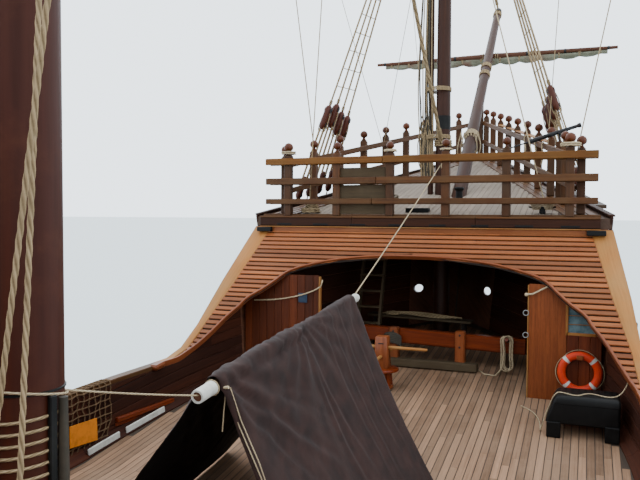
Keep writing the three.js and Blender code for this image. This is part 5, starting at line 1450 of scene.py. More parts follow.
def square_yards():
    """Main and fore yard, each with its parrel, furled sail and lifts."""
    for key, yard in YARDS.items():
        mast = yard["mast"]
        foot = yard["z"] - 0.09
        hug = mast_r(mast, foot) + PARREL_CLEAR
        middle = vec(0, mast["y"] + hug + yard["r"] + TRUSS, yard["z"])
        s = Shape()
        spar(s, middle, STARBOARD, yard["half"], yard["r"])
        s.box((-0.09, 0.09), (mast["y"] + hug + 0.03, middle.y), (foot + 0.01, foot + 0.17), "y", 0.012, 0)
        centre = vec(0, mast["y"], 0)
        s.wind(centre, hug + 0.02, 0.017, series(foot + 0.035, 0.055, 3), UP, 24, 6, 2)
        for k in range(18):
            angle = tau * (k + 0.5) / 18
            at = centre + polar(angle, hug + 0.021)
            for h in (0.062, 0.117):
                s.ball(at + UP * (foot + h), 0.019, 0, 8, UP, 1.3)
        s.wind(middle, yard["r"] + 0.008, 0.012, (-0.35, 0.35), STARBOARD, 14, 6, 2)
        part(s, key + "_yard_spar", "yard iron rope", key + "_yard", [key + "_yard"])
        sail = Shape()
        half, ahead = yard["half"] - yard["short"], vec(0, yard["sail"] * 0.3, 0)
        furled(sail, middle, STARBOARD, -UP, half, yard["sail"], yard["r"], 1.3, shift=ahead)
        part(sail, key + "_sail_roll", "plain_sail rope", key + "_yard", [key + "_sail"], 70)
        lifts = Shape()
        head = vec(0, mast["y"] + mast_r(mast, mast["round"]) + 0.05, mast["round"] - 0.1)
        for sign in (-1, 1):
            end = middle + vec(sign * yard["half"] * 0.93, 0, yard["r"] * 0.6)
            lifts.rope(slack(end, head + vec(sign * 0.12, 0, 0), 0.15, 12), 0.012, 5)
        part(lifts, key + "_lifts", "rope", key + "_yard")


LATEEN = {"z": 9.9, "half": 4.7, "r": 0.095, "slope": 0.9}


def lateen_yard():
    s = Shape()
    way = vec(0, -1, LATEEN["slope"]).normalized()
    foot = LATEEN["z"] - 0.07
    hug = mast_r(MIZZEN, foot) + PARREL_CLEAR
    middle = vec(hug + LATEEN["r"] + 0.03, MIZZEN["y"], LATEEN["z"])
    spar(s, middle, way, LATEEN["half"], LATEEN["r"])
    centre = vec(0, MIZZEN["y"], 0)
    s.wind(centre, hug + 0.019, 0.016, series(foot + 0.03, 0.04, 3), UP, 20, 6, 2)
    part(s, "lateen_spar", "yard iron rope", "mizzen_yard", ["mizzen_yard"])
    sail = Shape()
    down = vec(0, -LATEEN["slope"], -1).normalized()
    furled(sail, middle, way, down, LATEEN["half"] - 0.35, 0.13, LATEEN["r"], 4.1, shift=vec(0.03, 0, 0))
    part(sail, "lateen_sail_roll", "plain_sail rope", "mizzen_yard", ["mizzen_sail"], 70)


SPRITSAIL = {"along": 0.764, "clear": 0.012, "half": 3.3, "r": 0.085, "sail": 0.105, "short": 0.25}


def spritsail():
    s = Shape()
    way = (SPRIT_HEAD - SPRIT_FOOT).normalized()
    down = vec(0, way.z, -way.y)
    point = SPRIT_FOOT.lerp(SPRIT_HEAD, SPRITSAIL["along"])
    r = mix(*SPRIT_R, SPRITSAIL["along"])
    yard_r, sail_r, half = SPRITSAIL["r"], SPRITSAIL["sail"], SPRITSAIL["half"]
    middle = point + down * (r + yard_r + SPRITSAIL["clear"])
    spar(s, middle, STARBOARD, half, yard_r)
    s.lathe([(0.05, 0), (0.06, 0.01), (0.06, 0.06)], point + down * (r + 0.001), down, 16, 0)
    s.wind(middle, yard_r + 0.008, 0.012, (-0.2, -0.14, 0.14, 0.2), STARBOARD, 14, 6, 2)
    part(s, "spritsail_spar", "yard iron rope", "spritsail_yard", ["spritsail_yard"])
    sail = Shape()
    ahead = vec(0, sail_r * 0.3, 0)
    furled(sail, middle, STARBOARD, -UP, half - SPRITSAIL["short"], sail_r, yard_r, 2.7, shift=ahead)
    part(sail, "spritsail_roll", "sail rope", "spritsail_yard", ["spritsail"], 70)


def bowsprit():
    s = Shape()
    way = (SPRIT_HEAD - SPRIT_FOOT).normalized()
    s.tube(spreadline(SPRIT_FOOT, SPRIT_HEAD, 24), lambda t: mix(*SPRIT_R, t) - 0.0005, 32)
    length = (SPRIT_HEAD - SPRIT_FOOT).length
    for d in (0.62, 0.66, 0.965):
        r = mix(*SPRIT_R, d)
        s.wind(SPRIT_FOOT, r + 0.012, 0.013, series(d * length, 0.026, 6), way, 20, 6, 1)
    r = mix(*SPRIT_R, 0.985)
    s.lathe([(r, 0), (r + 0.012, 0.005), (r + 0.012, 0.06), (r, 0.065)], SPRIT_FOOT + way * (0.985 * length),
            way, 32, 2)
    part(s, "bowsprit_spar", "bowsprit rope iron", replaces=["bowsprit"])


# Standing rigging
def long_block(shape, a, b, width, thick, side, slot=0, iron=1):
    """A long tackle block from a to b: a rounded shell with the ends of a sheave's pin near each end."""
    way = (b - a).normalized()
    side = (side - way * side.dot(way)).normalized()
    up = way.cross(side)
    rings = []
    for t, grow in ((0, 0.35), (0.03, 0.66), (0.1, 0.92), (0.25, 1.0), (0.75, 1.0), (0.9, 0.92), (0.97, 0.66),
                    (1, 0.35)):
        ring = []
        for k in range(14):
            c, d = cos(tau * k / 14), sin(tau * k / 14)
            half = (abs(c) ** 3 + abs(d) ** 3) ** (-1 / 3) / 2 * grow
            ring.append(a.lerp(b, t) + side * (c * width * half) + up * (d * thick * half))
        rings.append(ring)
    shape.loft(rings, slot)
    pin = [(width * 0.32, 0), (width * 0.32, 0.006), (width * 0.1, 0.012), (0.001, 0.014)]
    for t in (0.2, 0.8):
        for face in (-up, up):
            shape.lathe(pin, a.lerp(b, t) + face * (thick / 2 * 0.97), face, 12, iron)


# How the falls between a shroud's two blocks lie: shift along the side, lean outward
FALLS = ((-0.065, 0.02), (-0.035, -0.05), (-0.01, 0.06), (0.01, -0.065), (0.035, 0.05), (0.065, -0.02))


def shroud(blocks, ropes, foot, eye, r, low, high):
    """One shroud, foot to eye: a lower block, falls, an upper block from low to high, and the rope."""
    way = (eye - foot).normalized()
    long_block(blocks, foot + way * 0.13, foot + way * 0.68, 0.17, 0.12, FORWARD)
    a, b = foot + way * low, foot + way * high
    long_block(blocks, a, b, 0.2, 0.14, FORWARD)
    ropes.rope([foot, foot + way * 0.2], 0.016, 6)
    out = way.cross(FORWARD).normalized()
    for shift, lean in FALLS:
        start = foot + way * 0.55 + FORWARD * shift + out * lean
        ropes.rope([start, a + way * 0.2 + FORWARD * (shift + lean * 0.3) + out * lean], 0.011, 5)
    ropes.wind(b, r + 0.008, 0.009, series(0.02, 0.022, 5), way, 10, 5)
    ropes.rope(finely([b - way * 0.05, eye], 2.5), r, 8)
    strop = ((b, 0.05, 0), (b, -0.25, 0.08), (a, -0.01, 0.08), (a, -0.03, 0), (a, -0.01, -0.08),
             (b, -0.25, -0.08), (b, 0.05, 0))
    ropes.rope(curve([end + way * up + out * half for end, up, half in strop], 4), 0.011, 5)


def ratlines(ropes, lines, z, top):
    """Ropes across the shrouds, 0.4 m apart from z up."""
    while z < top:
        crossing = [foot.lerp(eye, (z - foot.z) / (eye.z - foot.z)) for foot, eye in lines]
        path = [crossing[0] + (crossing[0] - crossing[1]) * 0.06]
        for p, q in zip(crossing, crossing[1:]):
            path += [p, p.lerp(q, 0.5) - UP * 0.012]
        ropes.rope(path + [crossing[-1], crossing[-1] + (crossing[-1] - crossing[-2]) * 0.06], 0.01, 5)
        z += 0.40


def shroud_gang(key, side, mast, below_top, feet, r, corners, thick, upper=((1.5, 2.4),)):
    """Shrouds of one side on their channel. corners are its underside's, and thick is its thickness."""
    name, sign = side
    blocks, ropes = Shape(), Shape()
    head_z = mast["round"] - below_top
    inner = mast_r(mast, head_z) + REST_GAP
    lines = []
    for i, foot in enumerate(feet):
        flat = vec(foot.x, foot.y - mast["y"], 0).normalized() * (inner + r + 0.003)
        eye = vec(0, mast["y"], head_z + 0.03) + flat
        foot, eye = vec(sign * foot.x, foot.y, foot.z), vec(sign * eye.x, eye.y, eye.z)
        lines.append((foot, eye))
        shroud(blocks, ropes, foot, eye, r, *upper[i % len(upper)])
    ratlines(ropes, lines, feet[0].z + (upper[0][1] + 0.55) * 0.92, head_z - 0.9)
    head = vec(0, mast["y"], head_z)
    ropes.wind(head, inner + 0.024, 0.026, (0.03,), UP, 28, 8)
    ropes.wind(head, inner + 0.022, 0.024, (0.075,), UP, 28, 8)
    blocks.outline([vec(sign * x, y, z) for x, y, z in corners], (0, 0, thick), slot=2)
    part(blocks, f"{key}_shroud_{name}_blocks", "block iron tar", replaces=[f"{key}_shrouds_{name}"])
    part(ropes, f"{key}_shroud_{name}_ropes", "rope", replaces=[f"{key}_shrouds_{name}"])


def channel_at(y0, y1, z, out):
    """Underside corners of a channel at height z, and the x of its shrouds' feet."""
    x = max(half_breadth(y, z) for y in (y0, y1, (y0 + y1) / 2)) + CHANNEL_STANDOFF
    low = z - 0.04
    return [(x, y0, low), (x + out, y0, low), (x + out, y1, low), (x, y1, low)], x + out - 0.11


# Fore shrouds: y of the first and last foot, and where each upper block begins and ends along its shroud
FORE_GANG = {
    "starboard": (12.05, 13.0, ((1.9, 2.47), (1.65, 2.22), (1.45, 2.0), (1.35, 1.9))),
    "port": (11.5, 12.45, ((1.8, 2.37), (1.78, 2.35), (1.55, 2.12), (1.42, 1.97))),
}


def shrouds():
    for side in SIDES:
        first, last, upper = FORE_GANG[side[0]]
        feet = [vec(fore_deck_edge(y) + 0.35, y, fore_deck_z(y) - 0.06) for y in spread(first, last, 4)]
        y0, y1, out = 11.35, 13.05, 0.47
        edge0, edge1 = fore_deck_edge(y0), fore_deck_edge(y1)
        board = [(x, y, fore_deck_z(y) - 0.11) for x, y in
                 ((edge0, y0), (edge0 + out, y0), (edge1 + out, y1), (edge1, y1))]
        shroud_gang("fore", side, FORE, 0.34, feet, 0.022, board, 0.07, upper)
        board, x = channel_at(-2.3, 0.35, 2.33, 0.42)
        feet = [vec(x, y, 2.33) for y in spread(-2.1, 0.1, 5)]
        shroud_gang("main", side, MAIN, 0.24, feet, 0.026, board, 0.08)
        board, x = channel_at(-6.78, -5.7, 4.0, 0.33)
        feet = [vec(x, y, 4.0) for y in spread(-6.69, -5.85, 3)]
        shroud_gang("mizzen", side, MIZZEN, 0.3, feet, 0.018, board, 0.08, ((1.0, 1.6),))


def stays():
    sprit_end = vec(0.4, SPRIT_HEAD.y - 0.13, SPRIT_HEAD.z - 0.117 + SPRIT_R[1] + 0.075)
    fore_end = vec(0, FORE["y"] - FORE["r"] - 0.008, 6.9)
    for name, mast, below_top, end, r in (("mainstay", MAIN, 0.15, fore_end, 0.038),
                                          ("forestay", FORE, 0.25, sprit_end, 0.028)):
        s = Shape()
        head_z = mast["round"] - below_top
        inner = mast_r(mast, head_z) + REST_GAP
        start = vec(0, mast["y"] + inner + r + 0.002, head_z + 0.045)
        s.rope(finely([start, end], 1.0), r, 9)
        s.wind((0, mast["y"], head_z), inner + r * 0.9, r, (0.03,), UP, 28, 9)
        s.wind(end, r + 0.008, 0.012, series(0.15, 0.03, 9), (start - end).normalized(), 12, 5)
        if name == "mainstay":
            s.wind((0, FORE["y"], 6.9), mast_r(FORE, 6.9) + 0.02, 0.022, (-0.05, 0.0, 0.05), UP, 24)
        part(s, name + "_rope", "rope", replaces=[name])


# Inside the forecastle
BULKHEAD_Y = 9.25
BULKHEAD_JOINTS = {  # inner edge first
    "starboard": (2.12, 2.74, 2.93, 3.11, 3.29, 3.47, 3.65, 3.83, 4.0),
    "port": (1.74, 1.86, 2.03, 2.19, 2.36, 2.52, 2.68, 2.84, 3.0, 3.16, 3.32, 3.5, 3.7, 3.9),
}
WINDOW = (2.75, 3.20, 3.32, 3.93)  # in the starboard bulkhead: x0, x1, z0, z1


def fore_bulkhead(name, sign):
    """Upright boards beside the way in, cut to the bulwark's slant, with a framed inner edge."""
    s = Shape()
    z0, z1 = deck_z(9.2) + 0.01, sheer_top(BULKHEAD_Y) - 0.11
    joints = BULKHEAD_JOINTS[name]
    y = BULKHEAD_Y + 0.03
    for x0, x1 in zip(joints, joints[1:]):
        parts = [(z0, z1)]
        if sign > 0 and x1 > WINDOW[0] and x0 < WINDOW[1]:
            parts = [(z0, WINDOW[2]), (WINDOW[3], z1)]
        for ends in parts:
            wide = [min(x1, side_at(BULKHEAD_Y, lambda _, z=z: z).x - WALL - 0.014) for z in ends]
            if min(wide) - x0 < 0.03:
                continue
            rings = []
            for z, x in zip(ends, wide):
                section = ((x0 + 0.002, -0.028), (x0 + 0.007, -0.034), (x - 0.007, -0.034),
                           (x - 0.002, -0.028), (x - 0.002, 0.028), (x0 + 0.002, 0.028))
                rings.append([vec(sign * px, y + py, z) for px, py in section])
            # Starboard boards away from the way in take the darker copy: painted shade.
            s.loft(rings, 3 if x0 > joints[0] + 0.3 and sign > 0 else 0)
    edge = joints[0]
    s.box(sorted((sign * (edge - 0.02), sign * edge)), (y - 0.05, y + 0.05), (z0, z1 - 0.02), "z", 0.006, 2)
    inside = sorted((sign * (edge - 0.01), sign * (edge + 0.09)))
    s.box(inside, (y + 0.03, y + 0.1), (z0, z1 - 0.06), "z", 0.01, 1)
    if sign > 0:
        window_frame(s)
    # The port boards take their darker copy: painted shade.
    boards = "bulkhead" if sign > 0 else "bulkhead_port"
    part(s, "fore_bulkhead_" + name, boards + " red cap bulkhead_far",
         replaces=["forecastle_bulkhead_" + name])


def window_frame(s):
    x0, x1, a, b = WINDOW
    y = BULKHEAD_Y
    across, up = (x0 - 0.02, x1 + 0.02), (a - 0.035, b + 0.03)
    for xs, zs, grain in ((across, (a - 0.035, a + 0.01), "x"), (across, (b - 0.01, b + 0.03), "x"),
                          ((x0 - 0.03, x0 + 0.012), up, "z"), ((x1 - 0.012, x1 + 0.03), up, "z")):
        s.box(xs, (y - 0.015, y + 0.03), zs, grain, 0.004, 2)
    for z in (a + 0.15, a + 0.30, a + 0.45):
        s.box((x0, x1), (y + 0.004, y + 0.016), (z - 0.006, z + 0.006), "x", 0.002, 2)
    pane = Shape()
    pane.box((x0 - 0.005, x1 + 0.005), (y + 0.02, y + 0.026), (a - 0.005, b + 0.005), "x", 0.001)
    part(pane, "fore_window", "glass")


BULKHEAD_ROPES = (  # points (x, shift forward, z), steps between them, radius
    (((-1.70, 0, 3.92), (-1.86, -0.02, 3.83), (-2.15, -0.03, 3.73), (-2.6, -0.03, 3.64), (-3.1, -0.01, 3.6)),
     6, 0.014),
    (((-1.70, 0, 3.92), (-1.66, -0.03, 4.0), (-1.66, -0.01, 4.05)), 5, 0.014),
    (((2.10, -0.02, 3.95), (2.2, -0.03, 3.97), (2.36, -0.02, 4.06), (2.5, 0.03, 4.12)), 6, 0.016),
)


def bulkhead_fittings():
    """Rope ends, rings and a blank plate on the two bulkheads."""
    s = Shape()
    y = BULKHEAD_Y - 0.02
    for line, steps, r in BULKHEAD_ROPES:
        s.rope(curve([(x, y + shift, z) for x, shift, z in line], steps), r)
    s.ball(vec(2.08, y - 0.02, 3.945), 0.032)
    for z in (3.63, 3.25):
        s.tube(ring_points(vec(2.075, y - 0.02, z), 0.045, 14, FORWARD), 0.008, 6, 1)
    s.box((-2.155, -1.975), (y - 0.012, y + 0.01), (3.6, 3.78), "x", 0.003, 2)
    s.box((-2.135, -1.995), (y - 0.017, y - 0.012), (3.62, 3.76), "x", 0.002, 2)
    part(s, "bulkhead_fittings", "pale_rope steel plate")


CAPSTAN = {"x": -0.4, "y": 9.0, "barrel": 0.2, "table": 0.3, "table_z": 2.47, "head": 0.13, "top": 3.1}


def capstan():
    """A barrel with whelps under a round table, and a square tapering head that two bars pass through."""
    s = Shape()
    foot = deck_z(CAPSTAN["y"] + CAPSTAN["barrel"]) + 0.006
    spindle = deck_z(CAPSTAN["y"] + 0.06) + REST_GAP
    axis = vec(CAPSTAN["x"], CAPSTAN["y"], 0)
    barrel, table = CAPSTAN["table_z"], CAPSTAN["table"]
    s.lathe([(0.05, spindle), (0.06, spindle), (0.06, foot), (0.19, foot), (0.2, foot + 0.02),
             (0.2, foot + 0.05), (0.12, foot + 0.07), (0.115, barrel - 0.02), (0.2, barrel - 0.01),
             (0.25, barrel)], axis, sides=28)
    for k in range(6):
        angle = tau * (k + 0.5) / 6
        way = polar(angle)
        s.board(axis + way * 0.16 + UP * (foot + 0.04), axis + way * 0.135 + UP * (barrel - 0.01), 0.07, 0.07,
                way, 0.012, 1)
    s.lathe([(table - 0.03, barrel - 0.002), (table - 0.005, barrel + 0.008), (table, barrel + 0.03),
             (table - 0.01, barrel + 0.052), (table - 0.04, barrel + 0.06), (0.02, barrel + 0.06)], axis,
            sides=36, slot=1)
    low, high, top = CAPSTAN["head"], CAPSTAN["head"] * 0.86, CAPSTAN["top"]
    square = ((-1, -0.86), (-0.86, -1), (0.86, -1), (1, -0.86), (1, 0.86), (0.86, 1), (-0.86, 1), (-1, 0.86))
    s.loft([[axis + vec(x * r, y * r, z) for x, y in square]
            for r, z in ((low * 0.94, barrel + 0.055), (low, barrel + 0.07), (high, top - 0.02),
                         (high * 0.9, top))], 0)
    for z in (2.66, 2.98):
        s.board(axis + vec(0, -0.116, z), axis + vec(0, -0.122, z), 0.1, 0.02, UP, 0.003, 3)
    for x, y, z in ((0.82, 0, 2.9), (0, 0.6, 2.74)):
        reach = vec(x, y, 0)
        s.tube([axis + UP * z + reach * t for t in spread(-1, 1, 9)],
               lambda t: 0.034 - 0.008 * abs(2 * t - 1), 12, 2)
    part(s, "capstan_drum", "bulkhead red cap iron", "capstan", ["capstan"])


BITTS = {"posts": (-0.55, 0.77), "half": 0.095, "y0": 10.29, "y1": 10.48, "top": 3.06, "beam_y": 10.49,
         "z0": 2.925, "z1": 2.815}


def bitts():
    s = Shape()
    y0, y1, beam_y = BITTS["y0"], BITTS["y1"], BITTS["beam_y"]
    foot = max(deck_z(10.275), deck_z(10.495)) + REST_GAP
    s.board((-2.0, beam_y, BITTS["z0"]), (2.0, beam_y, BITTS["z1"]), 0.2, 0.29, UP, 0.025, 0)
    middle = (y0 + y1) / 2
    for x in BITTS["posts"]:
        s.board((x, middle, foot), (x, middle, BITTS["top"]), 2 * BITTS["half"], y1 - y0, FORWARD, 0.02, 1)
        for z in (2.98, 2.75):
            s.lathe([(0.022, 0), (0.02, 0.008), (0.001, 0.014)], (x, y0, z), -FORWARD, 10, 3)
    sill = max(deck_z(10.18), deck_z(10.38)) + REST_GAP
    s.box((-1.1, 1.12), (10.18, 10.38), (sill, sill + 0.16), "x", 0.02, 2)
    part(s, "bitt_timbers", "red bulkhead panel iron", replaces=["riding_bitts"])
    work_shelf()
    lashing = Shape()
    for z in series(2.93, -0.035, 6):
        loop = [(-0.75, 10.33, z - 0.06), (-0.68, 10.26, z), (-0.55, 10.25, z + 0.02),
                (-0.42, 10.27, z - 0.03), (-0.4, 10.3, z - 0.1)]
        lashing.tube(curve(loop, 5), 0.024, 8)
    part(lashing, "bitt_lashing", "dark_rope")


def work_shelf():
    """A low shelf behind the bitts, with coils of rope on it."""
    shelf = Shape()
    shelf.board((-1.46, 11.7, 3.11), (0.79, 11.7, 3.05), 0.42, 0.045, UP, 0.006)
    # The shelf's legs and rail are near-black wood: painted shade.
    for x, z in ((-1.3, 3.09), (0.62, 3.04)):
        for y in (11.54, 11.86):
            shelf.board((x, y, deck_z(y) + 0.002), (x, y, z - 0.02), 0.06, 0.06, FORWARD, 0.006, 1)
    shelf.board((-1.3, 11.56, 2.72), (0.62, 11.56, 2.68), 0.03, 0.07, UP, 0.004, 1)
    part(shelf, "work_shelf", "panel dim")
    gear = Shape()
    coil(gear, (-1.05, 11.62, 2.73), UP, 0.2, 0.017, 4, 0)
    coil(gear, (-0.9, 11.62, 3.15), UP, 0.16, 0.014, 2, 1)
    for k in range(5):
        a = vec(-1.2 + 0.1 * k, 11.6, 3.15 + 0.012 * k)
        b = vec(0.1 + 0.12 * k, 11.66, 3.09 + 0.008 * k)
        gear.rope(curve([a, a.lerp(b, 0.4) + vec(0, 0.04 * (k % 2), 0.03), b], 6), 0.013, 6, 1)
    part(gear, "shelf_ropes", "pale_rope rope")


def coil(shape, at, axis, r, rope_r, turns, slot=0):
    """A flat coil of rope, its turns lying on each other."""
    axis, side, up = square_to(axis)
    points = []
    for i in range(turns * 16 + 1):
        angle, turn = tau * i / 16, i / 16
        reach = r + rope_r * 1.1 * sin(turn * 2.4)
        lift = rope_r * 0.9 * turn + 0.004 * sin(5 * angle + turn)
        points.append(Vector(at) + (side * cos(angle) + up * sin(angle)) * reach + axis * lift)
    shape.rope(points, rope_r, 7, slot)


LIFEBUOY_AT = vec(2.955, 9.1796, 2.68)
BUOY_R, BUOY_TUBE_R = 0.288, 0.07


def banded(angle):
    """Whether a place round the lifebuoy lies under one of its four bands."""
    past = abs((angle - pi / 4) % (pi / 2))
    return min(past, pi / 2 - past) < 0.1


def around_buoy(angle, r, y=0.0):
    return LIFEBUOY_AT + vec(r * cos(angle), y, r * sin(angle))


def lifebuoy():
    """A ring that is a little flattened, with four bands, a grab line and the block that it hangs on."""
    s = Shape()
    count, sides, step = 72, 18, 0.03
    for i in range(count):
        angle = tau * i / count
        r = BUOY_TUBE_R - (0.0 if banded(angle) else 0.003)
        for turn in (tau * k / sides for k in range(sides)):
            s.points.append(around_buoy(angle, BUOY_R + r * cos(turn), 0.88 * r * sin(turn)))
    for i in range(count):
        slot = 1 if banded(tau * (i + 0.5) / count) else 0
        for k in range(sides):
            corners = ((i, k), (i, k + 1), (i + 1, k + 1), (i + 1, k))
            places = [p % count * sides + q % sides for p, q in corners]
            s.face(places, [(p * step, q * step) for p, q in corners], slot)
    for quarter in range(4):
        line = []
        for t in spread(0, 1, 13):
            slackness = sin(pi * t)
            reach = BUOY_R + BUOY_TUBE_R + 0.003 + 0.022 * slackness
            line.append(around_buoy(pi / 4 + (quarter + t) * pi / 2, reach, -0.012 * slackness))
        s.rope(line, 0.0055, 6, 2)
    s.box((2.90, 3.01), (9.10, 9.26), (2.90, 2.98), "x", 0.01, 3)
    part(s, "lifebuoy_ring", "orange white pale_rope bulkhead", replaces=["lifebuoy"])


CHEST = {"x0": 2.45, "x1": 3.56, "y0": 7.72, "y1": 8.38, "high": 0.43, "feet": 0.13}


def chest():
    s = Shape()
    z0 = deck_z(CHEST["y1"]) + REST_GAP + CHEST["feet"]
    z1 = z0 + CHEST["high"]
    x0, x1, y0, y1 = CHEST["x0"] + 0.02, CHEST["x1"] - 0.02, CHEST["y0"] + 0.02, CHEST["y1"] - 0.02

    def around(inset, share, n=5, corner=0.05):
        """Outline at a share of the shell's height, its left end leaning in and its corners rounded."""
        z, left = mix(z0, z1, share), x0 + 0.16 * share
        outline = []
        for cx, cy, sx, sy, start in ((x1, y1, 1, 1, 0), (left, y1, -1, 1, 90), (left, y0, -1, -1, 180),
                                      (x1, y0, 1, -1, 270)):
            for k in range(n):
                a = radians(start + 90 * k / (n - 1))
                outline.append(vec(cx - sx * (corner + inset), cy - sy * (corner + inset), z)
                               + polar(a, corner))
        return outline

    steps = ((0.04, 0), (0.012, 0.05), (0.004, 0.6), (0.008, 0.7), (0.0, 0.72), (0.004, 0.88), (0.02, 0.96),
             (0.055, 1.0))
    s.loft([around(inset, share) for inset, share in steps], 0)
    for x in spread(x0 + 0.3, x1 - 0.12, 8):
        s.board((x, y0 + 0.07, z1 - 0.006), (x, y1 - 0.07, z1 - 0.006), 0.04, 0.012, UP, 0.005, 0)
    for x in (CHEST["x0"] + 0.06, CHEST["x1"] - 0.24):
        for y in (CHEST["y0"], CHEST["y1"] - 0.1):
            s.box((x, x + 0.2), (y, y + 0.1), (deck_z(y + 0.1) + 0.0005, z0 + 0.03), "x", 0.008, 0)
    part(s, "chest_shell", "lid", replaces=["chest"])


def swivel_gun():
    """A small gun with its tail bar, in a yoke on a pin."""
    s = Shape()
    way = vec(0.93, 0.08, 0.3).normalized()
    barrel = [(0.02, -0.62), (0.045, -0.605), (0.05, -0.59), (0.05, -0.565), (0.046, -0.555), (0.043, -0.2),
              (0.047, -0.192), (0.047, -0.165), (0.042, -0.157), (0.037, 0.12), (0.041, 0.128),
              (0.041, 0.152),
              (0.036, 0.16), (0.034, 0.34), (0.046, 0.372), (0.048, 0.412), (0.027, 0.418), (0.02, 0.38)]
    s.lathe(barrel, GUN, way, 28)
    s.tube([GUN - way, GUN - way * 0.97, GUN - way * 0.58], lambda t: 0.014 if t > 0.2 else 0.02, 12)
    s.tube([GUN - UP * 0.19, GUN - UP * 0.05], 0.022, 14)
    for y in (-0.065, 0.065):
        s.board(GUN + vec(0, y, -0.06), GUN + vec(0, y, 0.02), 0.05, 0.02, FORWARD, 0.004)
    s.board(GUN - vec(0, 0.075, 0.055), GUN + vec(0, 0.075, -0.055), 0.05, 0.026, UP, 0.005)
    part(s, "gun_barrel", "iron", "swivel_gun", ["swivel_gun"])


def ladder(name, x, width, foot, head, steps, replaced, materials="red cap"):
    """Two side boards and steps between a foot and a head, both (y, z)."""
    s = Shape()
    back = copysign(0.095, foot[0] - head[0])
    ends = (((foot[0] + back, foot[1]), (foot[0] - back, foot[1])), (head, (head[0], head[1] - 0.23)))
    for side in (x - width / 2, x + width / 2):
        low, high = side - 0.022, side + 0.022
        s.loft([[Vector(p) for p in ((low, *a), (high, *a), (high, *b), (low, *b))] for a, b in ends], 0)
    for i in range(1, steps + 1):
        t = i / (steps + 0.6)
        y, z = mix(foot[0], head[0], t), mix(foot[1], head[1] - 0.115, t)
        half = width / 2 + 0.03
        s.box((x - half, x + half), (y - 0.085, y + 0.085), (z - 0.016, z + 0.021), "x", 0.006, 1)
    part(s, name, materials, replaces=[replaced])


def main_hatch():
    s = Shape()
    z0 = max(deck_z(2.5), deck_z(4.1)) + REST_GAP
    z1 = z0 + 0.23
    for x in (-0.755, 0.755):
        s.box((x - 0.045, x + 0.045), (2.5, 4.1), (z0, z1), "y", 0.01)
    for y in (2.545, 4.055):
        s.box((-0.71, 0.71), (y - 0.045, y + 0.045), (z0, z1), "x", 0.01)
    for x in spread(-0.66, 0.66, 13):
        s.box((x - 0.025, x + 0.025), (2.59, 4.01), (z1 - 0.05, z1 - 0.012), "y", 0.004, 1)
    for y in spread(2.66, 3.94, 12):
        s.box((-0.71, 0.71), (y - 0.025, y + 0.025), (z1 - 0.04, z1 - 0.0005), "x", 0.004, 1)
    # A near-black floor under the grating: painted shade.
    s.box((-0.71, 0.71), (2.59, 4.01), (z0, z0 + 0.02), "y", 0.002, 2)
    part(s, "hatch_grating", "red cap dim", replaces=["main_hatch"])


# Ground tackle, rudder and stern
def anchor(name, sign):
    """An anchor stowed flat against the bow: shank, two arms with palms, wooden stock and ring."""
    z, press = 2.95, 0.06

    def at(y, out):
        return vec(half_breadth(station_y(y, z), z) + out, y, z)

    def side(p):
        return vec(p.x * sign, p.y, p.z)

    a, b = at(11.65, 0), at(14.0, 0)
    bulge = max(at(mix(a.y, b.y, t), 0).x - mix(a.x, b.x, t) for t in (0.3, 0.4, 0.5, 0.6, 0.7))
    crown, ring = at(11.65, bulge + press), at(14.0, bulge + press + 0.23)
    s = Shape()
    s.tube(spreadline(side(crown), side(ring), 8), lambda t: mix(0.074, 0.058, t), 18)
    for turn in (-1, 1):
        bend = [(-0.01, -0.05, 0), (0.07, 0.06, turn * 0.26), (0.17, 0.23, turn * 0.5),
                (0.26, 0.42, turn * 0.7)]
        arm = curve([crown + Vector(step) for step in bend], 5)
        s.tube([side(p) for p in arm], lambda t: mix(0.062, 0.03, t), 14)
        palm = crown + vec(0.235, 0.36, turn * 0.62)
        corners = [(0, -0.18), (0.14, -0.06), (0.15, 0.06), (0, 0.19), (-0.15, 0.06), (-0.14, -0.06)]
        plate = [side(palm + vec(x, -0.06 + 0.02 * abs(x), h * turn)) for x, h in corners]
        s.outline(plate, (0, 0.035, 0))
    stock_x = ring.x + 0.045
    for x in (stock_x - 0.034, stock_x + 0.034):
        rings = []
        for h, grow in ((-0.425, 0.7), (-0.1, 1.0), (0.1, 1.0), (0.4, 0.7)):
            middle = vec(x, ring.y - 0.165, ring.z + h)
            square = ((-1, -1), (1, -1), (1, 1), (-1, 1))
            rings.append([side(middle + vec(0.03 * dx, 0.07 * grow * dy, 0)) for dx, dy in square])
        s.loft(rings, 1)
    hoop = sorted((sign * (stock_x - 0.072), sign * (stock_x + 0.072)))
    for z in (ring.z - 0.34, ring.z - 0.14, ring.z + 0.14, ring.z + 0.32):
        s.box(hoop, (ring.y - 0.235, ring.y - 0.095), (z - 0.02, z + 0.02), "x", 0.004, 0)
    centre = ring + vec(0, 0.12, 0)
    circle = [centre + vec(0, cos(k * 0.3142) * 0.13, sin(k * 0.3142) * 0.13) for k in range(21)]
    s.tube([side(p) for p in circle], 0.021, 10, 0, caps=False)
    way = (ring - crown).normalized()
    for p in (crown.lerp(ring, t) + way * h for t in (0.3, 0.62) for h in series(0, 0.035, 3)):
        s.rope([side(q) for q in ring_points(p, 0.088, 14, way)], 0.014, 6, 2)
    part(s, "bower_anchor_" + name, "iron tar rope", replaces=["anchor_" + name])


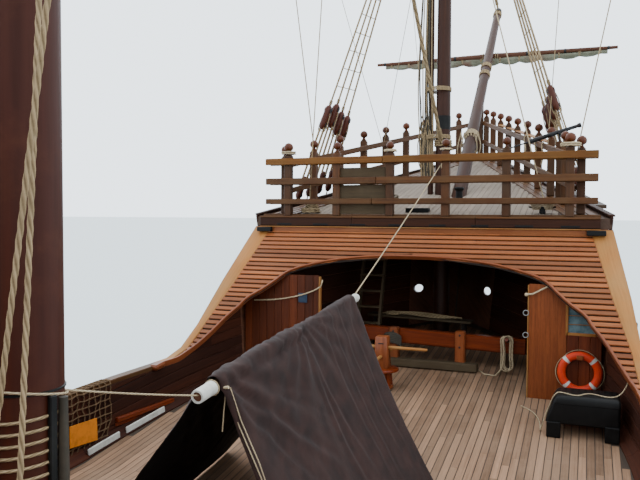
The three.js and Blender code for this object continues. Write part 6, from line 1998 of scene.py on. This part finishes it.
def rudder():
    """Three planks that thin aft, with straps, pintles, the head and the tiller."""
    s = Shape()
    axis_y = lambda z: stern_y(z) - 0.39
    low, high = KEEL_Z - 0.2, 2.62
    back = [(low, axis_y(low) - 1.35), (-0.4, axis_y(-0.4) - 1.15), (0.9, axis_y(0.9) - 0.70),
            (high, axis_y(high) - 0.33)]
    for share0, share1 in ((0, 0.34), (0.34, 0.68), (0.68, 1.0)):
        first = share0 == 0
        rings = []
        for z in (low, -1.5, -0.4, 0.25, 0.9, 1.7, high):
            fore, aft = axis_y(z) - 0.01, along(back, z)
            y0, y1 = mix(fore, aft, share0) - 0.002, mix(fore, aft, share1) + 0.002
            thick = 0.08 - 0.018 * share1
            edge, bevel = (0.03, y0 - 0.09) if first else (thick, y0 - 0.01)
            section = ((-edge, y0), (edge, y0), (thick, bevel), (thick, y1), (-thick, y1), (-thick, bevel))
            rings.append([vec(x, y, z) for x, y in section])
        s.loft(rings, 0)
    for z in (-2.0, -0.6, 0.7, 1.9):
        y = axis_y(z - 0.12)
        for x in (-0.086, 0.086):
            s.board((x, y - 0.09, z), (x, mix(y, along(back, z), 0.75), z - 0.02), 0.075, 0.012, STARBOARD,
                    0.003, 1)
        s.lathe([(0.03, -0.12), (0.032, -0.1), (0.032, 0.12)], (0, axis_y(z), z), sides=12, slot=1)
    top = axis_y(2.7)
    s.box((-0.1, 0.1), (top - 0.3, top - 0.01), (2.545, 2.76), "y", 0.02, 0)
    tiller_y = axis_y(2.64)
    s.board((0, tiller_y - 0.1, 2.625), (0, tiller_y + 3.3, 3.12), 0.1, 0.12, UP, 0.02, 2)
    part(s, "rudder_blade", "tar iron red", "rudder", ["rudder"])


STERN_WINDOWS = (-1.05, -0.35, 0.35, 1.05)


def stern_board(s, a, b, *size):
    """A board on the transom between two places (x, z)."""
    s.board(*(vec(x, stern_y(z) - 0.03, z) for x, z in (a, b)), *size)


def transom():
    s = Shape()
    z, row = deck_z(-10.4), 0
    while z < 6.5:
        top = min(z + 0.2, 6.53)
        half = min(half_breadth(stern_y(h), h) for h in (z, top)) - 0.02
        gaps = [(-0.54, 0.54)] if top > 2.33 and z < 2.96 else []
        if top > 4.75 and z < 5.3:
            gaps += [(x - 0.2, x + 0.2) for x in STERN_WINDOWS]
        low, high = z + 0.002, top - 0.002
        y0, y1 = stern_y(low), stern_y(high)
        section = ((y0 - 0.022, low), (y1 - 0.022, high), (y1 + 0.02, high), (y0 + 0.02, low))
        for ends in butts(-half, half, 2.6, row * 0.9, gaps):
            s.loft([[vec(x, *p) for p in section] for x in ends], 0)
        z, row = z + 0.2, row + 1
    for x in STERN_WINDOWS:
        for px, width in ((x - 0.215, 0.05), (x + 0.215, 0.05), (x, 0.022)):
            stern_board(s, (px, 4.72), (px, 5.33), width, 0.05, FORWARD, 0.006, 1)
        for h, width in ((4.735, 0.05), (5.315, 0.05), (4.93, 0.02), (5.12, 0.02)):
            stern_board(s, (x - 0.24, h), (x + 0.24, h), 0.05, width, UP, 0.006, 1)
    for x in (-0.58, 0.58):
        stern_board(s, (x, 2.3), (x, 3.0), 0.08, 0.06, FORWARD, 0.008, 1)
    stern_board(s, (-0.62, 3.0), (0.62, 3.0), 0.06, 0.08, UP, 0.008, 1)
    for h in (3.55, 4.5, 5.5, 6.5):
        half, y = half_breadth(stern_y(h), h) + 0.01, stern_y(h) - 0.045
        s.board((-half, y, h), (half, y, h), 0.07, 0.13, UP, 0.015, 2)
    for x in (-1.55, -0.7, 0, 0.7, 1.55):
        s.board((x, stern_y(3.6) - 0.05, 3.6), (x, stern_y(4.45) - 0.05, 4.45), 0.09, 0.07, FORWARD, 0.01, 2)
    part(s, "stern_planks", "side_out cap red")
    panes = Shape()
    for x in STERN_WINDOWS:
        flat = ((x - 0.2, 0.0), (x + 0.2, 0.0), (x + 0.2, 0.006), (x - 0.2, 0.006))
        panes.loft([[vec(px, stern_y(z) + out, z) for px, out in flat] for z in (4.75, 5.3)], 0)
    part(panes, "stern_panes", "glass")


DOOR = {"width": 0.72, "high": 1.56, "thick": 0.045, "clear": 0.008, "sill": 0.06}
# Hinges as (x, way to the lock)
HALF_HINGES, POOP_HINGES = ((1.7, -1), (-1.7, 1)), ((1.5, -1),)


def doorway(z0, hinge):
    """The (low, high) x of a doorway and its height, from a sill at z0 and its hinge (x, way)."""
    x, way = hinge
    return (*sorted((x, x + way * (DOOR["width"] + 2 * DOOR["clear"]))),
            z0 + DOOR["sill"] + DOOR["high"] + 0.016)


def cross_bulkhead(name, y, z0, z1, hinges, replaced):
    """Upright boards across the aftercastle under a head board, with the doorways framed."""
    s = Shape()
    ways = [(*doorway(z0, hinge), hinge[1]) for hinge in hinges]
    reach = min(side_at(y, lambda _, z=z: z).x for z in (z0, z1)) - WALL - 0.04
    edges = spread(-reach, reach, 31)
    faces = (y - 0.02, y + 0.07)
    for a, b in zip(edges, edges[1:]):
        low = z0
        for lo, hi, top, _ in ways:
            if lo < b and hi > a:
                low = top
                if a < lo:
                    s.box((a + 0.002, lo), faces, (z0, top), "z", 0.006, 0)
                if b > hi:
                    s.box((hi, b - 0.002), faces, (z0, top), "z", 0.006, 0)
        s.box((a + 0.002, b - 0.002), faces, (low, z1), "z", 0.006, 0)
    for lo, hi, top, way in ways:
        s.box((lo, hi), faces, (z0, z0 + DOOR["sill"]), "x", 0.006, 1)
        for px in (lo - 0.07, hi + 0.002):
            jamb = (px, px + 0.068)
            s.box(jamb, (y - 0.045, y - 0.02), (z0, top + 0.07), "z", 0.006, 1)
            if (px < lo) == (way > 0):
                s.box(jamb, (y + 0.07, y + 0.092), (z0, top + 0.07), "z", 0.006, 1)
        s.box((lo - 0.07, hi + 0.07), (y - 0.045, y - 0.02), (top + 0.002, top + 0.07), "x", 0.006, 1)
    s.box((-reach, reach), (y - 0.045, y - 0.02), (z1 - 0.08, z1), "x", 0.008, 1)
    part(s, name, "bulkhead red", replaces=[replaced])


def door(name, y, z0, hinge, body, replaced):
    """Five boards, three battens inside, three iron straps with studs outside, a pin and a knob."""
    s = Shape()
    x, way = hinge
    a, b = sorted((x + way * DOOR["clear"], x + way * (DOOR["clear"] + DOOR["width"])))
    foot = z0 + DOOR["sill"] + DOOR["clear"]
    face, out = y + 0.012, y + 0.012 + DOOR["thick"]
    edges = spread(a, b, 6)
    for p, q in zip(edges, edges[1:]):
        s.box((p + 0.001, q - 0.001), (face + 0.008, out - 0.008), (foot, foot + DOOR["high"]), "z", 0.004, 0)
    for z in (foot + 0.16, foot + 0.78, foot + 1.36):
        s.box((a + 0.02, b - 0.02), (face, face + 0.01), (z - 0.05, z + 0.05), "x", 0.004, 0)
        s.box((a + 0.01, b - 0.06), (out - 0.009, out - 0.001), (z - 0.022, z + 0.022), "x", 0.002, 1)
        for t in (0.2, 0.4, 0.6, 0.8):
            s.lathe([(0.011, 0), (0.008, 0.004), (0.001, 0.006)], (mix(a, b, t), out - 0.002, z), FORWARD, 8,
                    1)
    pin = (x + way * 0.02, y + 0.066, 0)
    s.lathe([(0.014, foot + 0.1), (0.014, foot + DOOR["high"] - 0.17)], pin, sides=12, slot=1)
    s.ball(vec(b - 0.09 if way > 0 else a + 0.09, out - 0.003, foot + 0.9), 0.02, 1, 12)
    part(s, name, "bulkhead iron", body, [replaced])


def aftercastle():
    """Half deck and poop deck, with the bulkheads and doors under their fore edges."""
    for key, y, level, below, hinges in (("half", HALF_BREAK_Y, half_deck_z, deck_z, HALF_HINGES),
                                         ("poop", POOP_BREAK_Y, poop_deck_z, half_deck_z, POOP_HINGES)):
        y -= 0.22
        foot = max(below(y), below(y + 0.07)) + REST_GAP
        replaced = {"half": "half_deck_bulkhead", "poop": "poop_bulkhead"}[key]
        cross_bulkhead(key + "_bulkhead_boards", y, foot, level(y + 0.07) - 0.12, hinges, replaced)
        if key == "poop":
            door("poop_cabin_door", y, foot, hinges[0], "poop_door", "poop_door")
        else:
            for (name, _), hinge in zip(SIDES, hinges):
                door("half_door_" + name, y, foot, hinge, "door_" + name, "half_deck_door_" + name)
    s = Shape()
    for fore_y, level in ((-2.66, half_deck_z), (-6.86, poop_deck_z)):
        reach = lambda y, level=level: side_at(y, lambda _: level(y)).x - WALL - 0.06
        decking(s, -10.0, fore_y, level, reach, 0.125, 0.003, 0.011)
    for y, level in ((HALF_BREAK_Y, half_deck_z), (POOP_BREAK_Y, poop_deck_z)):
        x, z = side_at(y, lambda _: level(y)).x - WALL - 0.03, level(y)
        s.box((-x, x), (y - 0.05, y + 0.03), (z - 0.16, z - 0.004), "x", 0.012, 1)
        s.box((-x, x), (y - 0.1, y + 0.045), (z - 0.003, z + 0.03), "x", 0.008, 2)
    part(s, "after_deck_planks", "deck red cap")


def waist_deck():
    s = Shape()
    reach = lambda y: side_at(y, lambda _: deck_z(y) + 0.05).x - WALL - 0.2
    decking(s, -2.74, 13.6, deck_z, reach, 0.11, 0.003, 0.014)
    part(s, "waist_planks", "deck")
    pale = Shape()
    for y0, y1 in ((5.17, 5.86), (6.02, 6.95)):
        a, b = (side_point(y, deck_z(y) + 0.07, -WALL - 0.16, -1) for y in (y0, y1))
        pale.board(a, b, 0.03, 0.10, UP, 0.006)
    part(pale, "waterway_strips", "white")


def waist_gear():
    """On the port bulwark: a ledge and a blank sign."""
    s = Shape()
    for z, out, width, thick, bevel in ((2.01, 0.06, 0.07, 0.075, 0.01), (1.93, 0.035, 0.03, 0.05, 0.006)):
        s.board(*(side_point(y, z, -WALL - out, -1) for y in (5.92, 7.3)), width, thick, UP, bevel, 0)
    part(s, "bulwark_ledge", "red")
    cargo_net()
    sign = Shape()
    corners = ((4.855, 1.887), (5.426, 1.847), (5.415, 2.185), (4.855, 2.202))
    sign.outline([side_point(y, z, -WALL - 0.10, -1) for y, z in corners], (0.012, 0, 0))
    part(sign, "blank_board", "sign")


def cargo_net():
    """A net hung over the port cap and down inside the bulwark, its knots a little out of line."""
    net = Shape()
    y0, y1, columns, rows = 4.72, 5.79, 9, 11

    def knot(i, k):
        y = mix(y0, y1, i / columns) + 0.035 * noise.noise(vec(i * 0.7, k * 0.9, 2.0)) - 0.05 * max(0, k - 8)
        if k < 3:
            return side_point(y, sheer_top(y) + 0.012, -WALL - 0.03 + 0.065 * (2 - k), -1)
        ripple = 0.02 * noise.noise(vec(i * 0.8, k * 0.6, 5.0))
        z = mix(sheer_top(y) - 0.04, 1.72, (k - 3) / (rows - 3)) + ripple
        return side_point(y, z, -WALL - (0.06 + 0.02 * noise.noise(vec(i * 0.5, k * 0.5, 9.0))), -1)

    knots = [[knot(i, k) for k in range(rows + 1)] for i in range(columns + 1)]
    for column in knots:
        net.rope(curve(column, 3), 0.0105, 6)
    for k, row in enumerate(zip(*knots)):
        net.rope(curve(row, 3), 0.0105 if k else 0.016, 6)
    for column in knots:
        for at in column:
            net.ball(at, 0.017, 0, 7)
    part(net, "cargo_net", "net_rope")


# Thin lines from the forecastle's rails: sign, y of the foot, x of the head on the fore yard, radius
YARD_LINES = [(-1, 13.42, -3.6, 0.007), (-1, 15.2, -1.2, 0.006), (1, 10.3, 4.2, 0.011), (1, 11.9, 2.6, 0.008)]
PORT_KNOT = vec(-2.3, 10.3, 6.84)


def fore_lines():
    """Lines that rise from the forecastle to the fore yard, and one to the mast."""
    lines, fixed = Shape(), Shape()
    feet = [(vec(sign * (fore_rail_x(y) - 0.07), y, fore_deck_z(y) + 1.0), x, r)
            for sign, y, x, r in YARD_LINES]
    for foot, x, r in feet + [(PORT_KNOT, -4.2, 0.012), (PORT_KNOT, -2.85, 0.012)]:
        lines.rope(finely([foot, (x, 12.75, 13.97)], 0.5), r, 6)
    piece = part(lines, "fore_yard_lines", "rope", None)
    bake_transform(piece)
    y = 13.46
    fixed.rope([(0.07 - fore_rail_x(y), y, fore_deck_z(y) + 1.0), (-0.1, 12.25, 13.6)], 0.007, 6)
    fixed.rope([PORT_KNOT, (-2.36, 10.25, fore_deck_z(10.25) + 0.02)], 0.013, 6)
    part(fixed, "fore_lines", "rope")


def rail_coils():
    """Coils on the front rail's posts and on the deck, and loops hung on the starboard rail."""
    z = fore_deck_z(10.105)
    ropes = Shape()
    for x, turns, r in ((-2.74, 4, 0.13), (-0.58, 3, 0.11), (0.51, 2, 0.1), (2.73, 5, 0.16)):
        coil(ropes, (x, 10.06, z + 1.265), UP, r, 0.013, turns, 1)
    coil(ropes, (-2.35, 10.32, fore_deck_z(10.32) + 0.03), UP, 0.17, 0.018, 5, 0)
    coil(ropes, (-2.33, 10.33, fore_deck_z(10.33) + 0.13), UP, 0.11, 0.018, 3, 0)
    for k, y in enumerate((12.6, 13.4, 12.1)):
        top, x = fore_deck_z(y) + 1.1, fore_rail_x(y) - 0.1
        for j in range(5):
            wide, low = 0.05 + 0.012 * j, 0.42 + 0.07 * chance(k, j)
            loop = [(x, y - wide, top - low * 0.6), (x - 0.02, y - wide * 0.6, top - 0.05),
                    (x + 0.02, y, top + 0.03), (x - 0.02, y + wide * 0.6, top - 0.05),
                    (x, y + wide, top - low * 0.6), (x - 0.03, y, top - low)]
            ropes.rope(curve([*loop, loop[0]], 4), 0.011, 5, 1)
    part(ropes, "rail_coils", "rope pale_rope")


def deck_fittings():
    """A mooring post, a chock and a cleat on the forecastle's deck, and the rope belayed on the cleat."""
    fittings = Shape()
    post_profile = [(0.1, 0.0), (0.1, 0.02), (0.075, 0.04), (0.07, 0.2), (0.1, 0.23), (0.105, 0.26),
                    (0.09, 0.285), (0.002, 0.29)]
    fittings.lathe(post_profile, (0.5, 11.6, fore_deck_z(11.6)), sides=24)
    fittings.box((-0.36, 0.1), (10.42, 10.62), (fore_deck_z(10.42) - 0.02, fore_deck_z(10.62) + 0.05), "x",
                 0.01)
    cleat = vec(2.25, 10.36, fore_deck_z(10.36) + 0.004)
    fittings.box((2.2, 2.3), (10.3, 10.42), (cleat.z, cleat.z + 0.09), "z", 0.01)
    horns = [cleat + vec(x, 0, 0.1 + 0.1 * abs(x)) for x in spread(-0.24, 0.24, 9)]
    fittings.tube(horns, lambda t: 0.035 - 0.02 * abs(2 * t - 1), 10)
    part(fittings, "deck_fittings", "black")
    turns = Shape()
    for k in range(5):
        wide, high = 0.17 + 0.01 * k, 0.08 + 0.024 * k
        turns.rope([cleat + vec(sin(a) * wide, 0.06 * sin(2 * a), high) for a in spread(0, tau, 21)],
                   0.012, 6)
    turns.rope([cleat + vec(0.05, 0, 0.15), (0.16, 12.28, 13.4)], 0.012, 6)
    part(turns, "cleat_turns", "pale_rope")


def foremast_ropes():
    """Halyards and coils down the port side of the foremast, a spare spar lashed to it, and a black band."""
    s = Shape()
    y = FORE["y"] - 0.12
    foot = fore_deck_z(y)
    for k in range(9):
        x, shift = -0.2 - 0.034 * k, 0.03 * sin(k * 2.1)
        top = vec(-0.2 - 0.02 * k, y + 0.02 * (k % 3), 13.2 - 0.15 * k)
        mid = vec(x - 0.05 - 0.03 * sin(k), y - shift, foot + 2.9 - 0.25 * (k % 3))
        line = [top, top.lerp(mid, 0.5) - STARBOARD * 0.02, mid, (x, y + shift, foot + 0.9),
                (x + 0.02, y, foot + 0.35)]
        s.rope(curve(line, 6), 0.013 + 0.003 * (k % 2), 6, k % 2)
    for k in range(9):
        x, wide = -0.27 - 0.025 * k, 0.05 + 0.01 * (k % 3)
        top, low = foot + 1.45 + 0.1 * (k % 4), foot + 0.42 + 0.09 * (k % 3)
        upper, lower = mix(top, low, 0.4), mix(top, low, 0.8)
        loop = [(x - wide, y - 0.03, upper), (x, y - 0.05, top), (x + wide, y - 0.03, upper),
                (x + wide * 0.8, y, lower), (x, y + 0.01, low), (x - wide * 0.8, y, lower)]
        s.rope(curve([*loop, loop[0]], 4), 0.012, 5, k % 2)
    spare = [(-0.27, FORE["y"] - 0.02, z) for z in spread(foot + 0.01, 12.9, 12)]
    s.tube(spare, lambda t: 0.062 - 0.012 * t, 14, 3)
    for z in (foot + 1.25, foot + 2.3, foot + 5.2):
        s.wind((-0.1, FORE["y"] - 0.03, z), 0.27, 0.011, series(0, 0.022, 4), UP, 22, 5)
    r = mast_r(FORE, 7.35)
    band = [(r - 0.01, 7.2), (r + 0.007, 7.205), (r + 0.006, 7.5), (r - 0.01, 7.51)]
    s.lathe(band, (0, FORE["y"], 0), sides=32, slot=2)
    part(s, "foremast_ropes", "rope dark_rope black foremast")


def bowsprit_hank():
    """Turns of rope round the bowsprit, and the loops that hang from them."""
    s = Shape()
    way = (SPRIT_HEAD - SPRIT_FOOT).normalized()
    at = SPRIT_FOOT + way * ((13.75 - SPRIT_FOOT.y) / way.y)
    s.wind(at, 0.163, 0.013, series(0, 0.022, 7), way)
    for k in range(6):
        x, wide, low = 0.18 - 0.08 * k, 0.07, 0.45 + 0.06 * (k % 3)
        loop = ((x, -0.14, 0.12), (x - wide, -0.2, -low * 0.5), (x, -0.2, -low), (x + wide, -0.2, -low * 0.5),
                (x, -0.14, 0.12))
        s.rope(curve([at + Vector(step) for step in loop], 5), 0.013, 5)
    part(s, "bowsprit_hank", "pale_rope")


def cord(name, points, diameter):
    """A free rope along points, bare at its far end."""
    s = Shape()
    s.laid(points, diameter / 2)
    piece = part(s, name, "pale_rope")


HANK = {"x": 1.66, "y": 10.345, "top": 3.005, "run": 0.44, "fold": 0.095, "turns": 4, "pitch": 0.034,
        "d": 0.028}


def hank_point(turn):
    """Place on the hank after some turns: straight runs joined by half circles, each aft of the last."""
    run, fold = HANK["run"], HANK["fold"]
    whole = 2 * run + tau * fold
    at = turn % 1 * whole
    bottom = HANK["top"] - 2 * fold - run + 0.03 * sin(2.4 * turn)
    if at < pi * fold:
        angle = at / fold
        x, z = cos(angle) * fold, HANK["top"] - fold + sin(angle) * fold
    elif at < pi * fold + run:
        x, z = -fold, mix(HANK["top"] - fold, bottom + fold, (at - pi * fold) / run)
    elif at < tau * fold + run:
        angle = pi + (at - pi * fold - run) / fold
        x, z = cos(angle) * fold, bottom + fold + sin(angle) * fold
    else:
        x, z = fold, mix(bottom + fold, HANK["top"] - fold, (at - tau * fold - run) / run)
    waist = 1 - 0.25 * sin(pi * clamp((HANK["top"] - z) / (2 * fold + run)))
    y = HANK["y"] - HANK["pitch"] * turn
    rise = 0.3 * HANK["pitch"] * turn * clamp((z - bottom) / run)
    return vec(HANK["x"] + x * waist + 0.03 * sin(1.9 * turn + 0.5), y, z + rise)


def bitt_hank():
    """A hank of rope hung on a pin of the bitts' beam, its tail on the deck."""
    points = [hank_point(i / 32) for i in range(int(32 * (HANK["turns"] + 0.52)) + 1)]
    last, floor = points[-1], HANK["d"] / 2 + 0.006
    tail = [(1.47, 10.19), (1.36, 10.17), (1.25, 10.2), (1.19, 10.3), (1.12, 10.38)]
    points += curve([last, *((x, y, deck_z(y) + floor) for x, y in tail)], 4)[2:]
    cord("bitt_hank", points, HANK["d"])
    pin = Shape()
    x = HANK["x"]
    pin.tube([(x, 10.41, 2.905), (x, 10.3, 2.938), (x, 10.15, 2.983)],
             lambda t: 0.026 + 0.006 * max(0, 6 * t - 5), 12)
    part(pin, "bitt_pin", "red")


def chest_rope():
    """A thin rope from the bulwark over the chest's lid to the deck."""
    lid = deck_z(CHEST["y1"]) + CHEST["feet"] + CHEST["high"] + 0.011
    y = CHEST["y0"] + 0.1
    hung = [(3.65, y + 0.3, lid + 0.3), (3.63, y + 0.24, lid + 0.19), (3.56, y + 0.16, lid + 0.07),
            (3.48, y + 0.1, lid + 0.012)]
    lidded = [(3.38, y + 0.06), (3.28, y + 0.09), (3.2, y + 0.15), (3.1, y + 0.17), (3.03, y + 0.11),
              (2.98, y + 0.03), (2.9, y - 0.01), (2.82, y + 0.03), (2.74, y + 0.09)]
    down = [(2.66, y + 0.09, lid - 0.002), (2.595, y + 0.08, lid - 0.07), (2.545, y + 0.07, lid - 0.2),
            (2.485, y + 0.05, lid - 0.36)]
    deck = [(2.415, y + 0.1), (2.4, y + 0.3), (2.36, y + 0.52), (2.28, y + 0.74), (2.17, y + 0.9),
            (2.05, y + 1.0)]
    points = [*hung, *((x, at, lid) for x, at in lidded), *down, (2.445, y + 0.04, lid - 0.5)]
    points += [(x, at, deck_z(at) + 0.013) for x, at in deck]
    cord("chest_rope", curve(points, 3), 0.018)
    eye = Shape()
    eye.tube(ring_points(vec(3.66, y + 0.3, lid + 0.32), 0.024, 12, FORWARD), 0.006, 8)
    part(eye, "bulwark_eye", "iron")


# Deck bodies are dark: their tops show as dark seams between the planks, and their undersides are painted shade
# over the spaces below.
MADE_NODES = {
    "hull": "tar_body", "keel_and_stem": "tar_body", "transom": "side_body", "forecastle_deck": "shade_and_seam_body",
    "half_deck": "shade_and_seam_body", "poop_deck": "shade_and_seam_body",
}


def cad_materials():
    bodies = {
        "tar_body": wood("tarred_timber", (0.07, 0.047, 0.033), (0.028, 0.02, 0.015), 0.55, 0.2, coords="Y"),
        "side_body": wood("side_timber", (0.14, 0.055, 0.028), (0.06, 0.022, 0.013), 0.55, 0.2, coords="Y"),
        # Dark deck timber: dark seams, and painted shade underneath.
        "shade_and_seam_body": wood("shade_and_seam_deck_timber", (0.09, 0.05, 0.032), (0.04, 0.022, 0.015), 0.6, 0.2, coords="Y"),
    }
    for name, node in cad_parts.items():
        for slot in node.material_slots:
            slot.material = bodies[MADE_NODES.get(name, "side_body")]


def glass():
    n = Nodes("window_glass")
    grime = n.noise(n.place(), 9, 6, 0.6)
    tint = n.ramp(grime, [(0.35, (0.05, 0.10, 0.12)), (0.65, (0.12, 0.19, 0.21))])
    return n.finish(tint, n.scaled(grime, 0.25, 0.03), grime, 0.001, 0.2)


M["glass"] = glass()
camera()
bitt_hank()
chest_rope()
stage()
cad_materials()
for side_name, side_sign in SIDES:
    outer_planking(side_name, side_sign)
    inner_planking(side_name, side_sign)
    caps(side_name, side_sign)
    side_rail(side_name, side_sign)
    fore_bulkhead(side_name, side_sign)
    anchor(side_name, side_sign)
sloping_front()
forecastle_deck()
front_rail()
apex_post()
aft_rail("half_deck_balustrade", -2.69, half_deck_z, "half_deck_rail")
aft_rail("poop_balustrade", -6.89, poop_deck_z, "poop_rail")
tent()
tent_pole()
tent_ties()
mast_piece("mainmast_pole", MAIN, "mast dark_rope tar yard", "mainmast", (6.8, 9.0, 11.2, 13.4), 0.95)
topmast()
mast_fittings()
mast_piece("foremast_pole", FORE, "foremast black tar yard", "foremast", (), 0.62)
mast_piece("mizzenmast_pole", MIZZEN, "foremast rope tar yard", "mizzenmast", (7.5, 11.4))
bolster(MAIN, 16.11, "yard")
bolster(FORE, 13.91, "yard")
bolster(MIZZEN, 9.83, "yard")
bowsprit()
square_yards()
lateen_yard()
spritsail()
shrouds()
stays()
capstan()
bitts()
lifebuoy()
chest()
swivel_gun()
main_hatch()
ladder("half_deck_steps", -2.9, 0.62, (-1.75, deck_z(-1.845) + REST_GAP), (-2.5996, 3.61), 7,
       "half_deck_ladder")
ladder("poop_steps", -2.0, 0.56, (-6.02, half_deck_z(-6.115) + REST_GAP), (-6.7996, 5.74), 7, "poop_ladder")
ladder("fore_steps", -1.27, 0.48, (10.76, deck_z(10.855) + REST_GAP), (11.7496, fore_deck_z(11.75) - 0.02), 9,
       "fore_ladder", "panel panel")
rudder()
transom()
aftercastle()
waist_deck()
bulkhead_fittings()
waist_gear()
rail_coils()
deck_fittings()
fore_lines()
foremast_ropes()
bowsprit_hank()
